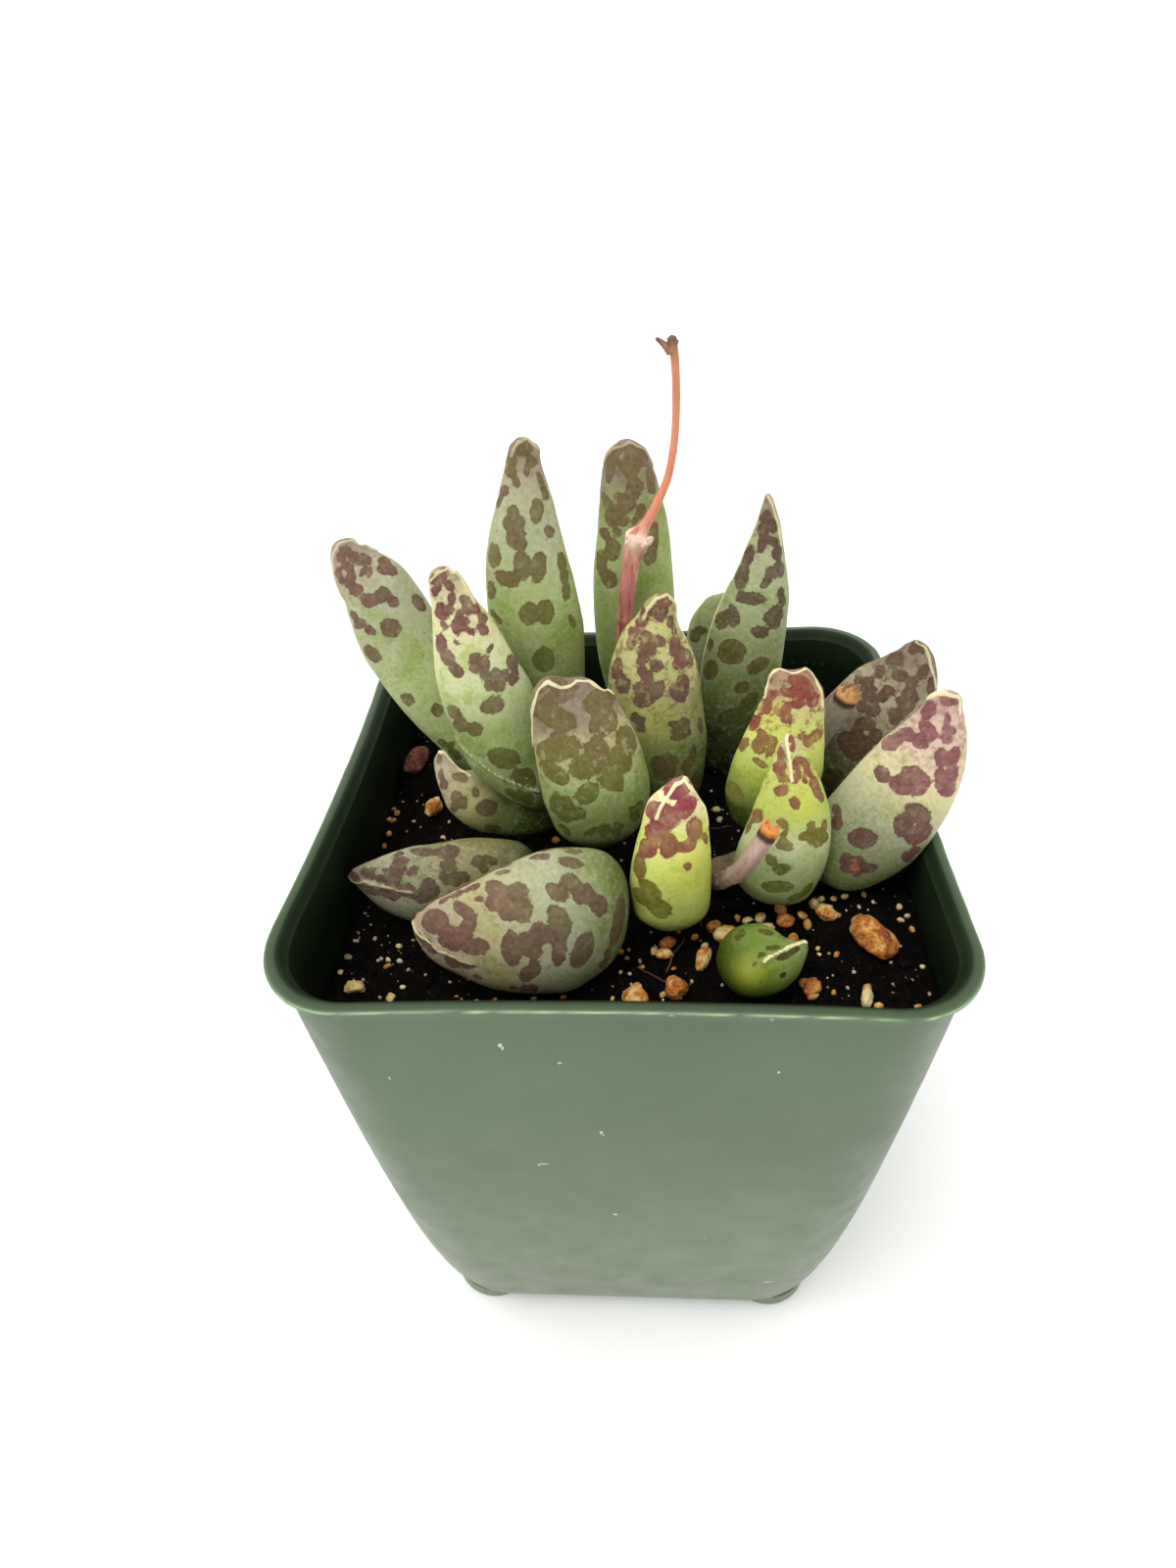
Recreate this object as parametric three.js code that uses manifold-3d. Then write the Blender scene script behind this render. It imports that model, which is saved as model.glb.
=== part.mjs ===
// Potted plover eggs plant: a small spotted succulent in a square plastic nursery pot.
// Millimetres, +Z up. The plant faces -Y; the pot stands on four round corner feet.
// The model is written about the pot's own axis, with the feet at z = 0, and is moved
// at the end so that the origin is the middle of the bottom of the whole part's box.
import * as THREE from 'three';
import Module from 'manifold-3d';

// ---------------------------------------------------------------- driving dimensions
const POT_WIDTH = 63.5;          // outside of the rim, corner to corner along a side
const POT_HEIGHT = 71.4;         // feet to rim
const BODY_TOP_HALF = 30.8;      // half-width of the wall just under the rim
const BODY_BOTTOM_HALF = 22.99;  // half-width at the very bottom
const BODY_CURVE = 0.4485;       // power of the wall's taper: steep at the bottom
const BODY_TOP_RADIUS = 8.0;     // corner radii seen from above
const BODY_BOTTOM_RADIUS = 8.8;
const RIM_RADIUS = 8.6;
const RIM_DROP = 1.1;            // height of the thin turned-out lip
// the thin sides sag inwards: [depth at the rim, where along the side it is deepest]
const SAG = { right: [0.6, 0], back: [1.15, 0], left: [1.25, 7], front: [0.75, 0] };
const WALL = 0.95;               // wall thickness
const FLOOR = 1.3;               // thickness of the pot's bottom
const FOOT_HEIGHT = 1.5;
const FOOT_RADIUS = 5.4;
const FOOT_CENTRE = 18.3;        // feet at (+-, +-) this
const DRAIN_RADIUS = 3.0;
const DRAIN_CENTRE = 11.0;

const SOIL_GAP = 0.35;           // clearance of the soil from the pot
const SOIL_MID = 61.7;           // height of the soil's surface on the pot's axis
const SOIL_SLOPE = 0.070;        // it rises to the right
const SOIL_CURVE = 0.0011;

const LEAF_RINGS = 12;           // rings along a leaf, and points around it
const LEAF_SIDES = 12;

// A leaf is a list of sections from its base to its tip:
// [centre x, y, z, width direction x, y, z, half-width, half-thickness].
// capBase and capTip are the shares of the length over which the ends round off.
const LEAVES = {
  leaf_far_left: { capBase: 0.12, capTip: 0.04, rows: [
    [-10.09, 4.5, 64.48, 0.6, 0.5, 0.62, 1.21, 0.9],
    [-13.41, 5.25, 67.09, 0.75, 0.43, 0.5, 2.45, 1.75],
    [-17, 6, 73.57, 0.81, 0.39, 0.44, 4.15, 2.71],
    [-20.08, 6.75, 78.12, 0.81, 0.39, 0.44, 4.38, 2.65],
    [-23.05, 7.5, 83.46, 0.86, 0.37, 0.34, 4.39, 2.3],
    [-25.06, 8.25, 89.08, 0.86, 0.37, 0.34, 3.79, 1.67],
    [-27.14, 9, 92.06, 0.84, 0.38, 0.37, 2.49, 0.97],
    [-27.69, 9.75, 93.5, 0.98, 0.16, 0.06, 1.73, 0.63],
    [-27.52, 10.5, 94.27, 0.99, -0.08, -0.15, 0.83, 0.29],
  ] },
  leaf_left: { capBase: 0.1, capTip: 0.03, rows: [
    [-6.28, -0.6, 67.56, 0.67, 0.45, 0.59, 1.49, 1.19],
    [-8.12, -0.31, 69.41, 0.71, 0.43, 0.56, 2.48, 1.9],
    [-9.98, -0.02, 71.84, 0.82, 0.32, 0.47, 3.67, 2.66],
    [-11.94, 0.27, 75.63, 0.91, 0.24, 0.33, 4.69, 3.14],
    [-13.28, 0.56, 80.49, 0.95, 0.19, 0.25, 4.62, 2.78],
    [-14.42, 0.84, 84.56, 0.96, 0.18, 0.22, 4.05, 2.09],
    [-15.22, 1.13, 88.45, 0.96, 0.22, 0.19, 3.18, 1.4],
    [-15.96, 1.42, 91.62, 0.97, 0.14, 0.21, 2.14, 0.8],
    [-16.57, 1.71, 94.43, 0.97, 0.2, 0.12, 1.29, 0.41],
    [-16.51, 2, 95.19, 0.99, 0.08, -0.11, 0.8, 0.24],
  ] },
  leaf_tall_left: { capBase: 0.1, capTip: 0.03, rows: [
    [-4.6, 6, 64.4, 0.94, 0.14, 0.31, 1.03, 0.83],
    [-6.01, 6.35, 68.54, 0.96, 0.12, 0.25, 1.91, 1.45],
    [-7.48, 6.7, 74.99, 0.97, 0.11, 0.21, 3.42, 2.37],
    [-8.47, 7.05, 79.82, 0.99, 0.09, 0.13, 4.49, 2.89],
    [-8.85, 7.4, 85.1, 0.99, 0.08, 0.06, 4.87, 2.89],
    [-9.13, 7.75, 89.74, 1, 0.05, 0.04, 4.54, 2.48],
    [-9.23, 8.1, 94.4, 1, 0.05, -0.01, 3.79, 1.9],
    [-9.12, 8.45, 98.51, 1, 0.07, -0.04, 2.84, 1.31],
    [-8.99, 8.8, 102.13, 0.99, 0.07, -0.09, 1.72, 0.73],
    [-8.67, 9.15, 104.13, 0.98, 0.03, -0.22, 1.24, 0.5],
    [-8.49, 9.5, 104.46, 0.94, -0.21, -0.29, 0.69, 0.28],
  ] },
  leaf_tall_middle: { capBase: 0.1, capTip: 0.035, rows: [
    [2.4, 13.5, 63.34, 1, 0.05, -0.01, 1.38, 1.11],
    [2.42, 13.59, 67.43, 1, 0.02, 0.06, 2.54, 1.92],
    [1.87, 13.68, 72.26, 1, 0.02, 0.09, 3.62, 2.57],
    [1.47, 13.77, 78.28, 1, 0.03, 0.05, 4.28, 2.77],
    [1.26, 13.86, 83.98, 1, 0.05, 0.02, 4.41, 2.62],
    [1.21, 13.94, 88.63, 1, 0.05, 0.01, 4.19, 2.39],
    [1.17, 14.03, 93.58, 1, 0.05, 0.04, 3.66, 1.99],
    [0.87, 14.12, 97.74, 1, 0.05, 0.07, 2.92, 1.53],
    [0.67, 14.21, 100.82, 0.99, 0.08, 0.06, 2.14, 1.09],
    [0.56, 14.3, 102.39, 0.99, 0.08, 0.07, 1.2, 0.6],
  ] },
  leaf_middle: { capBase: 0.1, capTip: 0.03, rows: [
    [5.34, 1.5, 63.78, 0.99, 0.09, 0.06, 1.88, 1.51],
    [5.09, 1.89, 67.34, 0.99, 0.1, 0.09, 3.37, 2.54],
    [4.57, 2.28, 71.17, 0.99, 0.09, 0.13, 4.42, 3.1],
    [3.97, 2.67, 75.49, 0.99, 0.06, 0.13, 4.89, 3.15],
    [3.45, 3.06, 79.36, 0.99, 0.06, 0.08, 4.89, 2.86],
    [3.3, 3.44, 82.94, 1, 0.05, 0.01, 4.45, 2.34],
    [3.35, 3.83, 86.1, 0.99, 0.08, -0.09, 3.45, 1.64],
    [3.73, 4.22, 88.15, 0.97, 0.06, -0.23, 2.05, 0.91],
    [4.26, 4.61, 90.1, 0.95, 0.03, -0.32, 1.03, 0.42],
    [4.45, 5, 90.37, 0.92, -0.29, -0.25, 0.44, 0.17],
  ] },
  leaf_front_middle: { capBase: 0.14, capTip: 0.07, rows: [
    [-2.14, -6, 66.94, 1, 0.06, 0.07, 2.47, 1.86],
    [-2.39, -5.64, 70.46, 1, 0.05, 0.06, 4.7, 3.27],
    [-2.62, -5.29, 74.22, 0.99, 0.06, 0.09, 5.45, 3.47],
    [-3.02, -4.93, 77.02, 0.98, 0.09, 0.16, 5.37, 3.15],
    [-3.6, -4.57, 79.79, 0.97, 0.1, 0.2, 5, 2.42],
    [-4.17, -4.21, 82.24, 0.98, 0.1, 0.19, 4.37, 1.72],
    [-4.6, -3.86, 84.56, 0.99, 0.11, 0.04, 3.53, 1.09],
    [-4.39, -3.5, 86.16, 0.99, 0.07, -0.14, 2.43, 0.61],
  ] },
  leaf_low_left: { capBase: 0.15, capTip: 0.04, rows: [
    [-7.28, 0.52, 64.8, 0.11, 0.61, 0.78, 1.55, 1.24],
    [-10.73, 0.88, 65, 0.13, 0.63, 0.77, 2.26, 1.68],
    [-13.43, 0.78, 65.6, 0.25, 0.64, 0.72, 2.57, 1.79],
    [-15.52, 0.02, 67.4, 0.5, 0.59, 0.63, 2.93, 1.88],
    [-17.23, -0.1, 69.4, 0.67, 0.49, 0.56, 2.73, 1.53],
    [-18.76, 0.31, 71, 0.8, 0.4, 0.45, 1.55, 0.76],
    [-19.55, 1.33, 72.3, 0.95, 0.24, 0.21, 0.93, 0.41],
    [-19.69, 2.04, 73.3, 0.99, 0.13, 0.04, 0.45, 0.18],
  ] },
  leaf_lying_left_back: { capBase: 0.1, capTip: 0.03, rows: [
    [-8.99, -7.11, 65.5, 0, 0.27, 0.96, 1.85, 1.48],
    [-11.92, -8.9, 66, -0.01, 0.26, 0.96, 3.36, 2.57],
    [-16.3, -10.45, 66.3, -0.05, 0.29, 0.96, 4.32, 3.11],
    [-20.12, -11.32, 66.3, -0.04, 0.32, 0.95, 4.32, 2.87],
    [-23.65, -11.27, 66.3, 0.04, 0.33, 0.94, 3.35, 1.99],
    [-26.3, -10.64, 66.3, 0.08, 0.31, 0.95, 1.85, 1],
    [-28.31, -10, 66.3, 0.08, 0.26, 0.96, 0.43, 0.22],
  ] },
  leaf_lying_left_front: { capBase: 0.1, capTip: 0.04, rows: [
    [-0.11, -13.77, 67.5, 0.07, 0.33, 0.94, 1.58, 0.79],
    [-0.97, -15, 68, 0.03, 0.26, 0.97, 5, 2.53],
    [-3.14, -17.17, 68.5, -0.04, 0.25, 0.97, 6.85, 3.56],
    [-5.91, -18.73, 68.8, -0.1, 0.28, 0.96, 7.42, 3.96],
    [-9.08, -19.69, 68.6, -0.18, 0.3, 0.94, 6.8, 3.72],
    [-12.13, -19.91, 68, -0.2, 0.33, 0.92, 5.8, 3.01],
    [-15.4, -19.1, 67, -0.19, 0.34, 0.92, 4.47, 2.12],
    [-18.2, -17.98, 66, -0.12, 0.31, 0.94, 3.06, 1.32],
    [-20.17, -16.39, 65.5, -0.1, 0.18, 0.98, 1.39, 0.56],
  ] },
  leaf_front_small: { capBase: 0.14, capTip: 0.04, rows: [
    [5.02, -14.8, 63.94, 1, 0.09, 0, 2.45, 1.84],
    [4.99, -14.4, 66.94, 1, 0.1, 0, 3.76, 2.78],
    [4.91, -14, 69.84, 1, 0.05, -0.02, 3.92, 2.86],
    [5.07, -13.6, 73.09, 1, 0.03, -0.06, 3.67, 2.54],
    [5.22, -13.2, 75.71, 1, 0.04, -0.06, 3.24, 1.92],
    [5.33, -12.8, 78.13, 0.99, 0.03, -0.11, 2.71, 1.35],
    [5.63, -12.4, 79.67, 0.96, -0.03, -0.27, 1.42, 0.66],
    [6.05, -12, 80.75, 0.92, -0.08, -0.38, 0.5, 0.22],
  ] },
  leaf_tall_right: { capBase: 0.1, capTip: 0.02, rows: [
    [12.51, 8.5, 63.63, 1, 0.03, 0.07, 1.39, 1.11],
    [12.27, 9.11, 66.88, 1, 0, 0, 2.64, 1.99],
    [12.49, 9.72, 70.99, 1, 0.01, -0.06, 3.75, 2.62],
    [12.72, 10.33, 74.81, 1, -0.01, -0.08, 4.19, 2.71],
    [13.07, 10.94, 77.97, 0.99, 0.02, -0.13, 4.39, 2.64],
    [13.62, 11.56, 82.06, 0.99, 0.03, -0.16, 4.19, 2.31],
    [14.31, 12.17, 85.87, 0.99, 0.03, -0.16, 3.54, 1.79],
    [14.78, 12.78, 89.53, 0.99, 0.03, -0.11, 2.5, 1.2],
    [15.08, 13.39, 93.05, 1, 0.04, -0.06, 1.4, 0.64],
    [15.02, 13.95, 95.3, 1, 0.09, -0.03, 0.68, 0.33],
    [14.9, 14.2, 96.5, 1, 0.09, -0.03, 0.26, 0.16],
  ] },
  leaf_back_right: { capBase: 0.12, capTip: 0.08, rows: [
    [10.76, 18, 65.22, 1, -0.02, -0.01, 1.11, 0.88],
    [10.8, 18.2, 68.9, 1, -0.03, 0, 2.84, 1.92],
    [10.73, 18.4, 73.97, 1, -0.07, -0.02, 3.63, 1.84],
    [11.02, 18.6, 78.32, 0.99, -0.06, -0.1, 3.54, 1.61],
    [11.52, 18.8, 81.22, 0.97, 0.01, -0.23, 2.59, 1.09],
    [12.11, 19, 82.97, 0.93, 0.14, -0.33, 1.14, 0.45],
  ] },
  leaf_right_wavy: { capBase: 0.12, capTip: 0.04, rows: [
    [14.39, -4.2, 66.51, 0.99, -0.01, -0.14, 1.87, 1.5],
    [14.78, -3.61, 69.08, 0.99, 0.01, -0.17, 3.69, 2.69],
    [15.25, -3.03, 71.59, 0.98, -0.03, -0.21, 4.57, 3.01],
    [15.91, -2.44, 74.16, 0.98, -0.04, -0.2, 4.63, 2.72],
    [16.39, -1.85, 76.84, 0.99, -0.03, -0.15, 4.23, 2.17],
    [16.73, -1.26, 79.32, 0.99, -0.02, -0.13, 3.59, 1.59],
    [17.06, -0.67, 81.8, 1, 0, -0.03, 2.97, 1.11],
    [16.84, -0.09, 83.37, 1, 0.07, 0.06, 2.41, 0.79],
    [16.82, 0.5, 84.29, 1, 0.05, -0.01, 1.55, 0.46],
  ] },
  leaf_right_front: { capBase: 0.14, capTip: 0.03, rows: [
    [13.88, -12, 65.29, 0.92, -0.02, -0.39, 3.44, 2.41],
    [14.96, -11.5, 67.82, 0.94, 0.01, -0.34, 4.32, 2.83],
    [15.83, -11, 70.68, 0.98, 0.03, -0.21, 4.45, 2.7],
    [16.21, -10.5, 73.93, 1, 0.07, -0.07, 4.04, 2.24],
    [16.2, -10, 76.76, 1, 0.08, 0.01, 3.33, 1.74],
    [16.06, -9.5, 78.97, 1, 0.09, 0.04, 2.48, 1.23],
    [15.94, -9, 80.95, 0.99, 0.11, 0.1, 1.54, 0.73],
    [15.54, -8.5, 83.16, 0.97, 0.2, 0.13, 0.37, 0.17],
  ] },
  leaf_leaning_right_back: { capBase: 0.1, capTip: 0.03, rows: [
    [20.57, 4.2, 64.44, 0.88, -0.36, -0.31, 1.46, 1.02],
    [21.9, 4.53, 67.8, 0.86, -0.36, -0.36, 3.57, 2.26],
    [23.52, 4.86, 70.9, 0.81, -0.37, -0.45, 4.68, 2.68],
    [25.52, 5.19, 73.75, 0.79, -0.37, -0.5, 4.87, 2.48],
    [27.53, 5.51, 76.77, 0.8, -0.35, -0.49, 4.63, 2.18],
    [29.31, 5.84, 79.49, 0.86, -0.31, -0.4, 3.86, 1.71],
    [30.13, 6.17, 81.9, 0.96, -0.22, -0.18, 2.33, 0.97],
    [30.3, 6.5, 83.91, 0.99, -0.13, -0.06, 0.74, 0.3],
  ] },
  leaf_leaning_right_front: { capBase: 0.1, capTip: 0.03, rows: [
    [19.78, -8.71, 65.1, 0.61, -0.47, -0.64, 1.15, 0.86],
    [21.15, -8.74, 66.53, 0.65, -0.49, -0.59, 3.14, 2.26],
    [22.75, -8.76, 68.6, 0.74, -0.46, -0.5, 4.34, 2.94],
    [24.7, -8.67, 71.8, 0.81, -0.4, -0.43, 5.09, 3.14],
    [26.62, -8.49, 75.72, 0.87, -0.33, -0.36, 4.88, 2.66],
    [27.99, -8.32, 79.49, 0.91, -0.3, -0.27, 4.17, 2.07],
    [28.83, -8.15, 82.76, 0.95, -0.27, -0.17, 2.97, 1.35],
    [29.19, -7.98, 85.76, 0.97, -0.22, -0.09, 1.52, 0.64],
    [29.32, -7.8, 87.11, 0.99, -0.08, -0.09, 0.59, 0.23],
  ] },
  leaf_bud: { capBase: 0.37, capTip: 0.04, rows: [
    [9.05, -21.85, 66.6, -0.12, 0.61, 0.78, 3.26, 2.95],
    [10.9, -21.6, 66.7, -0.1, 0.62, 0.78, 3.3, 2.98],
    [12.6, -21.5, 66.8, -0.08, 0.62, 0.78, 3.32, 2.92],
    [14.2, -21.45, 66.85, -0.1, 0.61, 0.78, 2.95, 2.45],
    [15.4, -21.2, 66.95, -0.25, 0.56, 0.77, 2.2, 1.7],
    [16.4, -20.7, 67.15, -0.45, 0.42, 0.78, 1.28, 0.92],
    [17.35, -19.9, 67.4, -0.62, 0.32, 0.7, 0.3, 0.19],
  ] },
};

// Round stems and cut or dried flower stalks: [x, y, z, radius] along the middle line.
const STEMS = {
  main_stem: [[-3.30, 0.60, 62.30, 2.30], [-3.40, 0.80, 64.00, 2.20], [-3.20, 1.20, 66.50, 2.00], [-3.50, 1.60, 69.00, 1.80], [-3.60, 1.80, 71.00, 1.20]],
  side_stem: [[8.60, -8.60, 64.60, 1.30], [10.60, -7.80, 65.00, 1.60], [13.00, -7.20, 65.30, 1.60], [15.50, -6.60, 65.40, 1.40], [17.60, -6.20, 65.50, 1.00]],
  back_stem: [[6.90, 12.60, 62.90, 2.00], [6.80, 12.80, 64.20, 1.90], [6.90, 13.20, 66.00, 1.20]],
  old_flower_stalk: [[-2.20, 4.60, 64.00, 0.60], [-1.50, 6.20, 67.20, 0.65], [-0.28, 8.20, 71.51, 0.70], [-0.17, 8.60, 77.20, 0.76], [0.13, 9.00, 81.94, 0.80], [0.51, 9.30, 86.50, 0.84], [0.98, 9.50, 90.86, 0.88], [1.51, 9.60, 93.27, 1.10], [1.80, 9.60, 94.20, 1.16], [2.08, 9.60, 94.72, 0.68], [2.89, 9.60, 96.04, 0.50], [3.93, 9.60, 98.23, 0.43], [4.76, 9.60, 100.45, 0.38], [5.28, 9.60, 103.71, 0.36], [5.40, 9.60, 107.28, 0.36], [5.26, 9.60, 110.68, 0.38], [4.89, 9.60, 112.98, 0.45]],
  cut_stalk_back: [[17.60, 1.60, 66.40, 0.80], [18.90, 2.30, 69.20, 0.95], [19.63, 2.40, 71.66, 1.05], [20.46, 2.50, 73.81, 1.10], [21.19, 2.20, 76.07, 1.15], [22.17, 1.90, 78.50, 1.20], [23.01, 1.60, 80.86, 1.20]],
  cut_stalk_front: [[9.19, -11.00, 66.62, 0.90], [9.92, -12.40, 68.15, 0.88], [10.76, -14.00, 70.27, 0.85], [11.48, -15.20, 72.35, 0.85], [12.27, -15.80, 74.67, 0.85], [13.06, -15.70, 76.28, 0.85], [13.85, -15.30, 77.82, 0.85]],
};

// Stones of the top dressing: [x, y, half-length, half-width, half-height, turn in degrees, seed].
// Each lies on the soil.
const STONES = {
  stone_big: [24.0, -17.3, 3.2, 2.0, 1.6, -62, 1],
  stone_under_leaf: [20.4, -13.4, 1.3, 0.95, 0.8, -30, 2],
  stone_front_tan: [10.3, -15.6, 1.3, 1.15, 1.0, -15, 3],
  stone_long_pale: [14.2, -15.1, 1.45, 0.75, 0.7, 20, 4],
  stone_thin_upright: [8.1, -18.2, 1.75, 0.75, 0.7, 72, 5],
  stone_small_yellow: [4.2, -17.4, 0.95, 0.75, 0.65, 10, 6],
  stone_front_left: [1.5, -23.2, 1.75, 1.35, 1.2, 80, 7],
  stone_front_orange: [5.4, -22.1, 1.4, 1.25, 1.15, -60, 8],
  stone_orange_right: [16.3, -13.9, 1.0, 0.9, 0.7, 0, 9],
  stone_by_bud: [17.8, -22.5, 1.15, 0.9, 0.8, 60, 10],
  stone_edge_pointed: [22.5, -23.9, 1.3, 0.65, 0.6, 75, 11],
  stone_back_red: [-26.4, 14.6, 2.9, 1.45, 1.35, 76, 12],
  stone_left_tan: [-22.8, 5.9, 1.8, 1.15, 1.0, 75, 13],
  stone_left_corner: [-26.0, -20.9, 1.15, 0.8, 0.75, 10, 14],
  stone_behind_bud: [12.0, -17.4, 1.0, 0.85, 0.7, 35, 15],
};

// ---------------------------------------------------------------- shared helpers
const clamp = (v, a, b) => Math.min(b, Math.max(a, v));
const soilHeight = (x) => SOIL_MID + SOIL_SLOPE * x + SOIL_CURVE * x * x;

// deterministic noise in 0..1
function hash(n) {
  const s = Math.sin(n * 127.1 + 311.7) * 43758.5453;
  return s - Math.floor(s);
}

function makeGeometry(points, faces) {
  const pos = new Float32Array(points.length * 3);
  points.forEach((p, i) => { pos[3 * i] = p[0]; pos[3 * i + 1] = p[1]; pos[3 * i + 2] = p[2]; });
  let vol = 0;
  for (const [a, b, c] of faces) {
    const A = points[a], B = points[b], C = points[c];
    vol += A[0] * (B[1] * C[2] - B[2] * C[1]) - A[1] * (B[0] * C[2] - B[2] * C[0]) + A[2] * (B[0] * C[1] - B[1] * C[0]);
  }
  const idx = [];
  for (const [a, b, c] of faces) idx.push(...(vol < 0 ? [a, c, b] : [a, b, c]));
  const g = new THREE.BufferGeometry();
  g.setAttribute('position', new THREE.BufferAttribute(pos, 3));
  g.setIndex(idx);
  return g;
}

// skin a stack of equal rings, with a single point closing each end
function skin(rings, first, last) {
  const n = rings[0].length;
  const pts = [first];
  const faces = [];
  for (const r of rings) pts.push(...r);
  pts.push(last);
  for (let j = 0; j < n; j++) faces.push([0, 1 + (j + 1) % n, 1 + j]);
  for (let i = 0; i < rings.length - 1; i++) {
    for (let j = 0; j < n; j++) {
      const a = 1 + i * n + j, b = 1 + i * n + (j + 1) % n;
      faces.push([a, b, b + n], [a, b + n, a + n]);
    }
  }
  const base = 1 + (rings.length - 1) * n;
  for (let j = 0; j < n; j++) faces.push([pts.length - 1, base + j, base + (j + 1) % n]);
  return makeGeometry(pts, faces);
}

// smooth interpolation of points (x increasing)
function hermite(x, Y, t) {
  const n = x.length;
  const slope = (i) => {
    const a = Math.max(i - 1, 0), b = Math.min(i + 1, n - 1);
    return Y[i].map((_, k) => (Y[b][k] - Y[a][k]) / (x[b] - x[a]));
  };
  let i = 0;
  while (i < n - 2 && t >= x[i + 1]) i++;
  const h = x[i + 1] - x[i], q = (t - x[i]) / h, m0 = slope(i), m1 = slope(i + 1);
  return Y[i].map((_, k) => (2 * q ** 3 - 3 * q ** 2 + 1) * Y[i][k] + (q ** 3 - 2 * q ** 2 + q) * h * m0[k]
    + (-2 * q ** 3 + 3 * q ** 2) * Y[i + 1][k] + (q ** 3 - q ** 2) * h * m1[k]);
}

// monotone interpolation of a width
function monotone(x, y, t) {
  const n = x.length, h = [], d = [], m = new Array(n).fill(0);
  for (let i = 0; i < n - 1; i++) { h.push(x[i + 1] - x[i]); d.push((y[i + 1] - y[i]) / h[i]); }
  for (let i = 1; i < n - 1; i++) {
    if (d[i - 1] * d[i] > 0) {
      const w1 = 2 * h[i] + h[i - 1], w2 = h[i] + 2 * h[i - 1];
      m[i] = (w1 + w2) / (w1 / d[i - 1] + w2 / d[i]);
    }
  }
  m[0] = d[0]; m[n - 1] = d[n - 2];
  let i = 0;
  while (i < n - 2 && t >= x[i + 1]) i++;
  const q = (t - x[i]) / h[i];
  return (2 * q ** 3 - 3 * q ** 2 + 1) * y[i] + (q ** 3 - 2 * q ** 2 + q) * h[i] * m[i]
    + (-2 * q ** 3 + 3 * q ** 2) * y[i + 1] + (q ** 3 - q ** 2) * h[i] * m[i + 1];
}

const roundOff = (d, w) => { const q = clamp(d / w, 0, 1); return Math.sqrt(Math.max(0, 1 - (1 - q) ** 2)); };
const unit = (v) => { const l = Math.hypot(...v); return v.map((c) => c / l); };
const cross = (a, b) => [a[1] * b[2] - a[2] * b[1], a[2] * b[0] - a[0] * b[2], a[0] * b[1] - a[1] * b[0]];
const dot = (a, b) => a[0] * b[0] + a[1] * b[1] + a[2] * b[2];

// ---------------------------------------------------------------- leaf
function leafGeometry({ capBase, capTip, rows }) {
  const C = rows.map((r) => r.slice(0, 3)), S = rows.map((r) => r.slice(3, 6));
  const a = rows.map((r) => r[6]), b = rows.map((r) => r[7]);
  const s = [0];
  for (let i = 1; i < C.length; i++) s.push(s[i - 1] + Math.hypot(...C[i].map((v, k) => v - C[i - 1][k])));
  const total = s[s.length - 1];
  for (let i = 0; i < s.length; i++) s[i] /= total;
  const ts = [];
  for (let i = 1; i <= 3; i++) ts.push(capBase * (1 - Math.cos(i * Math.PI / 6)));
  const mid = LEAF_RINGS - 6;
  for (let i = 1; i <= mid; i++) ts.push(capBase + (1 - capTip - capBase) * i / (mid + 1));
  for (let i = 3; i >= 1; i--) ts.push(1 - capTip * (1 - Math.cos(i * Math.PI / 6)));
  const rings = [];
  for (const t of ts) {
    const P = hermite(s, C, t);
    const T = unit(hermite(s, C, Math.min(t + 1e-3, 1)).map((v, k) => v - hermite(s, C, Math.max(t - 1e-3, 0))[k]));
    let i = 0;
    while (i < s.length - 2 && t >= s[i + 1]) i++;
    const q = (t - s[i]) / (s[i + 1] - s[i]);
    let side = S[i].map((v, k) => v + (S[i + 1][k] - v) * q);
    side = unit(side.map((v, k) => v - T[k] * dot(side, T)));
    const N = cross(side, T);
    const round = roundOff(t, capBase) * roundOff(1 - t, capTip);
    const A = monotone(s, a, t) * round, B = monotone(s, b, t) * round;
    const edge = 1 + 0.25 * t;   // the section sharpens from an oval to a lens
    const ring = [];
    for (let j = 0; j < LEAF_SIDES; j++) {
      const th = j * 2 * Math.PI / LEAF_SIDES, sn = Math.sin(th);
      const u = Math.cos(th) * A, w = Math.sign(sn) * Math.abs(sn) ** edge * B;
      ring.push(P.map((v, k) => v + side[k] * u + N[k] * w));
    }
    rings.push(ring);
  }
  return skin(rings, C[0], C[C.length - 1]);
}

// ---------------------------------------------------------------- stem or stalk
function stemGeometry(rows, sides) {
  const rings = rows.map((r, i) => {
    const p = rows[Math.max(i - 1, 0)], q = rows[Math.min(i + 1, rows.length - 1)];
    const T = unit([q[0] - p[0], q[1] - p[1], q[2] - p[2]]);
    const A = unit(cross(T, [0.3, 1, 0.1])), B = cross(T, A);
    const ring = [];
    for (let j = 0; j < sides; j++) {
      const th = j * 2 * Math.PI / sides;
      ring.push([0, 1, 2].map((k) => r[k] + r[3] * (Math.cos(th) * A[k] + Math.sin(th) * B[k])));
    }
    return ring;
  });
  return skin(rings, rows[0].slice(0, 3), rows[rows.length - 1].slice(0, 3));
}

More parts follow.
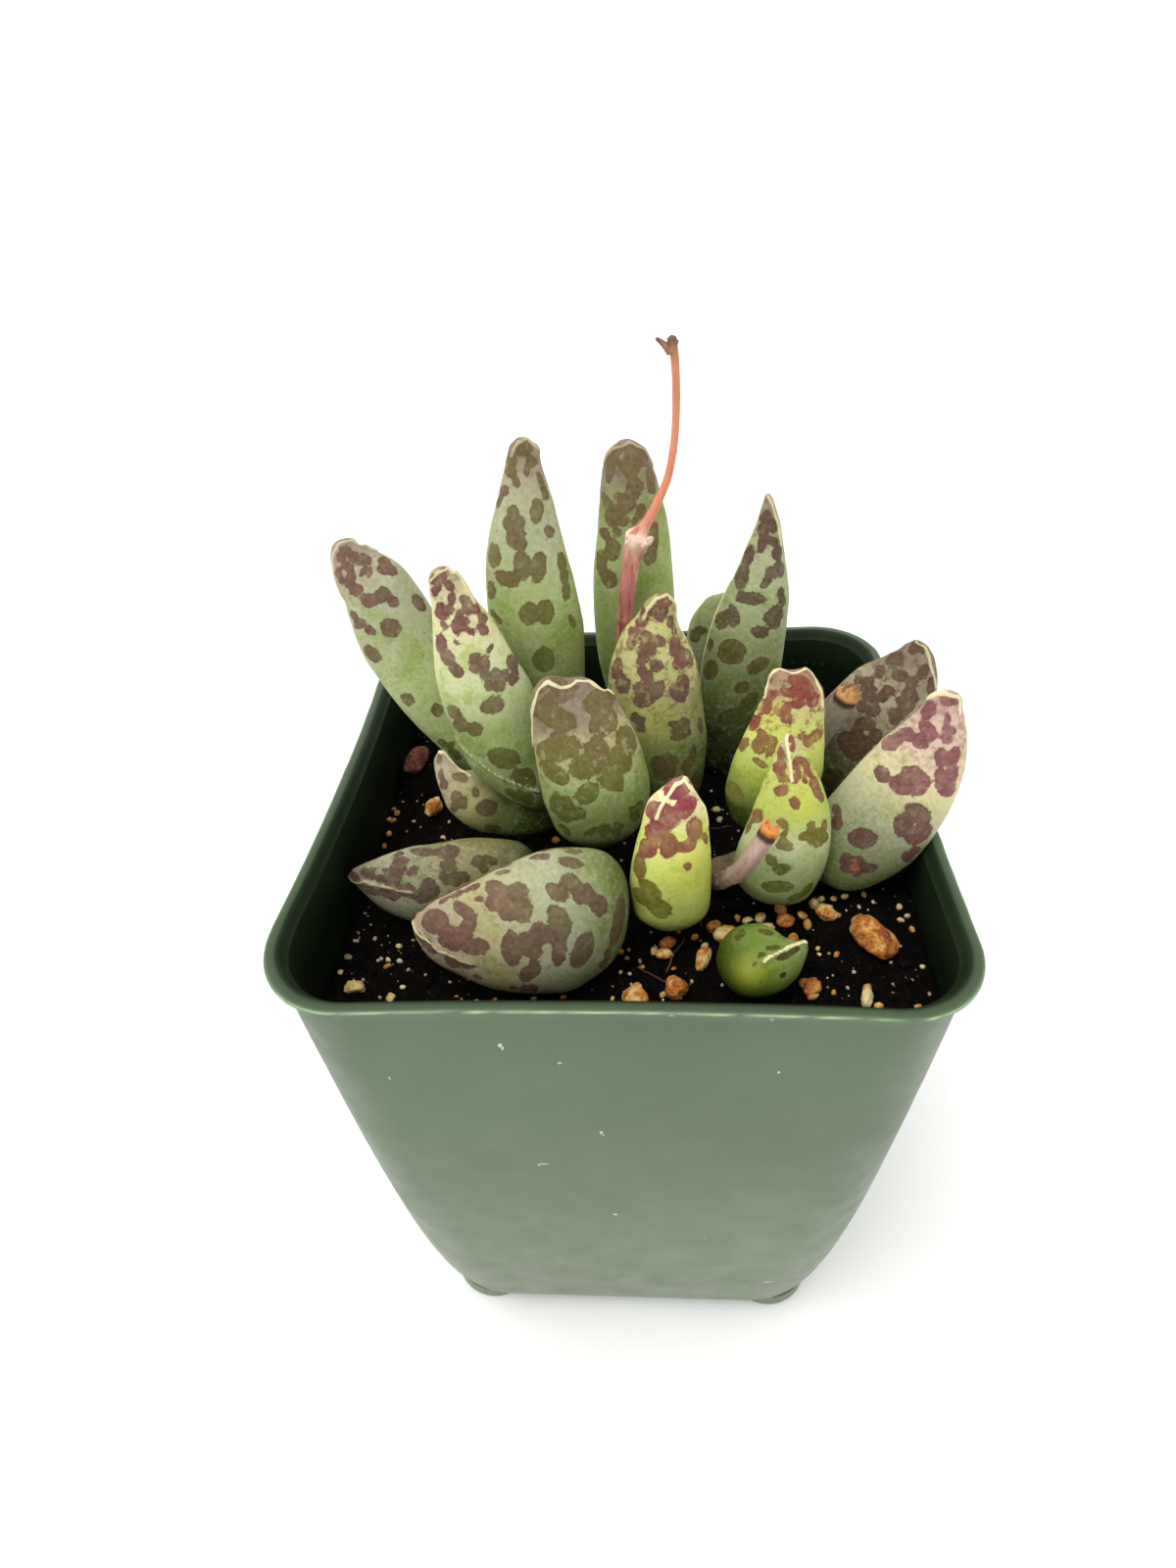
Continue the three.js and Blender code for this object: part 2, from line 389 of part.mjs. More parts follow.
// ---------------------------------------------------------------- stone
function stoneGeometry([x, y, l, w, h, turn, seed]) {
  const NU = 9, NV = 6, c = Math.cos(turn * Math.PI / 180), s = Math.sin(turn * Math.PI / 180);
  const rings = [];
  for (let i = 1; i < NV; i++) {
    const ph = Math.PI * i / NV, ring = [];
    for (let j = 0; j < NU; j++) {
      const th = 2 * Math.PI * j / NU, k = 0.86 + 0.2 * hash(seed * 37 + i * 11 + j);
      const px = l * Math.sin(ph) * Math.cos(th) * k, py = w * Math.sin(ph) * Math.sin(th) * k, pz = -h * Math.cos(ph) * (0.92 + 0.12 * hash(seed + i * 5 + j * 3));
      ring.push([px * c - py * s, px * s + py * c, pz]);
    }
    rings.push(ring);
  }
  // rest it on the sloping soil, clear of it
  let lift = -1e9;
  const all = [...rings.flat(), [0, 0, -h]];
  for (const p of all) lift = Math.max(lift, soilHeight(x + p[0]) + 0.3 - p[2]);
  const move = (p) => [x + p[0], y + p[1], p[2] + lift];
  return skin(rings.map((r) => r.map(move)), move([0, 0, -h]), move([0, 0, h]));
}

// ---------------------------------------------------------------- square contour with round corners
const CORNER_STEPS = 6, SIDE_STEPS = 4;
// h: half-width, r: corner radius, sag: share of the sides' sag, 0 to 1
function contour(h, r, sag, z) {
  const pts = [];
  const corners = [[h - r, h - r, 0], [-(h - r), h - r, 90], [-(h - r), -(h - r), 180], [h - r, -(h - r), 270]];
  for (let k = 0; k < 4; k++) {
    const [cx, cy, a0] = corners[k];
    for (let i = 0; i <= CORNER_STEPS; i++) {
      const a = (a0 + 90 * i / CORNER_STEPS) * Math.PI / 180;
      pts.push([cx + r * Math.cos(a), cy + r * Math.sin(a)]);
    }
    const last = pts[pts.length - 1], nx = corners[(k + 1) % 4];
    const a1 = nx[2] * Math.PI / 180;
    const next = [nx[0] + r * Math.cos(a1), nx[1] + r * Math.sin(a1)];
    for (let i = 1; i < SIDE_STEPS; i++) pts.push([0, 1].map((c) => last[c] + (next[c] - last[c]) * i / SIDE_STEPS));
  }
  // how far a side moves in at v along it, faded out towards the other two sides
  const pull = (u, v, [depth, middle]) => {
    const w = clamp((Math.abs(u) / h - 0.75) / 0.25, 0, 1);
    return -Math.sign(u) * depth * sag * w * w * (3 - 2 * w) * Math.max(0, 1 - ((v - middle) / (h - 0.4 * r)) ** 2);
  };
  return pts.map(([x, y]) => [
    x + pull(x, y, x > 0 ? SAG.right : SAG.left),
    y + pull(y, x, y > 0 ? SAG.back : SAG.front), z]);
}

const wallTop = POT_HEIGHT - RIM_DROP;
const share = (z) => clamp((z - FOOT_HEIGHT) / (wallTop - FOOT_HEIGHT), 0, 1);
const outerHalf = (z) => BODY_BOTTOM_HALF + (BODY_TOP_HALF - BODY_BOTTOM_HALF) * share(z) ** BODY_CURVE;
const outerRadius = (z) => BODY_BOTTOM_RADIUS + (BODY_TOP_RADIUS - BODY_BOTTOM_RADIUS) * share(z);
const sagAt = (z) => clamp((share(z) - 0.45) / 0.55, 0, 1);
const atShare = (s) => FOOT_HEIGHT + (wallTop - FOOT_HEIGHT) * s;

function potGeometry(wasm) {
  const rings = [];
  const ring = (z, h, r, sag) => rings.push(contour(h, r, sag, z));
  ring(FOOT_HEIGHT, BODY_BOTTOM_HALF - 0.7, BODY_BOTTOM_RADIUS - 0.6, 0);
  ring(FOOT_HEIGHT + 0.35, BODY_BOTTOM_HALF + 0.55, BODY_BOTTOM_RADIUS, 0);
  for (const s of [0.03, 0.07, 0.14, 0.25, 0.4, 0.6, 0.8, 1]) {
    const z = atShare(s);
    ring(z, outerHalf(z), outerRadius(z), sagAt(z));
  }
  const w = POT_WIDTH / 2, H = POT_HEIGHT;
  ring(H - 0.75, w - 0.3, RIM_RADIUS, 1);
  ring(H - 0.55, w, RIM_RADIUS, 1);
  ring(H - 0.2, w, RIM_RADIUS, 1);
  ring(H, w - 0.2, RIM_RADIUS - 0.2, 1);
  ring(H, w - 0.9, RIM_RADIUS - 0.9, 1);
  ring(H - 0.35, w - 1.3, RIM_RADIUS - 1.3, 1);
  for (const s of [1, 0.8, 0.6, 0.4, 0.25, 0.14, 0.07]) {
    const z = atShare(s);
    ring(z, outerHalf(z) - WALL, outerRadius(z) - WALL, sagAt(z));
  }
  ring(FOOT_HEIGHT + FLOOR, outerHalf(FOOT_HEIGHT + FLOOR) - WALL - 0.3, BODY_BOTTOM_RADIUS - WALL, 0);
  const shell = skin(rings, [0, 0, FOOT_HEIGHT], [0, 0, FOOT_HEIGHT + FLOOR]);
  const solid = (g) => new wasm.Manifold(new wasm.Mesh({
    numProp: 3, vertProperties: new Float32Array(g.attributes.position.array), triVerts: new Uint32Array(g.index.array),
  }));
  const round = (x, y, z0, z1, r, chamfer, sides) => {
    const levels = chamfer ? [[z0, r - chamfer], [z0 + chamfer * 0.6, r], [z1, r]] : [[z0, r], [z1, r]];
    const rs = levels.map(([z, rr]) => Array.from({ length: sides }, (_, j) => {
      const th = 2 * Math.PI * (j + 0.5) / sides;
      return [x + rr * Math.cos(th), y + rr * Math.sin(th), z];
    }));
    return skin(rs, [x, y, z0], [x, y, z1]);
  };
  let pot = solid(shell);
  for (const [sx, sy] of [[1, 1], [1, -1], [-1, 1], [-1, -1]]) {
    pot = pot.add(solid(round(sx * FOOT_CENTRE, sy * FOOT_CENTRE, 0, FOOT_HEIGHT + 0.9, FOOT_RADIUS, 0.5, 24)));
  }
  for (const [dx, dy] of [[1, 0], [-1, 0], [0, 1], [0, -1]]) {
    pot = pot.subtract(solid(round(dx * DRAIN_CENTRE, dy * DRAIN_CENTRE, FOOT_HEIGHT - 1, FOOT_HEIGHT + FLOOR + 1, DRAIN_RADIUS, 0, 14)));
  }
  const m = pot.getMesh();
  const g = new THREE.BufferGeometry();
  const n = m.vertProperties.length / m.numProp, pos = new Float32Array(n * 3);
  for (let i = 0; i < n; i++) for (let k = 0; k < 3; k++) pos[3 * i + k] = m.vertProperties[i * m.numProp + k];
  g.setAttribute('position', new THREE.BufferAttribute(pos, 3));
  g.setIndex(Array.from(m.triVerts));
  return g;
}

function soilGeometry() {
  const inner = WALL + SOIL_GAP, z0 = FOOT_HEIGHT + FLOOR + SOIL_GAP;
  const rings = [];
  rings.push(contour(outerHalf(z0) - inner - 0.7, BODY_BOTTOM_RADIUS - inner, 0, z0));
  for (const s of [0.07, 0.14, 0.25, 0.4, 0.6, 0.8]) {
    const z = atShare(s);
    rings.push(contour(outerHalf(z) - inner, outerRadius(z) - inner, sagAt(z), z));
  }
  // the surface: the outer ring follows the wall at the soil's own height
  const edgeZ = contour(outerHalf(SOIL_MID) - inner, outerRadius(SOIL_MID) - inner, sagAt(SOIL_MID), 0);
  const top = edgeZ.map(([x], i) => {
    const z = soilHeight(x);
    const p = contour(outerHalf(z) - inner - 0.05, outerRadius(z) - inner, sagAt(z), z)[i];
    return [p[0], p[1], soilHeight(p[0])];
  });
  rings.push(top);
  for (const k of [0.82, 0.62, 0.42, 0.2]) rings.push(top.map(([x, y]) => [x * k, y * k, soilHeight(x * k)]));
  return skin(rings, [0, 0, z0], [0, 0, SOIL_MID]);
}

// ---------------------------------------------------------------- assembly
const group = new THREE.Group();
group.name = 'potted_plover_eggs_plant';
function put(name, geometry, color, roughness) {
  const mesh = new THREE.Mesh(geometry, new THREE.MeshStandardMaterial({ color, roughness, metalness: 0 }));
  mesh.name = name;
  mesh.material.name = name + '_material';
  group.add(mesh);
}

const wasm = await Module();
wasm.setup();

put('pot', potGeometry(wasm), 0x4f6b4a, 0.45);
put('soil', soilGeometry(), 0x1d1713, 0.95);
const leafColors = [0x9fb57c, 0xaec08c, 0x97ad70, 0x8fa86c, 0xa9b27a];
Object.entries(LEAVES).forEach(([name, leaf], i) => put(name, leafGeometry(leaf), leafColors[i % leafColors.length], 0.6));
const stemLook = {
  main_stem: [0x6a5138, 0.9, 10], side_stem: [0x6a5138, 0.9, 10], back_stem: [0x6a5138, 0.9, 10],
  old_flower_stalk: [0xb06a5c, 0.6, 8], cut_stalk_back: [0x8a8478, 0.7, 10], cut_stalk_front: [0xa8938c, 0.7, 10],
};
for (const [name, rows] of Object.entries(STEMS)) {
  const [color, rough, sides] = stemLook[name];
  put(name, stemGeometry(rows, sides), color, rough);
}
Object.entries(STONES).forEach(([name, row], i) => put(name, stoneGeometry(row), i % 3 === 0 ? 0xb7752e : (i % 3 === 1 ? 0xc9a768 : 0xd8c79a), 0.85));

// the origin goes to the middle of the bottom of the whole box
const box = new THREE.Box3();
for (const mesh of group.children) {
  mesh.geometry.computeBoundingBox();
  box.union(mesh.geometry.boundingBox);
}
const shift = [-(box.min.x + box.max.x) / 2, -(box.min.y + box.max.y) / 2, -box.min.z];
for (const mesh of group.children) {
  mesh.geometry.translate(...shift);
  mesh.geometry.computeVertexNormals();
}

export default group;
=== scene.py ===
"""Looks of the potted plover eggs plant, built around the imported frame. Metres, +Z up, plant facing -Y."""
import math

import bpy
import numpy as np
from mathutils import Matrix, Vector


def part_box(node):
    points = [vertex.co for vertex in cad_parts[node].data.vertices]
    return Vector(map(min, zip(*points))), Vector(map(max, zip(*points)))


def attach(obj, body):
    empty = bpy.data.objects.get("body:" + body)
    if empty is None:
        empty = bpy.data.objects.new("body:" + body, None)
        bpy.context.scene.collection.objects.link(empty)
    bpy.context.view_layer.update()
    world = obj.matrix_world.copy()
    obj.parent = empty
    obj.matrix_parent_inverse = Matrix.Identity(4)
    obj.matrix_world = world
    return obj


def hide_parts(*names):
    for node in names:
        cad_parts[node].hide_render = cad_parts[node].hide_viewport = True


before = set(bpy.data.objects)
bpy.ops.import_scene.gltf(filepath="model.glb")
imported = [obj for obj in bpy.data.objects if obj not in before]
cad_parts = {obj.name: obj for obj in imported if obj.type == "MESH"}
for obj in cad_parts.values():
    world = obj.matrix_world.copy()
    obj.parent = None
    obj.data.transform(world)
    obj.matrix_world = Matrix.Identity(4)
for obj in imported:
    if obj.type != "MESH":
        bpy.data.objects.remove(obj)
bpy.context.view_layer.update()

# ---------------------------------------------------------------- where the plant's own axis stands
# The tables below are in millimetres about the pot's axis; the four feet give that axis in the frame.
_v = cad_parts["pot"].data.vertices
_co = np.empty(len(_v) * 3, np.float32)
_v.foreach_get("co", _co)
_co = _co.reshape(-1, 3).astype(float)
_feet = _co[_co[:, 2] < _co[:, 2].min() + 2e-5]
AXIS = np.array([(_feet[:, 0].min() + _feet[:, 0].max()) / 2, (_feet[:, 1].min() + _feet[:, 1].max()) / 2, 0.0]) * 1000


def place(P):
    return (np.asarray(P, float) + AXIS) * 0.001


# ---------------------------------------------------------------- noise
def _hash(ix, iy, iz, seed):
    h = (ix * 374761393 + iy * 668265263 + iz * 1440662683 + seed * 1274126177) & 0xFFFFFFFF
    h = ((h ^ (h >> 13)) * 1274126177) & 0xFFFFFFFF
    h = ((h ^ (h >> 15)) * 2246822519) & 0xFFFFFFFF
    return ((h ^ (h >> 16)) & 0xFFFFFF) / float(0xFFFFFF)


def noise(P, seed=0):
    """smooth value noise, -1 to 1, of points (N, 3)"""
    P = np.asarray(P, float)
    F = np.floor(P)
    I = F.astype(np.int64) + 4096
    q = P - F
    q = q * q * (3 - 2 * q)
    out = 0.0
    for dx in (0, 1):
        for dy in (0, 1):
            for dz in (0, 1):
                w = (q[..., 0] if dx else 1 - q[..., 0]) * (q[..., 1] if dy else 1 - q[..., 1]) * (q[..., 2] if dz else 1 - q[..., 2])
                out = out + w * _hash(I[..., 0] + dx, I[..., 1] + dy, I[..., 2] + dz, seed)
    return out * 2 - 1


def fbm(P, seed=0, octaves=3, gain=0.5):
    s, a, tot = 0.0, 1.0, 0.0
    for k in range(octaves):
        s = s + a * noise(np.asarray(P) * 2.03**k, seed + 17 * k)
        tot += a
        a *= gain
    return s / tot


# ---------------------------------------------------------------- mesh helpers
def new_object(name, P, quads, tris, uv=None, attrs=None, smooth=True):
    """P in metres; quads (n, 4), tris (m, 3); uv per loop in the same order"""
    quads = np.asarray(quads, np.int32).reshape(-1, 4)
    tris = np.asarray(tris, np.int32).reshape(-1, 3)
    T = np.concatenate([quads[:, [0, 1, 2]], quads[:, [0, 2, 3]], tris])
    A, B, C = P[T[:, 0]], P[T[:, 1]], P[T[:, 2]]
    if np.einsum("ij,ij->i", A, np.cross(B, C)).sum() < 0:
        quads, tris = quads[:, ::-1], tris[:, ::-1]
        if uv is not None:
            nq = len(quads) * 4
            uv = np.concatenate([uv[:nq].reshape(-1, 4, 2)[:, ::-1].reshape(-1, 2), uv[nq:].reshape(-1, 3, 2)[:, ::-1].reshape(-1, 2)])
    me = bpy.data.meshes.new(name)
    me.vertices.add(len(P))
    me.vertices.foreach_set("co", np.ascontiguousarray(P, np.float32).ravel())
    loops = np.concatenate([quads.ravel(), tris.ravel()]).astype(np.int32)
    me.loops.add(len(loops))
    me.loops.foreach_set("vertex_index", loops)
    me.polygons.add(len(quads) + len(tris))
    me.polygons.foreach_set("loop_start", np.concatenate([np.arange(len(quads)) * 4, len(quads) * 4 + np.arange(len(tris)) * 3]).astype(np.int32))
    me.polygons.foreach_set("use_smooth", np.full(len(quads) + len(tris), smooth))
    me.update(calc_edges=True)
    if uv is not None:
        layer = me.uv_layers.new(name="OFBake")
        layer.data.foreach_set("uv", np.ascontiguousarray(uv, np.float32).ravel())
    for key, val in (attrs or {}).items():
        a = me.attributes.new(key, "FLOAT", "POINT")
        a.data.foreach_set("value", np.ascontiguousarray(val, np.float32))
    o = bpy.data.objects.new(name, me)
    bpy.context.scene.collection.objects.link(o)
    return o


def loft(R, first, last, v=None):
    """R (n, m, 3) rings closed by a point at each end -> P, quads, tris, uv"""
    n, m = R.shape[:2]
    P = np.concatenate([[first], R.reshape(-1, 3), [last]])
    v = np.linspace(0.02, 0.98, n) if v is None else 0.01 + 0.98 * np.asarray(v)
    j = np.arange(m)
    j1 = (j + 1) % m
    quads, uvq = [], []
    for i in range(n - 1):
        a = 1 + i * m
        quads.append(np.stack([a + j, a + j1, a + m + j1, a + m + j], 1))
        u0, u1 = j / m, (j + 1) / m
        uvq.append(np.stack([np.stack([u0, u0 * 0 + v[i]], 1), np.stack([u1, u0 * 0 + v[i]], 1), np.stack([u1, u0 * 0 + v[i + 1]], 1), np.stack([u0, u0 * 0 + v[i + 1]], 1)], 1))
    um = (j + 0.5) / m
    t0 = np.stack([0 * j, 1 + j1, 1 + j], 1)
    b = 1 + (n - 1) * m
    t1 = np.stack([0 * j + len(P) - 1, b + j, b + j1], 1)
    z = um * 0
    uv0 = np.stack([np.stack([um, z + 0.002], 1), np.stack([(j + 1) / m, z + v[0]], 1), np.stack([j / m, z + v[0]], 1)], 1)
    uv1 = np.stack([np.stack([um, z + 0.998], 1), np.stack([j / m, z + v[-1]], 1), np.stack([(j + 1) / m, z + v[-1]], 1)], 1)
    uv = np.concatenate([np.concatenate(uvq).reshape(-1, 2), uv0.reshape(-1, 2), uv1.reshape(-1, 2)])
    return P, np.concatenate(quads), np.concatenate([t0, t1]), uv


def merge(parts):
    """join (P, quads, tris[, value]) lists into one"""
    P, Q, T, V, n = [], [], [], [], 0
    for p in parts:
        P.append(p[0])
        Q.append(np.asarray(p[1], int).reshape(-1, 4) + n)
        T.append(np.asarray(p[2], int).reshape(-1, 3) + n)
        if len(p) > 3:
            V.append(np.broadcast_to(p[3], (len(p[0]),)))
        n += len(p[0])
    return np.concatenate(P), np.concatenate(Q), np.concatenate(T), (np.concatenate(V) if V else None)


# ---------------------------------------------------------------- curves
def monotone(x, y, t):
    x, y = np.asarray(x, float), np.asarray(y, float)
    h = np.diff(x)
    d = np.diff(y) / h
    m = np.zeros_like(y)
    for i in range(1, len(x) - 1):
        if d[i - 1] * d[i] > 0:
            w1, w2 = 2 * h[i] + h[i - 1], h[i] + 2 * h[i - 1]
            m[i] = (w1 + w2) / (w1 / d[i - 1] + w2 / d[i])
    m[0], m[-1] = d[0], d[-1]
    i = np.clip(np.searchsorted(x, t, side="right") - 1, 0, len(x) - 2)
    q = (t - x[i]) / h[i]
    return (2 * q**3 - 3 * q**2 + 1) * y[i] + (q**3 - 2 * q**2 + q) * h[i] * m[i] + (-2 * q**3 + 3 * q**2) * y[i + 1] + (q**3 - q**2) * h[i] * m[i + 1]


def hermite(x, Y, t):
    x, Y = np.asarray(x, float), np.asarray(Y, float)
    n = len(x)
    a, b = np.maximum(np.arange(n) - 1, 0), np.minimum(np.arange(n) + 1, n - 1)
    M = (Y[b] - Y[a]) / (x[b] - x[a])[:, None]
    i = np.clip(np.searchsorted(x, t, side="right") - 1, 0, n - 2)
    h = x[i + 1] - x[i]
    q = ((t - x[i]) / h)[:, None]
    h = h[:, None]
    return (2 * q**3 - 3 * q**2 + 1) * Y[i] + (q**3 - 2 * q**2 + q) * h * M[i] + (-2 * q**3 + 3 * q**2) * Y[i + 1] + (q**3 - q**2) * h * M[i + 1]


def step(x, a, b):
    q = np.clip((x - a) / (b - a), 0, 1)
    return q * q * (3 - 2 * q)


# ---------------------------------------------------------------- node helpers
def srgb(r, g, b):
    return tuple(((c / 255) / 12.92 if c <= 10 else ((c / 255 + 0.055) / 1.055) ** 2.4) for c in (r, g, b)) + (1.0,)


class Nodes:
    def __init__(self, name, **look):
        self.mat = bpy.data.materials.new(name)
        self.mat.use_nodes = True
        self.t = self.mat.node_tree
        self.t.nodes.clear()
        self.out = self.t.nodes.new("ShaderNodeOutputMaterial")
        self.bsdf = self.t.nodes.new("ShaderNodeBsdfPrincipled")
        self.t.links.new(self.bsdf.outputs[0], self.out.inputs[0])
        for k, v in look.items():
            self.bsdf.inputs[k.replace("_", " ")].default_value = v
        self.co = self.t.nodes.new("ShaderNodeTexCoord").outputs["Object"]

    def put(self, sock, v):
        if isinstance(v, bpy.types.NodeSocket):
            self.t.links.new(v, sock)
        else:
            sock.default_value = v

    def attr(self, name):
        n = self.t.nodes.new("ShaderNodeAttribute")
        n.attribute_type = "GEOMETRY"
        n.attribute_name = name
        return n.outputs["Fac"]

    def noise(self, per_mm, detail=3.0, rough=0.55, distortion=0.0, stretch=None):
        n = self.t.nodes.new("ShaderNodeTexNoise")
        n.inputs["Scale"].default_value = per_mm * 1000
        n.inputs["Detail"].default_value = detail
        n.inputs["Roughness"].default_value = rough
        n.inputs["Distortion"].default_value = distortion
        co = self.co
        if stretch:
            m = self.t.nodes.new("ShaderNodeMapping")
            m.inputs["Scale"].default_value = stretch
            self.t.links.new(co, m.inputs["Vector"])
            co = m.outputs[0]
        self.t.links.new(co, n.inputs["Vector"])
        return n.outputs["Fac"]

    def voronoi(self, per_mm, feature="F1", out="Distance", rnd=1.0):
        n = self.t.nodes.new("ShaderNodeTexVoronoi")
        n.feature = feature
        n.inputs["Scale"].default_value = per_mm * 1000
        n.inputs["Randomness"].default_value = rnd
        self.t.links.new(self.co, n.inputs["Vector"])
        return n.outputs[out]

    def math(self, op, a, b=0.0, c=0.0, clamp=False):
        n = self.t.nodes.new("ShaderNodeMath")
        n.operation = op
        n.use_clamp = clamp
        for s, v in zip(n.inputs, (a, b, c)):
            self.put(s, v)
        return n.outputs[0]

    def smooth(self, v, a, b, lo=0.0, hi=1.0):
        n = self.t.nodes.new("ShaderNodeMapRange")
        n.interpolation_type = "SMOOTHSTEP"
        for s, x in zip(n.inputs, (v, a, b, lo, hi)):
            self.put(s, x)
        return n.outputs[0]

    def lin(self, v, a, b, lo=0.0, hi=1.0):
        n = self.t.nodes.new("ShaderNodeMapRange")
        for s, x in zip(n.inputs, (v, a, b, lo, hi)):
            self.put(s, x)
        return n.outputs[0]

    def mix(self, f, a, b, mode="MIX"):
        n = self.t.nodes.new("ShaderNodeMix")
        n.data_type = "RGBA"
        n.blend_type = mode
        self.put(n.inputs[0], f)
        self.put(n.inputs[6], a)
        self.put(n.inputs[7], b)
        return n.outputs[2]

    def ramp(self, v, stops):
        n = self.t.nodes.new("ShaderNodeValToRGB")
        r = n.color_ramp
        while len(r.elements) > 1:
            r.elements.remove(r.elements[0])
        r.elements[0].position, r.elements[0].color = stops[0]
        for p, c in stops[1:]:
            r.elements.new(p).color = c
        self.put(n.inputs[0], v)
        return n.outputs[0]

    def bump(self, height, dist_mm, strength=1.0, normal=None):
        n = self.t.nodes.new("ShaderNodeBump")
        n.inputs["Distance"].default_value = dist_mm * 0.001
        n.inputs["Strength"].default_value = strength
        self.put(n.inputs["Height"], height)
        if normal is not None:
            self.t.links.new(normal, n.inputs["Normal"])
        return n.outputs[0]

    def set(self, **kw):
        for k, v in kw.items():
            self.put(self.bsdf.inputs[k.replace("_", " ")], v)
        return self.mat


def finish_piece(o, material, node):
    o.data.materials.clear()
    o.data.materials.append(material)
    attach(o, "root")
    if node:
        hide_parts(*([node] if isinstance(node, str) else node))
    return o


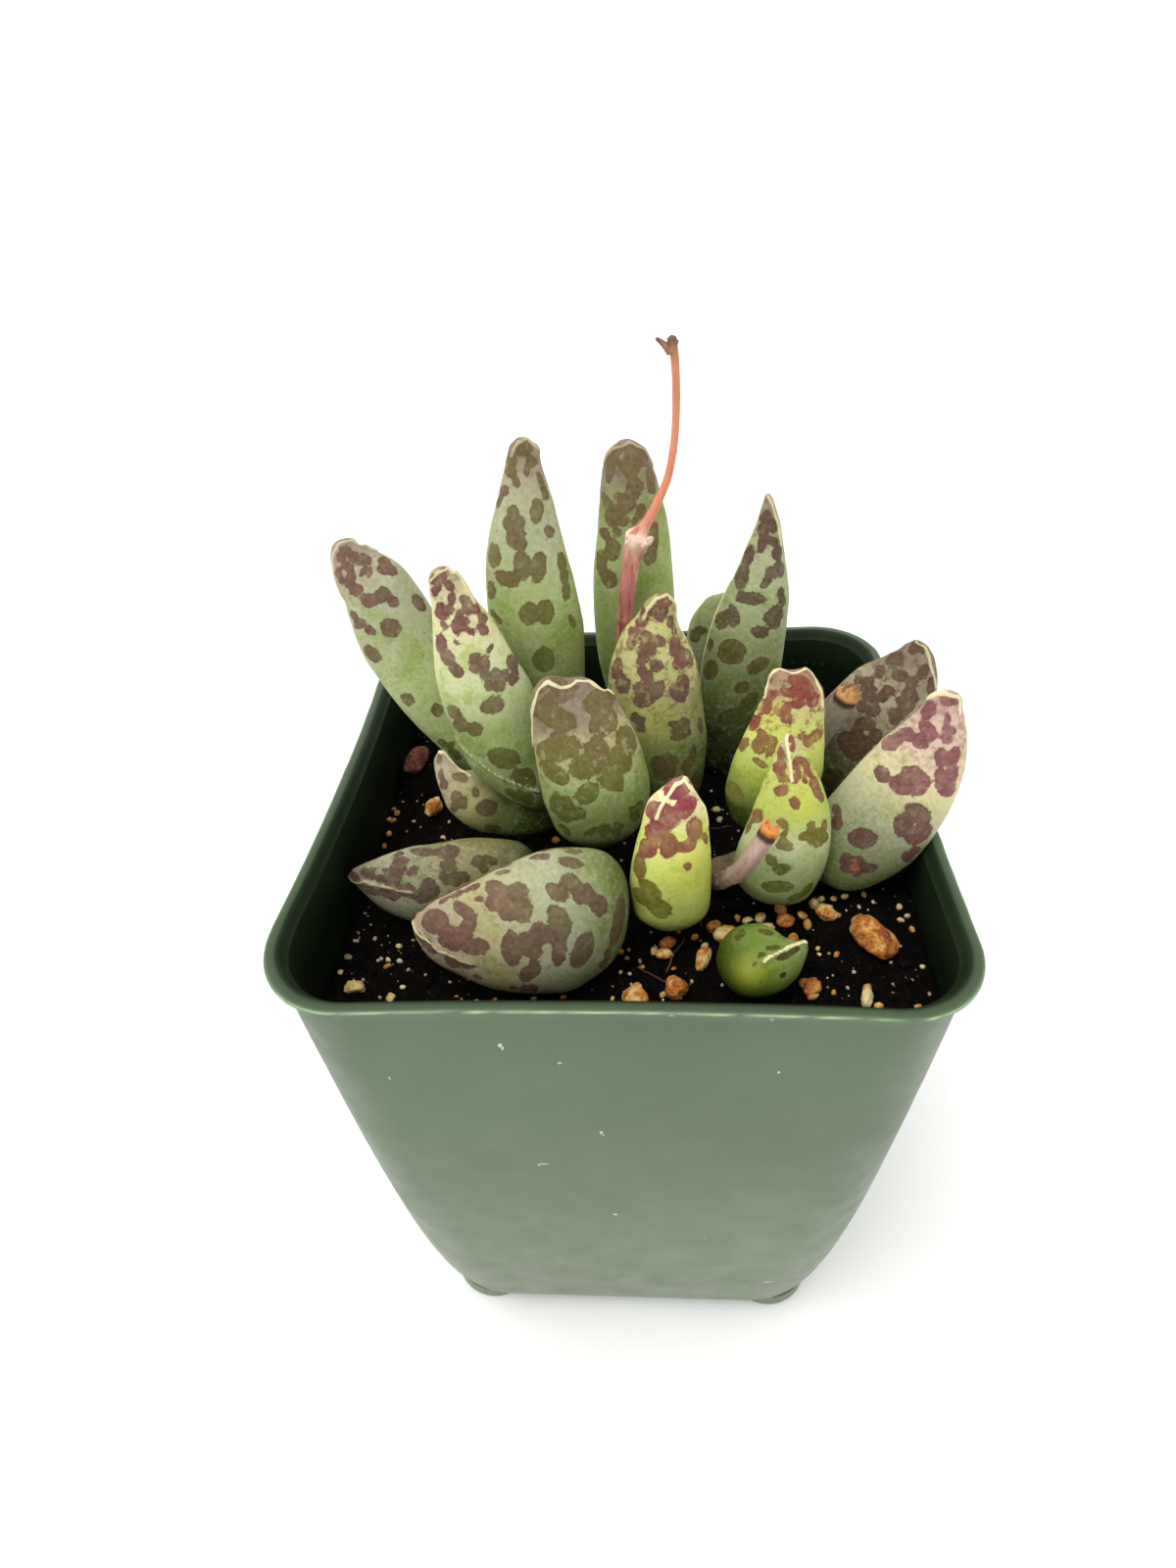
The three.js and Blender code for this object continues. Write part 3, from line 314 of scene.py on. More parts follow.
# ---------------------------------------------------------------- tables, millimetres about the pot's axis
# A leaf: (rounded share at base, at tip, sections), each section centre, width direction, half-width, half-thickness.
LEAVES = {
    "leaf_far_left": (0.12, 0.04, [
        [-10.09, 4.5, 64.48, 0.6, 0.5, 0.62, 1.21, 0.9],
        [-13.41, 5.25, 67.09, 0.75, 0.43, 0.5, 2.45, 1.75],
        [-17, 6, 73.57, 0.81, 0.39, 0.44, 4.15, 2.71],
        [-20.08, 6.75, 78.12, 0.81, 0.39, 0.44, 4.38, 2.65],
        [-23.05, 7.5, 83.46, 0.86, 0.37, 0.34, 4.39, 2.3],
        [-25.06, 8.25, 89.08, 0.86, 0.37, 0.34, 3.79, 1.67],
        [-27.14, 9, 92.06, 0.84, 0.38, 0.37, 2.49, 0.97],
        [-27.69, 9.75, 93.5, 0.98, 0.16, 0.06, 1.73, 0.63],
        [-27.52, 10.5, 94.27, 0.99, -0.08, -0.15, 0.83, 0.29],
    ]),
    "leaf_left": (0.1, 0.03, [
        [-6.28, -0.6, 67.56, 0.67, 0.45, 0.59, 1.49, 1.19],
        [-8.12, -0.31, 69.41, 0.71, 0.43, 0.56, 2.48, 1.9],
        [-9.98, -0.02, 71.84, 0.82, 0.32, 0.47, 3.67, 2.66],
        [-11.94, 0.27, 75.63, 0.91, 0.24, 0.33, 4.69, 3.14],
        [-13.28, 0.56, 80.49, 0.95, 0.19, 0.25, 4.62, 2.78],
        [-14.42, 0.84, 84.56, 0.96, 0.18, 0.22, 4.05, 2.09],
        [-15.22, 1.13, 88.45, 0.96, 0.22, 0.19, 3.18, 1.4],
        [-15.96, 1.42, 91.62, 0.97, 0.14, 0.21, 2.14, 0.8],
        [-16.57, 1.71, 94.43, 0.97, 0.2, 0.12, 1.29, 0.41],
        [-16.51, 2, 95.19, 0.99, 0.08, -0.11, 0.8, 0.24],
    ]),
    "leaf_tall_left": (0.1, 0.03, [
        [-4.6, 6, 64.4, 0.94, 0.14, 0.31, 1.03, 0.83],
        [-6.01, 6.35, 68.54, 0.96, 0.12, 0.25, 1.91, 1.45],
        [-7.48, 6.7, 74.99, 0.97, 0.11, 0.21, 3.42, 2.37],
        [-8.47, 7.05, 79.82, 0.99, 0.09, 0.13, 4.49, 2.89],
        [-8.85, 7.4, 85.1, 0.99, 0.08, 0.06, 4.87, 2.89],
        [-9.13, 7.75, 89.74, 1, 0.05, 0.04, 4.54, 2.48],
        [-9.23, 8.1, 94.4, 1, 0.05, -0.01, 3.79, 1.9],
        [-9.12, 8.45, 98.51, 1, 0.07, -0.04, 2.84, 1.31],
        [-8.99, 8.8, 102.13, 0.99, 0.07, -0.09, 1.72, 0.73],
        [-8.67, 9.15, 104.13, 0.98, 0.03, -0.22, 1.24, 0.5],
        [-8.49, 9.5, 104.46, 0.94, -0.21, -0.29, 0.69, 0.28],
    ]),
    "leaf_tall_middle": (0.1, 0.035, [
        [2.4, 13.5, 63.34, 1, 0.05, -0.01, 1.38, 1.11],
        [2.42, 13.59, 67.43, 1, 0.02, 0.06, 2.54, 1.92],
        [1.87, 13.68, 72.26, 1, 0.02, 0.09, 3.62, 2.57],
        [1.47, 13.77, 78.28, 1, 0.03, 0.05, 4.28, 2.77],
        [1.26, 13.86, 83.98, 1, 0.05, 0.02, 4.41, 2.62],
        [1.21, 13.94, 88.63, 1, 0.05, 0.01, 4.19, 2.39],
        [1.17, 14.03, 93.58, 1, 0.05, 0.04, 3.66, 1.99],
        [0.87, 14.12, 97.74, 1, 0.05, 0.07, 2.92, 1.53],
        [0.67, 14.21, 100.82, 0.99, 0.08, 0.06, 2.14, 1.09],
        [0.56, 14.3, 102.39, 0.99, 0.08, 0.07, 1.2, 0.6],
    ]),
    "leaf_middle": (0.1, 0.03, [
        [5.34, 1.5, 63.78, 0.99, 0.09, 0.06, 1.88, 1.51],
        [5.09, 1.89, 67.34, 0.99, 0.1, 0.09, 3.37, 2.54],
        [4.57, 2.28, 71.17, 0.99, 0.09, 0.13, 4.42, 3.1],
        [3.97, 2.67, 75.49, 0.99, 0.06, 0.13, 4.89, 3.15],
        [3.45, 3.06, 79.36, 0.99, 0.06, 0.08, 4.89, 2.86],
        [3.3, 3.44, 82.94, 1, 0.05, 0.01, 4.45, 2.34],
        [3.35, 3.83, 86.1, 0.99, 0.08, -0.09, 3.45, 1.64],
        [3.73, 4.22, 88.15, 0.97, 0.06, -0.23, 2.05, 0.91],
        [4.26, 4.61, 90.1, 0.95, 0.03, -0.32, 1.03, 0.42],
        [4.45, 5, 90.37, 0.92, -0.29, -0.25, 0.44, 0.17],
    ]),
    "leaf_front_middle": (0.14, 0.07, [
        [-2.14, -6, 66.94, 1, 0.06, 0.07, 2.47, 1.86],
        [-2.39, -5.64, 70.46, 1, 0.05, 0.06, 4.7, 3.27],
        [-2.62, -5.29, 74.22, 0.99, 0.06, 0.09, 5.45, 3.47],
        [-3.02, -4.93, 77.02, 0.98, 0.09, 0.16, 5.37, 3.15],
        [-3.6, -4.57, 79.79, 0.97, 0.1, 0.2, 5, 2.42],
        [-4.17, -4.21, 82.24, 0.98, 0.1, 0.19, 4.37, 1.72],
        [-4.6, -3.86, 84.56, 0.99, 0.11, 0.04, 3.53, 1.09],
        [-4.39, -3.5, 86.16, 0.99, 0.07, -0.14, 2.43, 0.61],
    ]),
    "leaf_low_left": (0.15, 0.04, [
        [-7.28, 0.52, 64.8, 0.11, 0.61, 0.78, 1.55, 1.24],
        [-10.73, 0.88, 65, 0.13, 0.63, 0.77, 2.26, 1.68],
        [-13.43, 0.78, 65.6, 0.25, 0.64, 0.72, 2.57, 1.79],
        [-15.52, 0.02, 67.4, 0.5, 0.59, 0.63, 2.93, 1.88],
        [-17.23, -0.1, 69.4, 0.67, 0.49, 0.56, 2.73, 1.53],
        [-18.76, 0.31, 71, 0.8, 0.4, 0.45, 1.55, 0.76],
        [-19.55, 1.33, 72.3, 0.95, 0.24, 0.21, 0.93, 0.41],
        [-19.69, 2.04, 73.3, 0.99, 0.13, 0.04, 0.45, 0.18],
    ]),
    "leaf_lying_left_back": (0.1, 0.03, [
        [-8.99, -7.11, 65.5, 0, 0.27, 0.96, 1.85, 1.48],
        [-11.92, -8.9, 66, -0.01, 0.26, 0.96, 3.36, 2.57],
        [-16.3, -10.45, 66.3, -0.05, 0.29, 0.96, 4.32, 3.11],
        [-20.12, -11.32, 66.3, -0.04, 0.32, 0.95, 4.32, 2.87],
        [-23.65, -11.27, 66.3, 0.04, 0.33, 0.94, 3.35, 1.99],
        [-26.3, -10.64, 66.3, 0.08, 0.31, 0.95, 1.85, 1],
        [-28.31, -10, 66.3, 0.08, 0.26, 0.96, 0.43, 0.22],
    ]),
    "leaf_lying_left_front": (0.1, 0.04, [
        [-0.11, -13.77, 67.5, 0.07, 0.33, 0.94, 1.58, 0.79],
        [-0.97, -15, 68, 0.03, 0.26, 0.97, 5, 2.53],
        [-3.14, -17.17, 68.5, -0.04, 0.25, 0.97, 6.85, 3.56],
        [-5.91, -18.73, 68.8, -0.1, 0.28, 0.96, 7.42, 3.96],
        [-9.08, -19.69, 68.6, -0.18, 0.3, 0.94, 6.8, 3.72],
        [-12.13, -19.91, 68, -0.2, 0.33, 0.92, 5.8, 3.01],
        [-15.4, -19.1, 67, -0.19, 0.34, 0.92, 4.47, 2.12],
        [-18.2, -17.98, 66, -0.12, 0.31, 0.94, 3.06, 1.32],
        [-20.17, -16.39, 65.5, -0.1, 0.18, 0.98, 1.39, 0.56],
    ]),
    "leaf_front_small": (0.14, 0.04, [
        [5.02, -14.8, 63.94, 1, 0.09, 0, 2.45, 1.84],
        [4.99, -14.4, 66.94, 1, 0.1, 0, 3.76, 2.78],
        [4.91, -14, 69.84, 1, 0.05, -0.02, 3.92, 2.86],
        [5.07, -13.6, 73.09, 1, 0.03, -0.06, 3.67, 2.54],
        [5.22, -13.2, 75.71, 1, 0.04, -0.06, 3.24, 1.92],
        [5.33, -12.8, 78.13, 0.99, 0.03, -0.11, 2.71, 1.35],
        [5.63, -12.4, 79.67, 0.96, -0.03, -0.27, 1.42, 0.66],
        [6.05, -12, 80.75, 0.92, -0.08, -0.38, 0.5, 0.22],
    ]),
    "leaf_tall_right": (0.1, 0.02, [
        [12.51, 8.5, 63.63, 1, 0.03, 0.07, 1.39, 1.11],
        [12.27, 9.11, 66.88, 1, 0, 0, 2.64, 1.99],
        [12.49, 9.72, 70.99, 1, 0.01, -0.06, 3.75, 2.62],
        [12.72, 10.33, 74.81, 1, -0.01, -0.08, 4.19, 2.71],
        [13.07, 10.94, 77.97, 0.99, 0.02, -0.13, 4.39, 2.64],
        [13.62, 11.56, 82.06, 0.99, 0.03, -0.16, 4.19, 2.31],
        [14.31, 12.17, 85.87, 0.99, 0.03, -0.16, 3.54, 1.79],
        [14.78, 12.78, 89.53, 0.99, 0.03, -0.11, 2.5, 1.2],
        [15.08, 13.39, 93.05, 1, 0.04, -0.06, 1.4, 0.64],
        [15.02, 13.95, 95.3, 1, 0.09, -0.03, 0.68, 0.33],
        [14.9, 14.2, 96.5, 1, 0.09, -0.03, 0.26, 0.16],
    ]),
    "leaf_back_right": (0.12, 0.08, [
        [10.76, 18, 65.22, 1, -0.02, -0.01, 1.11, 0.88],
        [10.8, 18.2, 68.9, 1, -0.03, 0, 2.84, 1.92],
        [10.73, 18.4, 73.97, 1, -0.07, -0.02, 3.63, 1.84],
        [11.02, 18.6, 78.32, 0.99, -0.06, -0.1, 3.54, 1.61],
        [11.52, 18.8, 81.22, 0.97, 0.01, -0.23, 2.59, 1.09],
        [12.11, 19, 82.97, 0.93, 0.14, -0.33, 1.14, 0.45],
    ]),
    "leaf_right_wavy": (0.12, 0.04, [
        [14.39, -4.2, 66.51, 0.99, -0.01, -0.14, 1.87, 1.5],
        [14.78, -3.61, 69.08, 0.99, 0.01, -0.17, 3.69, 2.69],
        [15.25, -3.03, 71.59, 0.98, -0.03, -0.21, 4.57, 3.01],
        [15.91, -2.44, 74.16, 0.98, -0.04, -0.2, 4.63, 2.72],
        [16.39, -1.85, 76.84, 0.99, -0.03, -0.15, 4.23, 2.17],
        [16.73, -1.26, 79.32, 0.99, -0.02, -0.13, 3.59, 1.59],
        [17.06, -0.67, 81.8, 1, 0, -0.03, 2.97, 1.11],
        [16.84, -0.09, 83.37, 1, 0.07, 0.06, 2.41, 0.79],
        [16.82, 0.5, 84.29, 1, 0.05, -0.01, 1.55, 0.46],
    ]),
    "leaf_right_front": (0.14, 0.03, [
        [13.88, -12, 65.29, 0.92, -0.02, -0.39, 3.44, 2.41],
        [14.96, -11.5, 67.82, 0.94, 0.01, -0.34, 4.32, 2.83],
        [15.83, -11, 70.68, 0.98, 0.03, -0.21, 4.45, 2.7],
        [16.21, -10.5, 73.93, 1, 0.07, -0.07, 4.04, 2.24],
        [16.2, -10, 76.76, 1, 0.08, 0.01, 3.33, 1.74],
        [16.06, -9.5, 78.97, 1, 0.09, 0.04, 2.48, 1.23],
        [15.94, -9, 80.95, 0.99, 0.11, 0.1, 1.54, 0.73],
        [15.54, -8.5, 83.16, 0.97, 0.2, 0.13, 0.37, 0.17],
    ]),
    "leaf_leaning_right_back": (0.1, 0.03, [
        [20.57, 4.2, 64.44, 0.88, -0.36, -0.31, 1.46, 1.02],
        [21.9, 4.53, 67.8, 0.86, -0.36, -0.36, 3.57, 2.26],
        [23.52, 4.86, 70.9, 0.81, -0.37, -0.45, 4.68, 2.68],
        [25.52, 5.19, 73.75, 0.79, -0.37, -0.5, 4.87, 2.48],
        [27.53, 5.51, 76.77, 0.8, -0.35, -0.49, 4.63, 2.18],
        [29.31, 5.84, 79.49, 0.86, -0.31, -0.4, 3.86, 1.71],
        [30.13, 6.17, 81.9, 0.96, -0.22, -0.18, 2.33, 0.97],
        [30.3, 6.5, 83.91, 0.99, -0.13, -0.06, 0.74, 0.3],
    ]),
    "leaf_leaning_right_front": (0.1, 0.03, [
        [19.78, -8.71, 65.1, 0.61, -0.47, -0.64, 1.15, 0.86],
        [21.15, -8.74, 66.53, 0.65, -0.49, -0.59, 3.14, 2.26],
        [22.75, -8.76, 68.6, 0.74, -0.46, -0.5, 4.34, 2.94],
        [24.7, -8.67, 71.8, 0.81, -0.4, -0.43, 5.09, 3.14],
        [26.62, -8.49, 75.72, 0.87, -0.33, -0.36, 4.88, 2.66],
        [27.99, -8.32, 79.49, 0.91, -0.3, -0.27, 4.17, 2.07],
        [28.83, -8.15, 82.76, 0.95, -0.27, -0.17, 2.97, 1.35],
        [29.19, -7.98, 85.76, 0.97, -0.22, -0.09, 1.52, 0.64],
        [29.32, -7.8, 87.11, 0.99, -0.08, -0.09, 0.59, 0.23],
    ]),
    "leaf_bud": (0.37, 0.04, [
        [9.05, -21.85, 66.6, -0.12, 0.61, 0.78, 3.26, 2.95],
        [10.9, -21.6, 66.7, -0.1, 0.62, 0.78, 3.3, 2.98],
        [12.6, -21.5, 66.8, -0.08, 0.62, 0.78, 3.32, 2.92],
        [14.2, -21.45, 66.85, -0.1, 0.61, 0.78, 2.95, 2.45],
        [15.4, -21.2, 66.95, -0.25, 0.56, 0.77, 2.2, 1.7],
        [16.4, -20.7, 67.15, -0.45, 0.42, 0.78, 1.28, 0.92],
        [17.35, -19.9, 67.4, -0.62, 0.32, 0.7, 0.3, 0.19],
    ]),
}
# Stems and stalks: x, y, z, radius along the middle line.
STEMS = {
    "main_stem": [(-3.3, 0.6, 62.3, 2.3), (-3.4, 0.8, 64, 2.2), (-3.2, 1.2, 66.5, 2), (-3.5, 1.6, 69, 1.8), (-3.6, 1.8, 71, 1.2)],
    "side_stem": [(8.6, -8.6, 64.6, 1.3), (10.6, -7.8, 65, 1.6), (13, -7.2, 65.3, 1.6), (15.5, -6.6, 65.4, 1.4), (17.6, -6.2, 65.5, 1)],
    "back_stem": [(6.9, 12.6, 62.9, 2), (6.8, 12.8, 64.2, 1.9), (6.9, 13.2, 66, 1.2)],
    "old_flower_stalk": [(-2.2, 4.6, 64, 0.6), (-1.5, 6.2, 67.2, 0.65), (-0.28, 8.2, 71.51, 0.7), (-0.17, 8.6, 77.2, 0.76), (0.13, 9, 81.94, 0.8), (0.51, 9.3, 86.5, 0.84), (0.98, 9.5, 90.86, 0.88), (1.51, 9.6, 93.27, 1.1), (1.8, 9.6, 94.2, 1.16), (2.08, 9.6, 94.72, 0.68), (2.89, 9.6, 96.04, 0.5), (3.93, 9.6, 98.23, 0.43), (4.76, 9.6, 100.45, 0.38), (5.28, 9.6, 103.71, 0.36), (5.4, 9.6, 107.28, 0.36), (5.26, 9.6, 110.68, 0.38), (4.89, 9.6, 112.98, 0.45)],
    "cut_stalk_back": [(17.6, 1.6, 66.4, 0.8), (18.9, 2.3, 69.2, 0.95), (19.63, 2.4, 71.66, 1.05), (20.46, 2.5, 73.81, 1.1), (21.19, 2.2, 76.07, 1.15), (22.17, 1.9, 78.5, 1.2), (23.01, 1.6, 80.86, 1.2)],
    "cut_stalk_front": [(9.19, -11, 66.62, 0.9), (9.92, -12.4, 68.15, 0.88), (10.76, -14, 70.27, 0.85), (11.48, -15.2, 72.35, 0.85), (12.27, -15.8, 74.67, 0.85), (13.06, -15.7, 76.28, 0.85), (13.85, -15.3, 77.82, 0.85)],
}
# Stones: x, y, half-length, half-width, half-height, turn in degrees, seed.
STONES = {
    "stone_big": (24.0, -17.3, 3.2, 2.0, 1.6, -62, 1),
    "stone_under_leaf": (20.4, -13.4, 1.3, 0.95, 0.8, -30, 2),
    "stone_front_tan": (10.3, -15.6, 1.3, 1.15, 1.0, -15, 3),
    "stone_long_pale": (14.2, -15.1, 1.45, 0.75, 0.7, 20, 4),
    "stone_thin_upright": (8.1, -18.2, 1.75, 0.75, 0.7, 72, 5),
    "stone_small_yellow": (4.2, -17.4, 0.95, 0.75, 0.65, 10, 6),
    "stone_front_left": (1.5, -23.2, 1.75, 1.35, 1.2, 80, 7),
    "stone_front_orange": (5.4, -22.1, 1.4, 1.25, 1.15, -60, 8),
    "stone_orange_right": (16.3, -13.9, 1.0, 0.9, 0.7, 0, 9),
    "stone_by_bud": (17.8, -22.5, 1.15, 0.9, 0.8, 60, 10),
    "stone_edge_pointed": (22.5, -23.9, 1.3, 0.65, 0.6, 75, 11),
    "stone_back_red": (-26.4, 14.6, 2.9, 1.45, 1.35, 76, 12),
    "stone_left_tan": (-22.8, 5.9, 1.8, 1.15, 1.0, 75, 13),
    "stone_left_corner": (-26.0, -20.9, 1.15, 0.8, 0.75, 10, 14),
    "stone_behind_bud": (12.0, -17.4, 1.0, 0.85, 0.7, 35, 15),
}
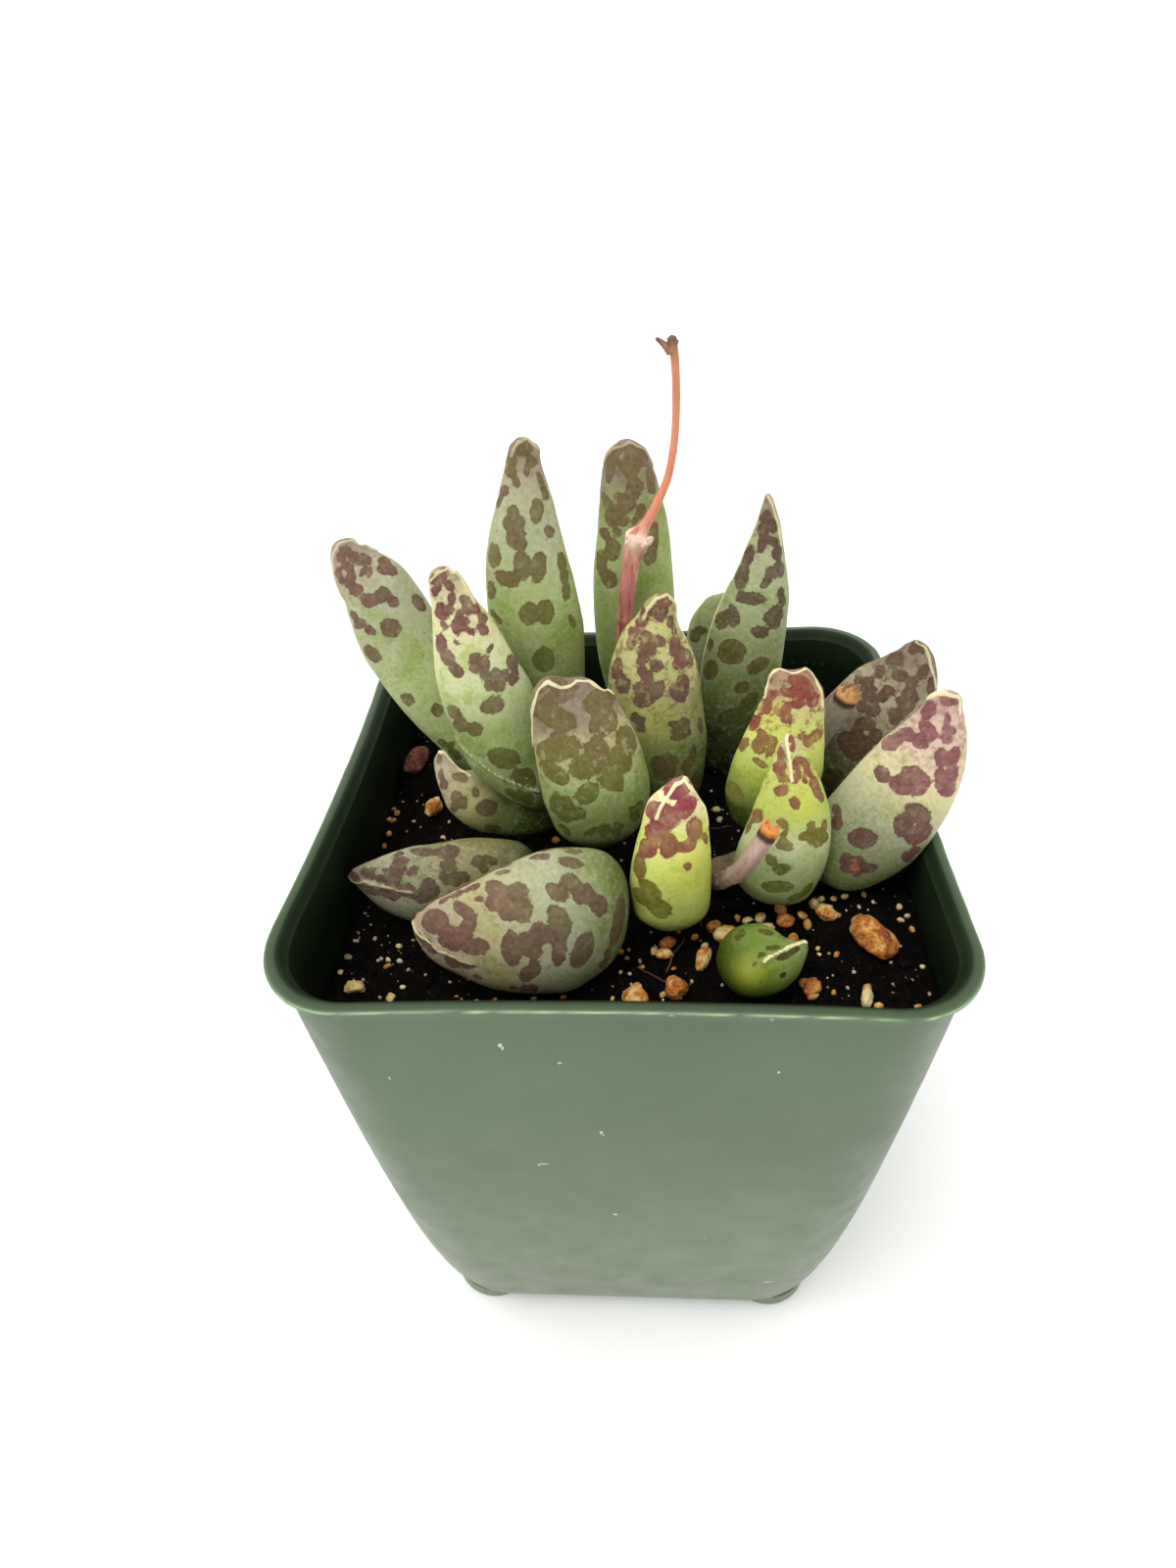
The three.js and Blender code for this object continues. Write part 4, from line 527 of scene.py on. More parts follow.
# Spots of a leaf: share of the length, degrees round it, half-length, half-width in mm, turn from the leaf's length.
SPOTS = {
    "leaf_far_left": [
        (0.925, 70, 0.68, 0.44, 121), (0.95, 112, 0.62, 0.49, 125), (0.944, 82, 0.68, 0.47, 130), (0.912, 59, 0.52, 0.31, 3), (0.963, 96, 0.6, 0.47, 86), (0.863, 56, 0.68, 0.49, 5),
        (0.875, 39, 0.66, 0.65, 175), (0.85, 42, 0.69, 0.55, 154), (0.925, 107, 0.55, 0.46, 40), (0.894, 82, 0.68, 0.32, 110), (0.881, 76, 0.65, 0.35, 126), (0.9, 118, 0.85, 0.57, 114),
        (0.919, 141, 0.98, 0.48, 179), (0.869, 118, 0.75, 0.63, 87), (0.794, 76, 0.73, 0.52, 16), (0.819, 84, 0.96, 0.76, 118), (0.825, 107, 1.05, 0.73, 51), (0.756, 37, 1.11, 0.68, 7),
        (0.769, 141, 0.82, 0.57, 101), (0.8, 149, 0.69, 0.49, 179), (0.744, 127, 0.7, 0.52, 59), (0.731, 96, 1.06, 0.98, 47), (0.681, 141, 1.14, 0.87, 27), (0.525, 135, 0.81, 0.77, 8),
        (0.45, 107, 0.85, 0.63, 148), (0.338, 132, 0.68, 0.37, 86), (0.356, 143, 0.59, 0.53, 112), (0.3, 138, 0.95, 0.63, 4),
    ],
    "leaf_left": [
        (0.869, 98, 0.63, 0.51, 139), (0.938, 124, 0.82, 0.47, 143), (0.825, 121, 0.52, 0.35, 12), (0.9, 82, 0.6, 0.44, 163), (0.938, 76, 0.7, 0.47, 13), (0.856, 124, 0.67, 0.48, 88),
        (0.881, 124, 0.62, 0.5, 124), (0.969, 101, 0.85, 0.58, 95), (0.806, 37, 0.63, 0.54, 11), (0.844, 39, 0.65, 0.49, 175), (0.806, 98, 0.57, 0.42, 35), (0.775, 51, 0.67, 0.55, 15),
        (0.8, 82, 0.52, 0.38, 76), (0.844, 79, 0.47, 0.45, 50), (0.819, 73, 0.5, 0.4, 176), (0.85, 62, 0.59, 0.43, 11), (0.781, 73, 0.46, 0.39, 62), (0.825, 90, 0.48, 0.41, 119),
        (0.881, 48, 0.74, 0.46, 41), (0.719, 127, 0.87, 0.81, 51), (0.769, 138, 1.07, 0.7, 164), (0.675, 115, 0.87, 0.67, 35), (0.762, 104, 0.42, 0.37, 151), (0.625, 25, 1.06, 0.65, 172),
        (0.681, 70, 0.7, 0.55, 163), (0.6, 76, 0.74, 0.6, 15), (0.606, 51, 0.67, 0.59, 129), (0.581, 65, 0.73, 0.63, 99), (0.669, 87, 0.65, 0.61, 145), (0.625, 62, 0.7, 0.59, 140),
        (0.7, 82, 0.75, 0.53, 120), (0.581, 39, 0.83, 0.59, 120), (0.644, 76, 0.7, 0.55, 163), (0.713, 53, 0.65, 0.36, 117), (0.531, 84, 1.34, 0.91, 85), (0.487, 138, 1.16, 0.83, 115),
        (0.537, 141, 1, 0.89, 70), (0.469, 118, 0.96, 0.79, 111), (0.338, 98, 1.78, 1.27, 45), (0.219, 101, 0.71, 0.6, 158), (0.194, 90, 0.77, 0.54, 142), (0.237, 84, 0.76, 0.62, 15),
        (0.256, 98, 0.79, 0.57, 122), (0.138, 129, 0.71, 0.54, 161), (0.175, 127, 0.9, 0.58, 117), (0.2, 132, 0.75, 0.61, 153), (0.15, 115, 0.82, 0.42, 169),
    ],
    "leaf_tall_left": [
        (0.969, 101, 0.55, 0.53, 62), (0.95, 132, 0.67, 0.46, 2), (0.981, 79, 0.68, 0.48, 45), (0.906, 110, 0.73, 0.38, 33), (0.925, 129, 0.62, 0.59, 135), (0.931, 76, 0.64, 0.29, 176),
        (0.95, 59, 0.66, 0.57, 36), (0.906, 37, 0.8, 0.34, 8), (0.875, 37, 0.81, 0.39, 179), (0.881, 143, 0.58, 0.49, 125), (0.856, 152, 0.69, 0.32, 167), (0.838, 65, 1.23, 0.68, 168),
        (0.812, 98, 0.62, 0.55, 15), (0.838, 112, 0.61, 0.61, 7), (0.775, 112, 0.77, 0.57, 9), (0.806, 118, 0.72, 0.56, 37), (0.787, 98, 0.68, 0.59, 66), (0.762, 96, 0.74, 0.58, 107),
        (0.787, 45, 0.65, 0.51, 180), (0.681, 118, 1.42, 0.85, 78), (0.713, 96, 1.57, 0.84, 2), (0.706, 73, 1.53, 0.86, 165), (0.731, 143, 1.26, 0.84, 6), (0.669, 34, 0.9, 0.57, 177),
        (0.706, 31, 0.92, 0.62, 173), (0.631, 37, 0.94, 0.53, 169), (0.656, 149, 0.57, 0.52, 97), (0.637, 149, 0.84, 0.42, 133), (0.594, 93, 1.23, 0.97, 156), (0.594, 73, 1.36, 0.93, 176),
        (0.588, 149, 0.64, 0.39, 73), (0.575, 138, 0.52, 0.41, 35), (0.55, 37, 0.91, 0.35, 9), (0.469, 84, 1.48, 1.16, 177),
    ],
    "leaf_tall_middle": [
        (0.956, 132, 0.7, 0.62, 121), (0.975, 127, 0.82, 0.45, 156), (0.925, 135, 0.8, 0.4, 174), (0.812, 129, 0.83, 0.68, 177), (0.963, 62, 1.29, 0.8, 36), (0.938, 84, 0.93, 0.81, 52),
        (0.856, 101, 1.12, 0.53, 50), (0.894, 76, 0.94, 0.57, 27), (0.806, 107, 0.68, 0.57, 100), (0.831, 110, 0.84, 0.52, 93), (0.85, 138, 1, 0.48, 42), (0.875, 84, 0.7, 0.63, 64),
        (0.894, 37, 1.24, 0.48, 173), (0.825, 73, 0.56, 0.39, 159), (0.806, 84, 0.62, 0.28, 137), (0.7, 65, 0.63, 0.59, 132), (0.725, 59, 0.62, 0.41, 155), (0.75, 56, 0.6, 0.47, 25),
        (0.775, 53, 0.57, 0.41, 170), (0.762, 141, 0.79, 0.52, 55), (0.725, 124, 1.1, 0.83, 176), (0.775, 118, 0.39, 0.34, 37), (0.681, 146, 1.19, 0.66, 6), (0.644, 129, 0.98, 0.84, 8),
    ],
    "leaf_middle": [
        (0.919, 87, 0.48, 0.47, 24), (0.944, 79, 0.56, 0.43, 35), (0.938, 110, 0.67, 0.42, 156), (0.969, 84, 0.63, 0.41, 117), (0.912, 138, 0.78, 0.37, 43), (0.887, 138, 0.57, 0.45, 114),
        (0.875, 45, 0.64, 0.4, 179), (0.906, 51, 0.62, 0.44, 173), (0.756, 34, 1.02, 0.65, 14), (0.794, 51, 0.9, 0.58, 76), (0.831, 53, 0.71, 0.58, 111), (0.744, 53, 0.75, 0.63, 64),
        (0.819, 132, 0.63, 0.43, 16), (0.844, 107, 0.69, 0.64, 102), (0.85, 135, 0.65, 0.58, 61), (0.775, 107, 0.68, 0.51, 136), (0.806, 110, 0.66, 0.47, 158), (0.806, 96, 0.63, 0.59, 10),
        (0.838, 84, 0.72, 0.57, 71), (0.725, 149, 1.17, 0.7, 173), (0.675, 135, 0.95, 0.83, 180), (0.75, 87, 0.68, 0.6, 69), (0.619, 104, 1.09, 0.75, 94), (0.662, 107, 0.84, 0.77, 121),
        (0.662, 87, 1, 0.81, 175), (0.713, 101, 1.09, 0.61, 39), (0.619, 59, 0.8, 0.49, 64), (0.656, 65, 0.66, 0.6, 133), (0.644, 51, 0.7, 0.57, 37), (0.681, 51, 0.82, 0.56, 75),
        (0.544, 112, 0.59, 0.44, 121), (0.556, 118, 0.51, 0.46, 161), (0.512, 112, 0.54, 0.44, 19), (0.456, 28, 0.99, 0.43, 2), (0.475, 70, 0.56, 0.48, 118), (0.506, 70, 0.71, 0.4, 65),
        (0.463, 56, 0.66, 0.5, 31), (0.45, 68, 0.71, 0.44, 73), (0.5, 56, 0.68, 0.56, 60), (0.356, 48, 0.99, 0.4, 174), (0.312, 59, 1, 0.61, 168), (0.3, 98, 0.89, 0.63, 42),
        (0.312, 84, 0.81, 0.64, 166), (0.356, 98, 0.99, 0.71, 142), (0.362, 82, 0.97, 0.64, 47), (0.231, 42, 1.06, 0.57, 32),
    ],
    "leaf_front_middle": [
        (0.975, 129, 0.7, 0.27, 155), (0.944, 146, 0.83, 0.32, 164), (0.5, 70, 1.77, 1.08, 31), (0.631, 34, 1.58, 1.2, 176), (0.562, 53, 1.46, 1.12, 25), (0.756, 56, 1.62, 1.28, 107),
        (0.644, 76, 1.43, 1.21, 2), (0.863, 51, 1.6, 1.18, 81), (0.581, 96, 1.31, 1.2, 66), (0.444, 96, 1.45, 1.02, 121), (0.844, 118, 2.27, 1.16, 67), (0.569, 132, 1.83, 0.98, 59),
        (0.688, 121, 2.59, 1.25, 99), (0.925, 110, 2.03, 0.78, 122), (0.756, 110, 0.53, 0.35, 124), (0.756, 121, 0.46, 0.42, 105), (0.725, 115, 0.5, 0.39, 92), (0.331, 110, 0.96, 0.78, 130),
        (0.306, 127, 1.03, 0.88, 109), (0.388, 121, 0.91, 0.69, 168), (0.375, 138, 1.52, 0.68, 155), (0.3, 45, 0.89, 0.45, 52), (0.312, 37, 0.65, 0.44, 23), (0.25, 42, 0.91, 0.45, 54),
        (0.219, 82, 0.9, 0.57, 171), (0.225, 65, 0.66, 0.46, 37), (0.212, 98, 0.97, 0.4, 132), (0.181, 68, 0.84, 0.45, 21), (0.2, 135, 0.88, 0.66, 30),
    ],
    "leaf_low_left": [
        (0.95, 107, 0.48, 0.31, 176), (0.856, 121, 0.69, 0.37, 161), (0.812, 124, 0.58, 0.54, 104), (0.781, 59, 0.88, 0.54, 21), (0.662, 73, 0.57, 0.41, 129), (0.675, 110, 0.72, 0.53, 125),
        (0.725, 112, 0.67, 0.6, 102), (0.688, 135, 0.77, 0.52, 102), (0.55, 90, 1.24, 0.98, 23), (0.438, 135, 1.06, 0.52, 173),
    ],
    "leaf_lying_left_back": [
        (0.45, 25, 1.24, 0.78, 169), (0.562, 20, 1.36, 0.55, 167), (0.456, 48, 0.83, 0.6, 163), (0.7, 17, 0.49, 0.26, 169), (0.325, 48, 0.66, 0.46, 29), (0.269, 48, 0.7, 0.43, 158),
        (0.306, 59, 0.52, 0.48, 172), (0.713, 48, 0.5, 0.48, 150), (0.75, 51, 0.61, 0.3, 168), (0.675, 48, 0.53, 0.44, 136), (0.681, 34, 0.91, 0.38, 173), (0.619, 53, 0.69, 0.43, 29),
        (0.831, 48, 0.48, 0.29, 180), (0.931, 87, 1.09, 0.55, 155), (0.781, 65, 0.92, 0.44, 172), (0.838, 98, 1.26, 0.49, 12), (0.75, 90, 0.86, 0.55, 179), (0.7, 87, 1.01, 0.55, 53),
        (0.562, 73, 0.84, 0.56, 20), (0.544, 84, 0.75, 0.58, 50), (0.869, 56, 1.07, 0.44, 164), (0.644, 82, 0.81, 0.73, 148), (0.594, 90, 0.77, 0.71, 152), (0.713, 68, 0.87, 0.6, 18),
        (0.431, 73, 0.57, 0.42, 21), (0.4, 68, 0.64, 0.52, 138), (0.45, 68, 0.67, 0.4, 38), (0.481, 65, 0.51, 0.41, 126),
    ],
    "leaf_lying_left_front": [
        (0.244, 8, 0.83, 0.32, 173), (0.356, 8, 0.95, 0.43, 164), (0.275, 25, 1.2, 0.54, 161), (0.487, 11, 0.79, 0.3, 163), (0.225, 68, 1.23, 0.83, 122), (0.269, 56, 1.09, 0.93, 9),
        (0.294, 45, 1.05, 0.82, 150), (0.338, 51, 1.23, 0.7, 136), (0.444, 59, 1.09, 0.79, 58), (0.45, 42, 1.07, 0.92, 167), (0.519, 45, 1.01, 0.85, 10), (0.487, 56, 0.94, 0.81, 55),
        (0.512, 31, 1.24, 0.7, 143), (0.681, 17, 1, 0.39, 2), (0.6, 17, 1.01, 0.39, 175), (0.75, 20, 0.86, 0.33, 1), (0.575, 37, 0.62, 0.31, 158), (0.156, 90, 2.68, 1.04, 72),
        (0.619, 84, 1.66, 0.9, 9), (0.631, 65, 1.37, 0.79, 38), (0.794, 53, 2.18, 1.18, 177), (0.713, 76, 1.78, 1.24, 8), (0.637, 45, 1.66, 0.65, 149), (0.369, 96, 1.83, 0.7, 76),
        (0.406, 79, 1.2, 1.05, 135), (0.45, 87, 1.49, 0.97, 107), (0.506, 87, 1.85, 0.97, 79), (0.35, 73, 1.6, 0.99, 110), (0.869, 90, 1.15, 0.5, 25), (0.906, 82, 0.82, 0.55, 171),
        (0.844, 98, 1.18, 0.52, 17), (0.294, 101, 2.02, 1.14, 71), (0.2, 118, 0.99, 0.41, 109), (0.212, 127, 0.82, 0.5, 123), (0.75, 110, 1.25, 0.78, 30), (0.675, 107, 1.24, 0.48, 20),
        (0.469, 112, 1.49, 0.78, 53), (0.656, 124, 0.62, 0.42, 31), (0.506, 135, 0.72, 0.46, 54), (0.475, 135, 0.72, 0.4, 102), (0.55, 135, 0.5, 0.35, 35),
    ],
    "leaf_front_small": [
        (0.312, 138, 1.2, 0.9, 88), (0.719, 127, 1.22, 0.93, 116), (0.487, 149, 1.25, 0.85, 8), (0.812, 118, 1.77, 1.13, 76), (0.613, 138, 1.18, 0.9, 149), (0.856, 76, 1.46, 0.88, 125),
        (0.381, 124, 1.26, 0.84, 62), (0.269, 112, 1.35, 1.03, 37), (0.738, 56, 1.15, 0.81, 1), (0.656, 101, 1.2, 0.86, 0), (0.65, 73, 1.05, 0.58, 96), (0.938, 107, 1.19, 0.93, 130),
        (0.662, 31, 0.61, 0.31, 17), (0.537, 70, 0.41, 0.37, 26),
    ],
    "leaf_tall_right": [
        (0.769, 73, 0.72, 0.63, 44), (0.931, 107, 0.72, 0.62, 153), (0.906, 76, 0.69, 0.58, 3), (0.85, 107, 0.86, 0.44, 178), (0.863, 73, 0.83, 0.45, 63), (0.738, 84, 0.62, 0.48, 144),
        (0.781, 48, 0.86, 0.63, 5), (0.831, 56, 0.8, 0.65, 14), (0.894, 115, 0.82, 0.59, 38), (0.744, 138, 1.19, 0.83, 13), (0.806, 141, 1.32, 0.57, 3), (0.688, 107, 1.59, 0.68, 96),
        (0.713, 48, 0.57, 0.39, 134), (0.688, 42, 0.63, 0.41, 43), (0.619, 56, 0.78, 0.63, 99), (0.656, 53, 0.85, 0.57, 54), (0.637, 70, 0.62, 0.59, 24), (0.619, 127, 1.12, 0.71, 34),
        (0.6, 146, 0.94, 0.84, 8), (0.588, 79, 0.94, 0.65, 86), (0.512, 115, 1.5, 1.46, 108), (0.512, 158, 0.69, 0.43, 7), (0.475, 73, 1.39, 0.8, 126), (0.431, 146, 1.15, 0.9, 175),
        (0.394, 90, 0.85, 0.69, 127), (0.344, 76, 1.44, 0.84, 148), (0.294, 101, 1.51, 0.91, 122), (0.181, 115, 1.03, 0.4, 140), (0.212, 93, 0.94, 0.57, 150), (0.138, 135, 1.21, 0.55, 148),
    ],
    "leaf_back_right": [
        (0.744, 129, 0.8, 0.55, 110), (0.694, 141, 0.74, 0.68, 83),
    ],
    "leaf_right_wavy": [
        (0.806, 104, 0.61, 0.4, 168), (0.9, 107, 0.55, 0.36, 81), (0.9, 62, 0.74, 0.52, 35), (0.856, 53, 0.74, 0.53, 178), (0.906, 87, 0.57, 0.44, 123), (0.762, 101, 0.65, 0.43, 46),
        (0.838, 87, 0.6, 0.4, 95), (0.875, 79, 0.51, 0.48, 133), (0.944, 82, 0.81, 0.42, 69), (0.819, 143, 0.49, 0.38, 42), (0.887, 146, 0.55, 0.39, 131), (0.775, 143, 0.49, 0.35, 148),
        (0.694, 158, 0.78, 0.47, 166), (0.675, 42, 0.72, 0.5, 96), (0.644, 59, 0.59, 0.52, 104), (0.656, 132, 0.43, 0.27, 82), (0.675, 70, 0.32, 0.26, 116), (0.6, 135, 0.56, 0.38, 8),
        (0.613, 124, 0.45, 0.33, 150), (0.569, 129, 0.57, 0.43, 98), (0.637, 112, 0.35, 0.26, 45), (0.562, 160, 0.71, 0.36, 164), (0.575, 112, 0.52, 0.28, 160), (0.5, 121, 0.68, 0.26, 74),
        (0.287, 149, 1.07, 0.71, 66),
    ],
    "leaf_right_front": [
        (0.963, 76, 0.41, 0.36, 173), (0.925, 82, 0.45, 0.32, 159), (0.838, 129, 0.67, 0.59, 119), (0.85, 56, 0.77, 0.41, 35), (0.8, 48, 0.77, 0.36, 11), (0.731, 42, 0.68, 0.59, 177),
        (0.838, 82, 0.65, 0.41, 12), (0.675, 39, 0.91, 0.45, 24), (0.787, 115, 0.67, 0.49, 58), (0.781, 84, 0.64, 0.44, 138), (0.894, 138, 0.75, 0.41, 8), (0.762, 65, 0.35, 0.27, 11),
        (0.725, 115, 0.66, 0.59, 103), (0.662, 90, 0.67, 0.5, 19), (0.556, 152, 0.75, 0.42, 120), (0.588, 155, 0.64, 0.43, 119), (0.481, 166, 0.69, 0.27, 172), (0.494, 104, 0.69, 0.33, 163),
        (0.556, 107, 0.65, 0.38, 40), (0.438, 101, 0.82, 0.57, 86), (0.456, 39, 0.67, 0.55, 51), (0.494, 53, 0.63, 0.48, 53), (0.512, 39, 0.71, 0.5, 8), (0.438, 53, 0.66, 0.47, 67),
        (0.487, 76, 0.55, 0.44, 115), (0.469, 65, 0.62, 0.46, 2), (0.525, 65, 0.67, 0.45, 6), (0.338, 112, 0.81, 0.53, 51), (0.3, 96, 0.84, 0.61, 109), (0.188, 93, 1.48, 0.7, 106),
        (0.188, 48, 0.9, 0.56, 161), (0.144, 62, 0.81, 0.48, 122),
    ],
    "leaf_leaning_right_back": [
        (0.963, 104, 0.57, 0.42, 172), (0.969, 76, 0.74, 0.33, 34), (0.875, 141, 0.63, 0.53, 69), (0.9, 129, 0.79, 0.49, 56), (0.875, 62, 0.82, 0.6, 158), (0.781, 132, 0.63, 0.49, 39),
        (0.825, 101, 0.62, 0.52, 122), (0.65, 118, 0.71, 0.43, 61), (0.731, 101, 0.66, 0.43, 99), (0.694, 101, 0.6, 0.44, 68), (0.662, 107, 0.6, 0.52, 61), (0.669, 138, 0.81, 0.5, 69),
        (0.6, 110, 0.65, 0.48, 73), (0.619, 96, 0.66, 0.56, 152), (0.681, 118, 0.63, 0.48, 109), (0.7, 129, 0.57, 0.54, 91), (0.65, 70, 0.92, 0.5, 57), (0.819, 79, 0.7, 0.6, 39),
        (0.731, 62, 0.64, 0.56, 22), (0.769, 70, 0.97, 0.53, 82), (0.731, 76, 0.63, 0.52, 18), (0.688, 65, 0.64, 0.54, 33), (0.831, 37, 0.89, 0.48, 3), (0.469, 90, 0.83, 0.75, 66),
        (0.525, 98, 0.84, 0.52, 13), (0.556, 90, 0.77, 0.61, 65), (0.4, 79, 0.97, 0.79, 89), (0.463, 76, 0.89, 0.73, 24), (0.419, 98, 1.02, 0.66, 42), (0.525, 73, 0.84, 0.62, 29),
        (0.256, 73, 0.77, 0.46, 27), (0.244, 82, 0.63, 0.45, 57), (0.2, 76, 0.75, 0.58, 27),
    ],
    "leaf_leaning_right_front": [
        (0.975, 87, 0.74, 0.52, 65), (0.8, 141, 1, 0.6, 137), (0.85, 107, 1.07, 0.61, 59), (0.8, 110, 0.8, 0.67, 89), (0.738, 149, 0.99, 0.73, 150), (0.919, 132, 0.97, 0.56, 1),
        (0.869, 65, 0.67, 0.44, 63), (0.906, 76, 0.66, 0.26, 7), (0.838, 70, 0.58, 0.5, 57), (0.725, 45, 1.07, 0.57, 32), (0.787, 48, 0.79, 0.65, 26), (0.706, 62, 0.96, 0.54, 25),
        (0.662, 45, 1.26, 0.78, 65), (0.769, 70, 0.91, 0.61, 22), (0.644, 82, 1.15, 0.81, 174), (0.613, 101, 1.02, 0.86, 75), (0.675, 98, 0.96, 0.75, 112), (0.613, 127, 0.87, 0.72, 72),
        (0.35, 141, 0.83, 0.49, 82), (0.312, 129, 0.8, 0.6, 13), (0.463, 48, 1.34, 1.21, 152), (0.537, 65, 1.47, 0.94, 74), (0.475, 73, 1.3, 0.89, 31), (0.338, 96, 1.37, 1.12, 144),
        (0.388, 34, 0.65, 0.58, 56), (0.356, 37, 0.87, 0.51, 59), (0.237, 82, 0.64, 0.55, 43), (0.219, 93, 0.69, 0.45, 3), (0.2, 70, 0.69, 0.52, 57), (0.188, 82, 0.63, 0.53, 35),
        (0.237, 70, 0.89, 0.43, 47), (0.25, 62, 0.63, 0.56, 4),
    ],
    "leaf_bud": [
        (0.57, 301, 1, 0.26, 10), (0.66, 284, 1.2, 0.34, 8), (0.42, 288, 0.5, 0.2, 10), (0.79, 292, 0.9, 0.3, 10), (0.36, 275, 0.35, 0.16, 40), (0.62, 250, 0.5, 0.3, 20),
        (0.5, 330, 0.8, 0.4, 0), (0.25, 330, 0.7, 0.5, 60),
    ],
}
# Lines of the horny margins: (share of the length, degrees round the leaf).
MARGINS = {
    "leaf_far_left": [
        [(0.88, 178), (0.919, 176), (0.95, 150), (0.975, 121), (0.994, 60), (0.97, 12), (0.93, 5)],
    ],
    "leaf_left": [
        [(0.965, 150), (0.981, 110), (0.994, 40), (0.955, 12), (0.9, 18), (0.86, 28)],
        [(0.425, 172), (0.35, 132), (0.244, 112), (0.144, 93)],
    ],
    "leaf_tall_left": [
        [(0.956, 135), (0.985, 121), (0.994, 68), (0.975, 8)],
    ],
    "leaf_tall_middle": [
        [(0.95, 168), (0.981, 152), (0.994, 59), (0.969, 20), (0.93, 5)],
    ],
    "leaf_middle": [
        [(0.9, 131), (0.931, 135), (0.975, 127), (0.994, 56), (0.963, 6), (0.9, 4), (0.84, 14)],
    ],
    "leaf_front_middle": [
        [(0.7, 177), (0.831, 177), (0.925, 157), (0.965, 146), (0.955, 110), (0.99, 75), (0.985, 20), (0.93, 0), (0.86, -2)],
    ],
    "leaf_low_left": [
        [(0.994, 110), (0.988, 20), (0.875, 8), (0.738, 42)],
    ],
    "leaf_lying_left_back": [
        [(0.994, 124), (0.881, 79), (0.731, 79), (0.606, 84)],
    ],
    "leaf_lying_left_front": [
        [(0.99, 60), (0.975, 48), (0.894, 79), (0.787, 93), (0.694, 101), (0.625, 101)],
    ],
    "leaf_front_small": [
        [(0.994, 90), (0.938, 4), (0.825, 14), (0.72, 20)],
        [(0.994, 90), (0.956, 121), (0.875, 123), (0.79, 129)],
    ],
    "leaf_tall_right": [
        [(0.994, 100), (0.97, 60), (0.925, 45), (0.85, 38)],
        [(0.72, 176), (0.594, 168), (0.475, 172), (0.36, 170), (0.25, 168)],
    ],
    "leaf_right_wavy": [
        [(0.863, 165), (0.95, 170), (0.988, 149), (0.981, 79), (0.988, 14), (0.9, 28), (0.819, 28)],
    ],
    "leaf_right_front": [
        [(0.994, 115), (0.925, 107), (0.85, 98), (0.769, 93)],
    ],
    "leaf_leaning_right_back": [
        [(0.994, 115), (0.975, 51), (0.9, 42), (0.831, 22)],
    ],
    "leaf_leaning_right_front": [
        [(0.955, 186), (0.981, 170), (0.994, 121), (0.981, 31), (0.93, 36)],
    ],
    "leaf_bud": [
        [(0.45, 278), (0.5, 284), (0.581, 290), (0.675, 298), (0.8, 309), (0.906, 315), (0.985, 312)],
    ],
}
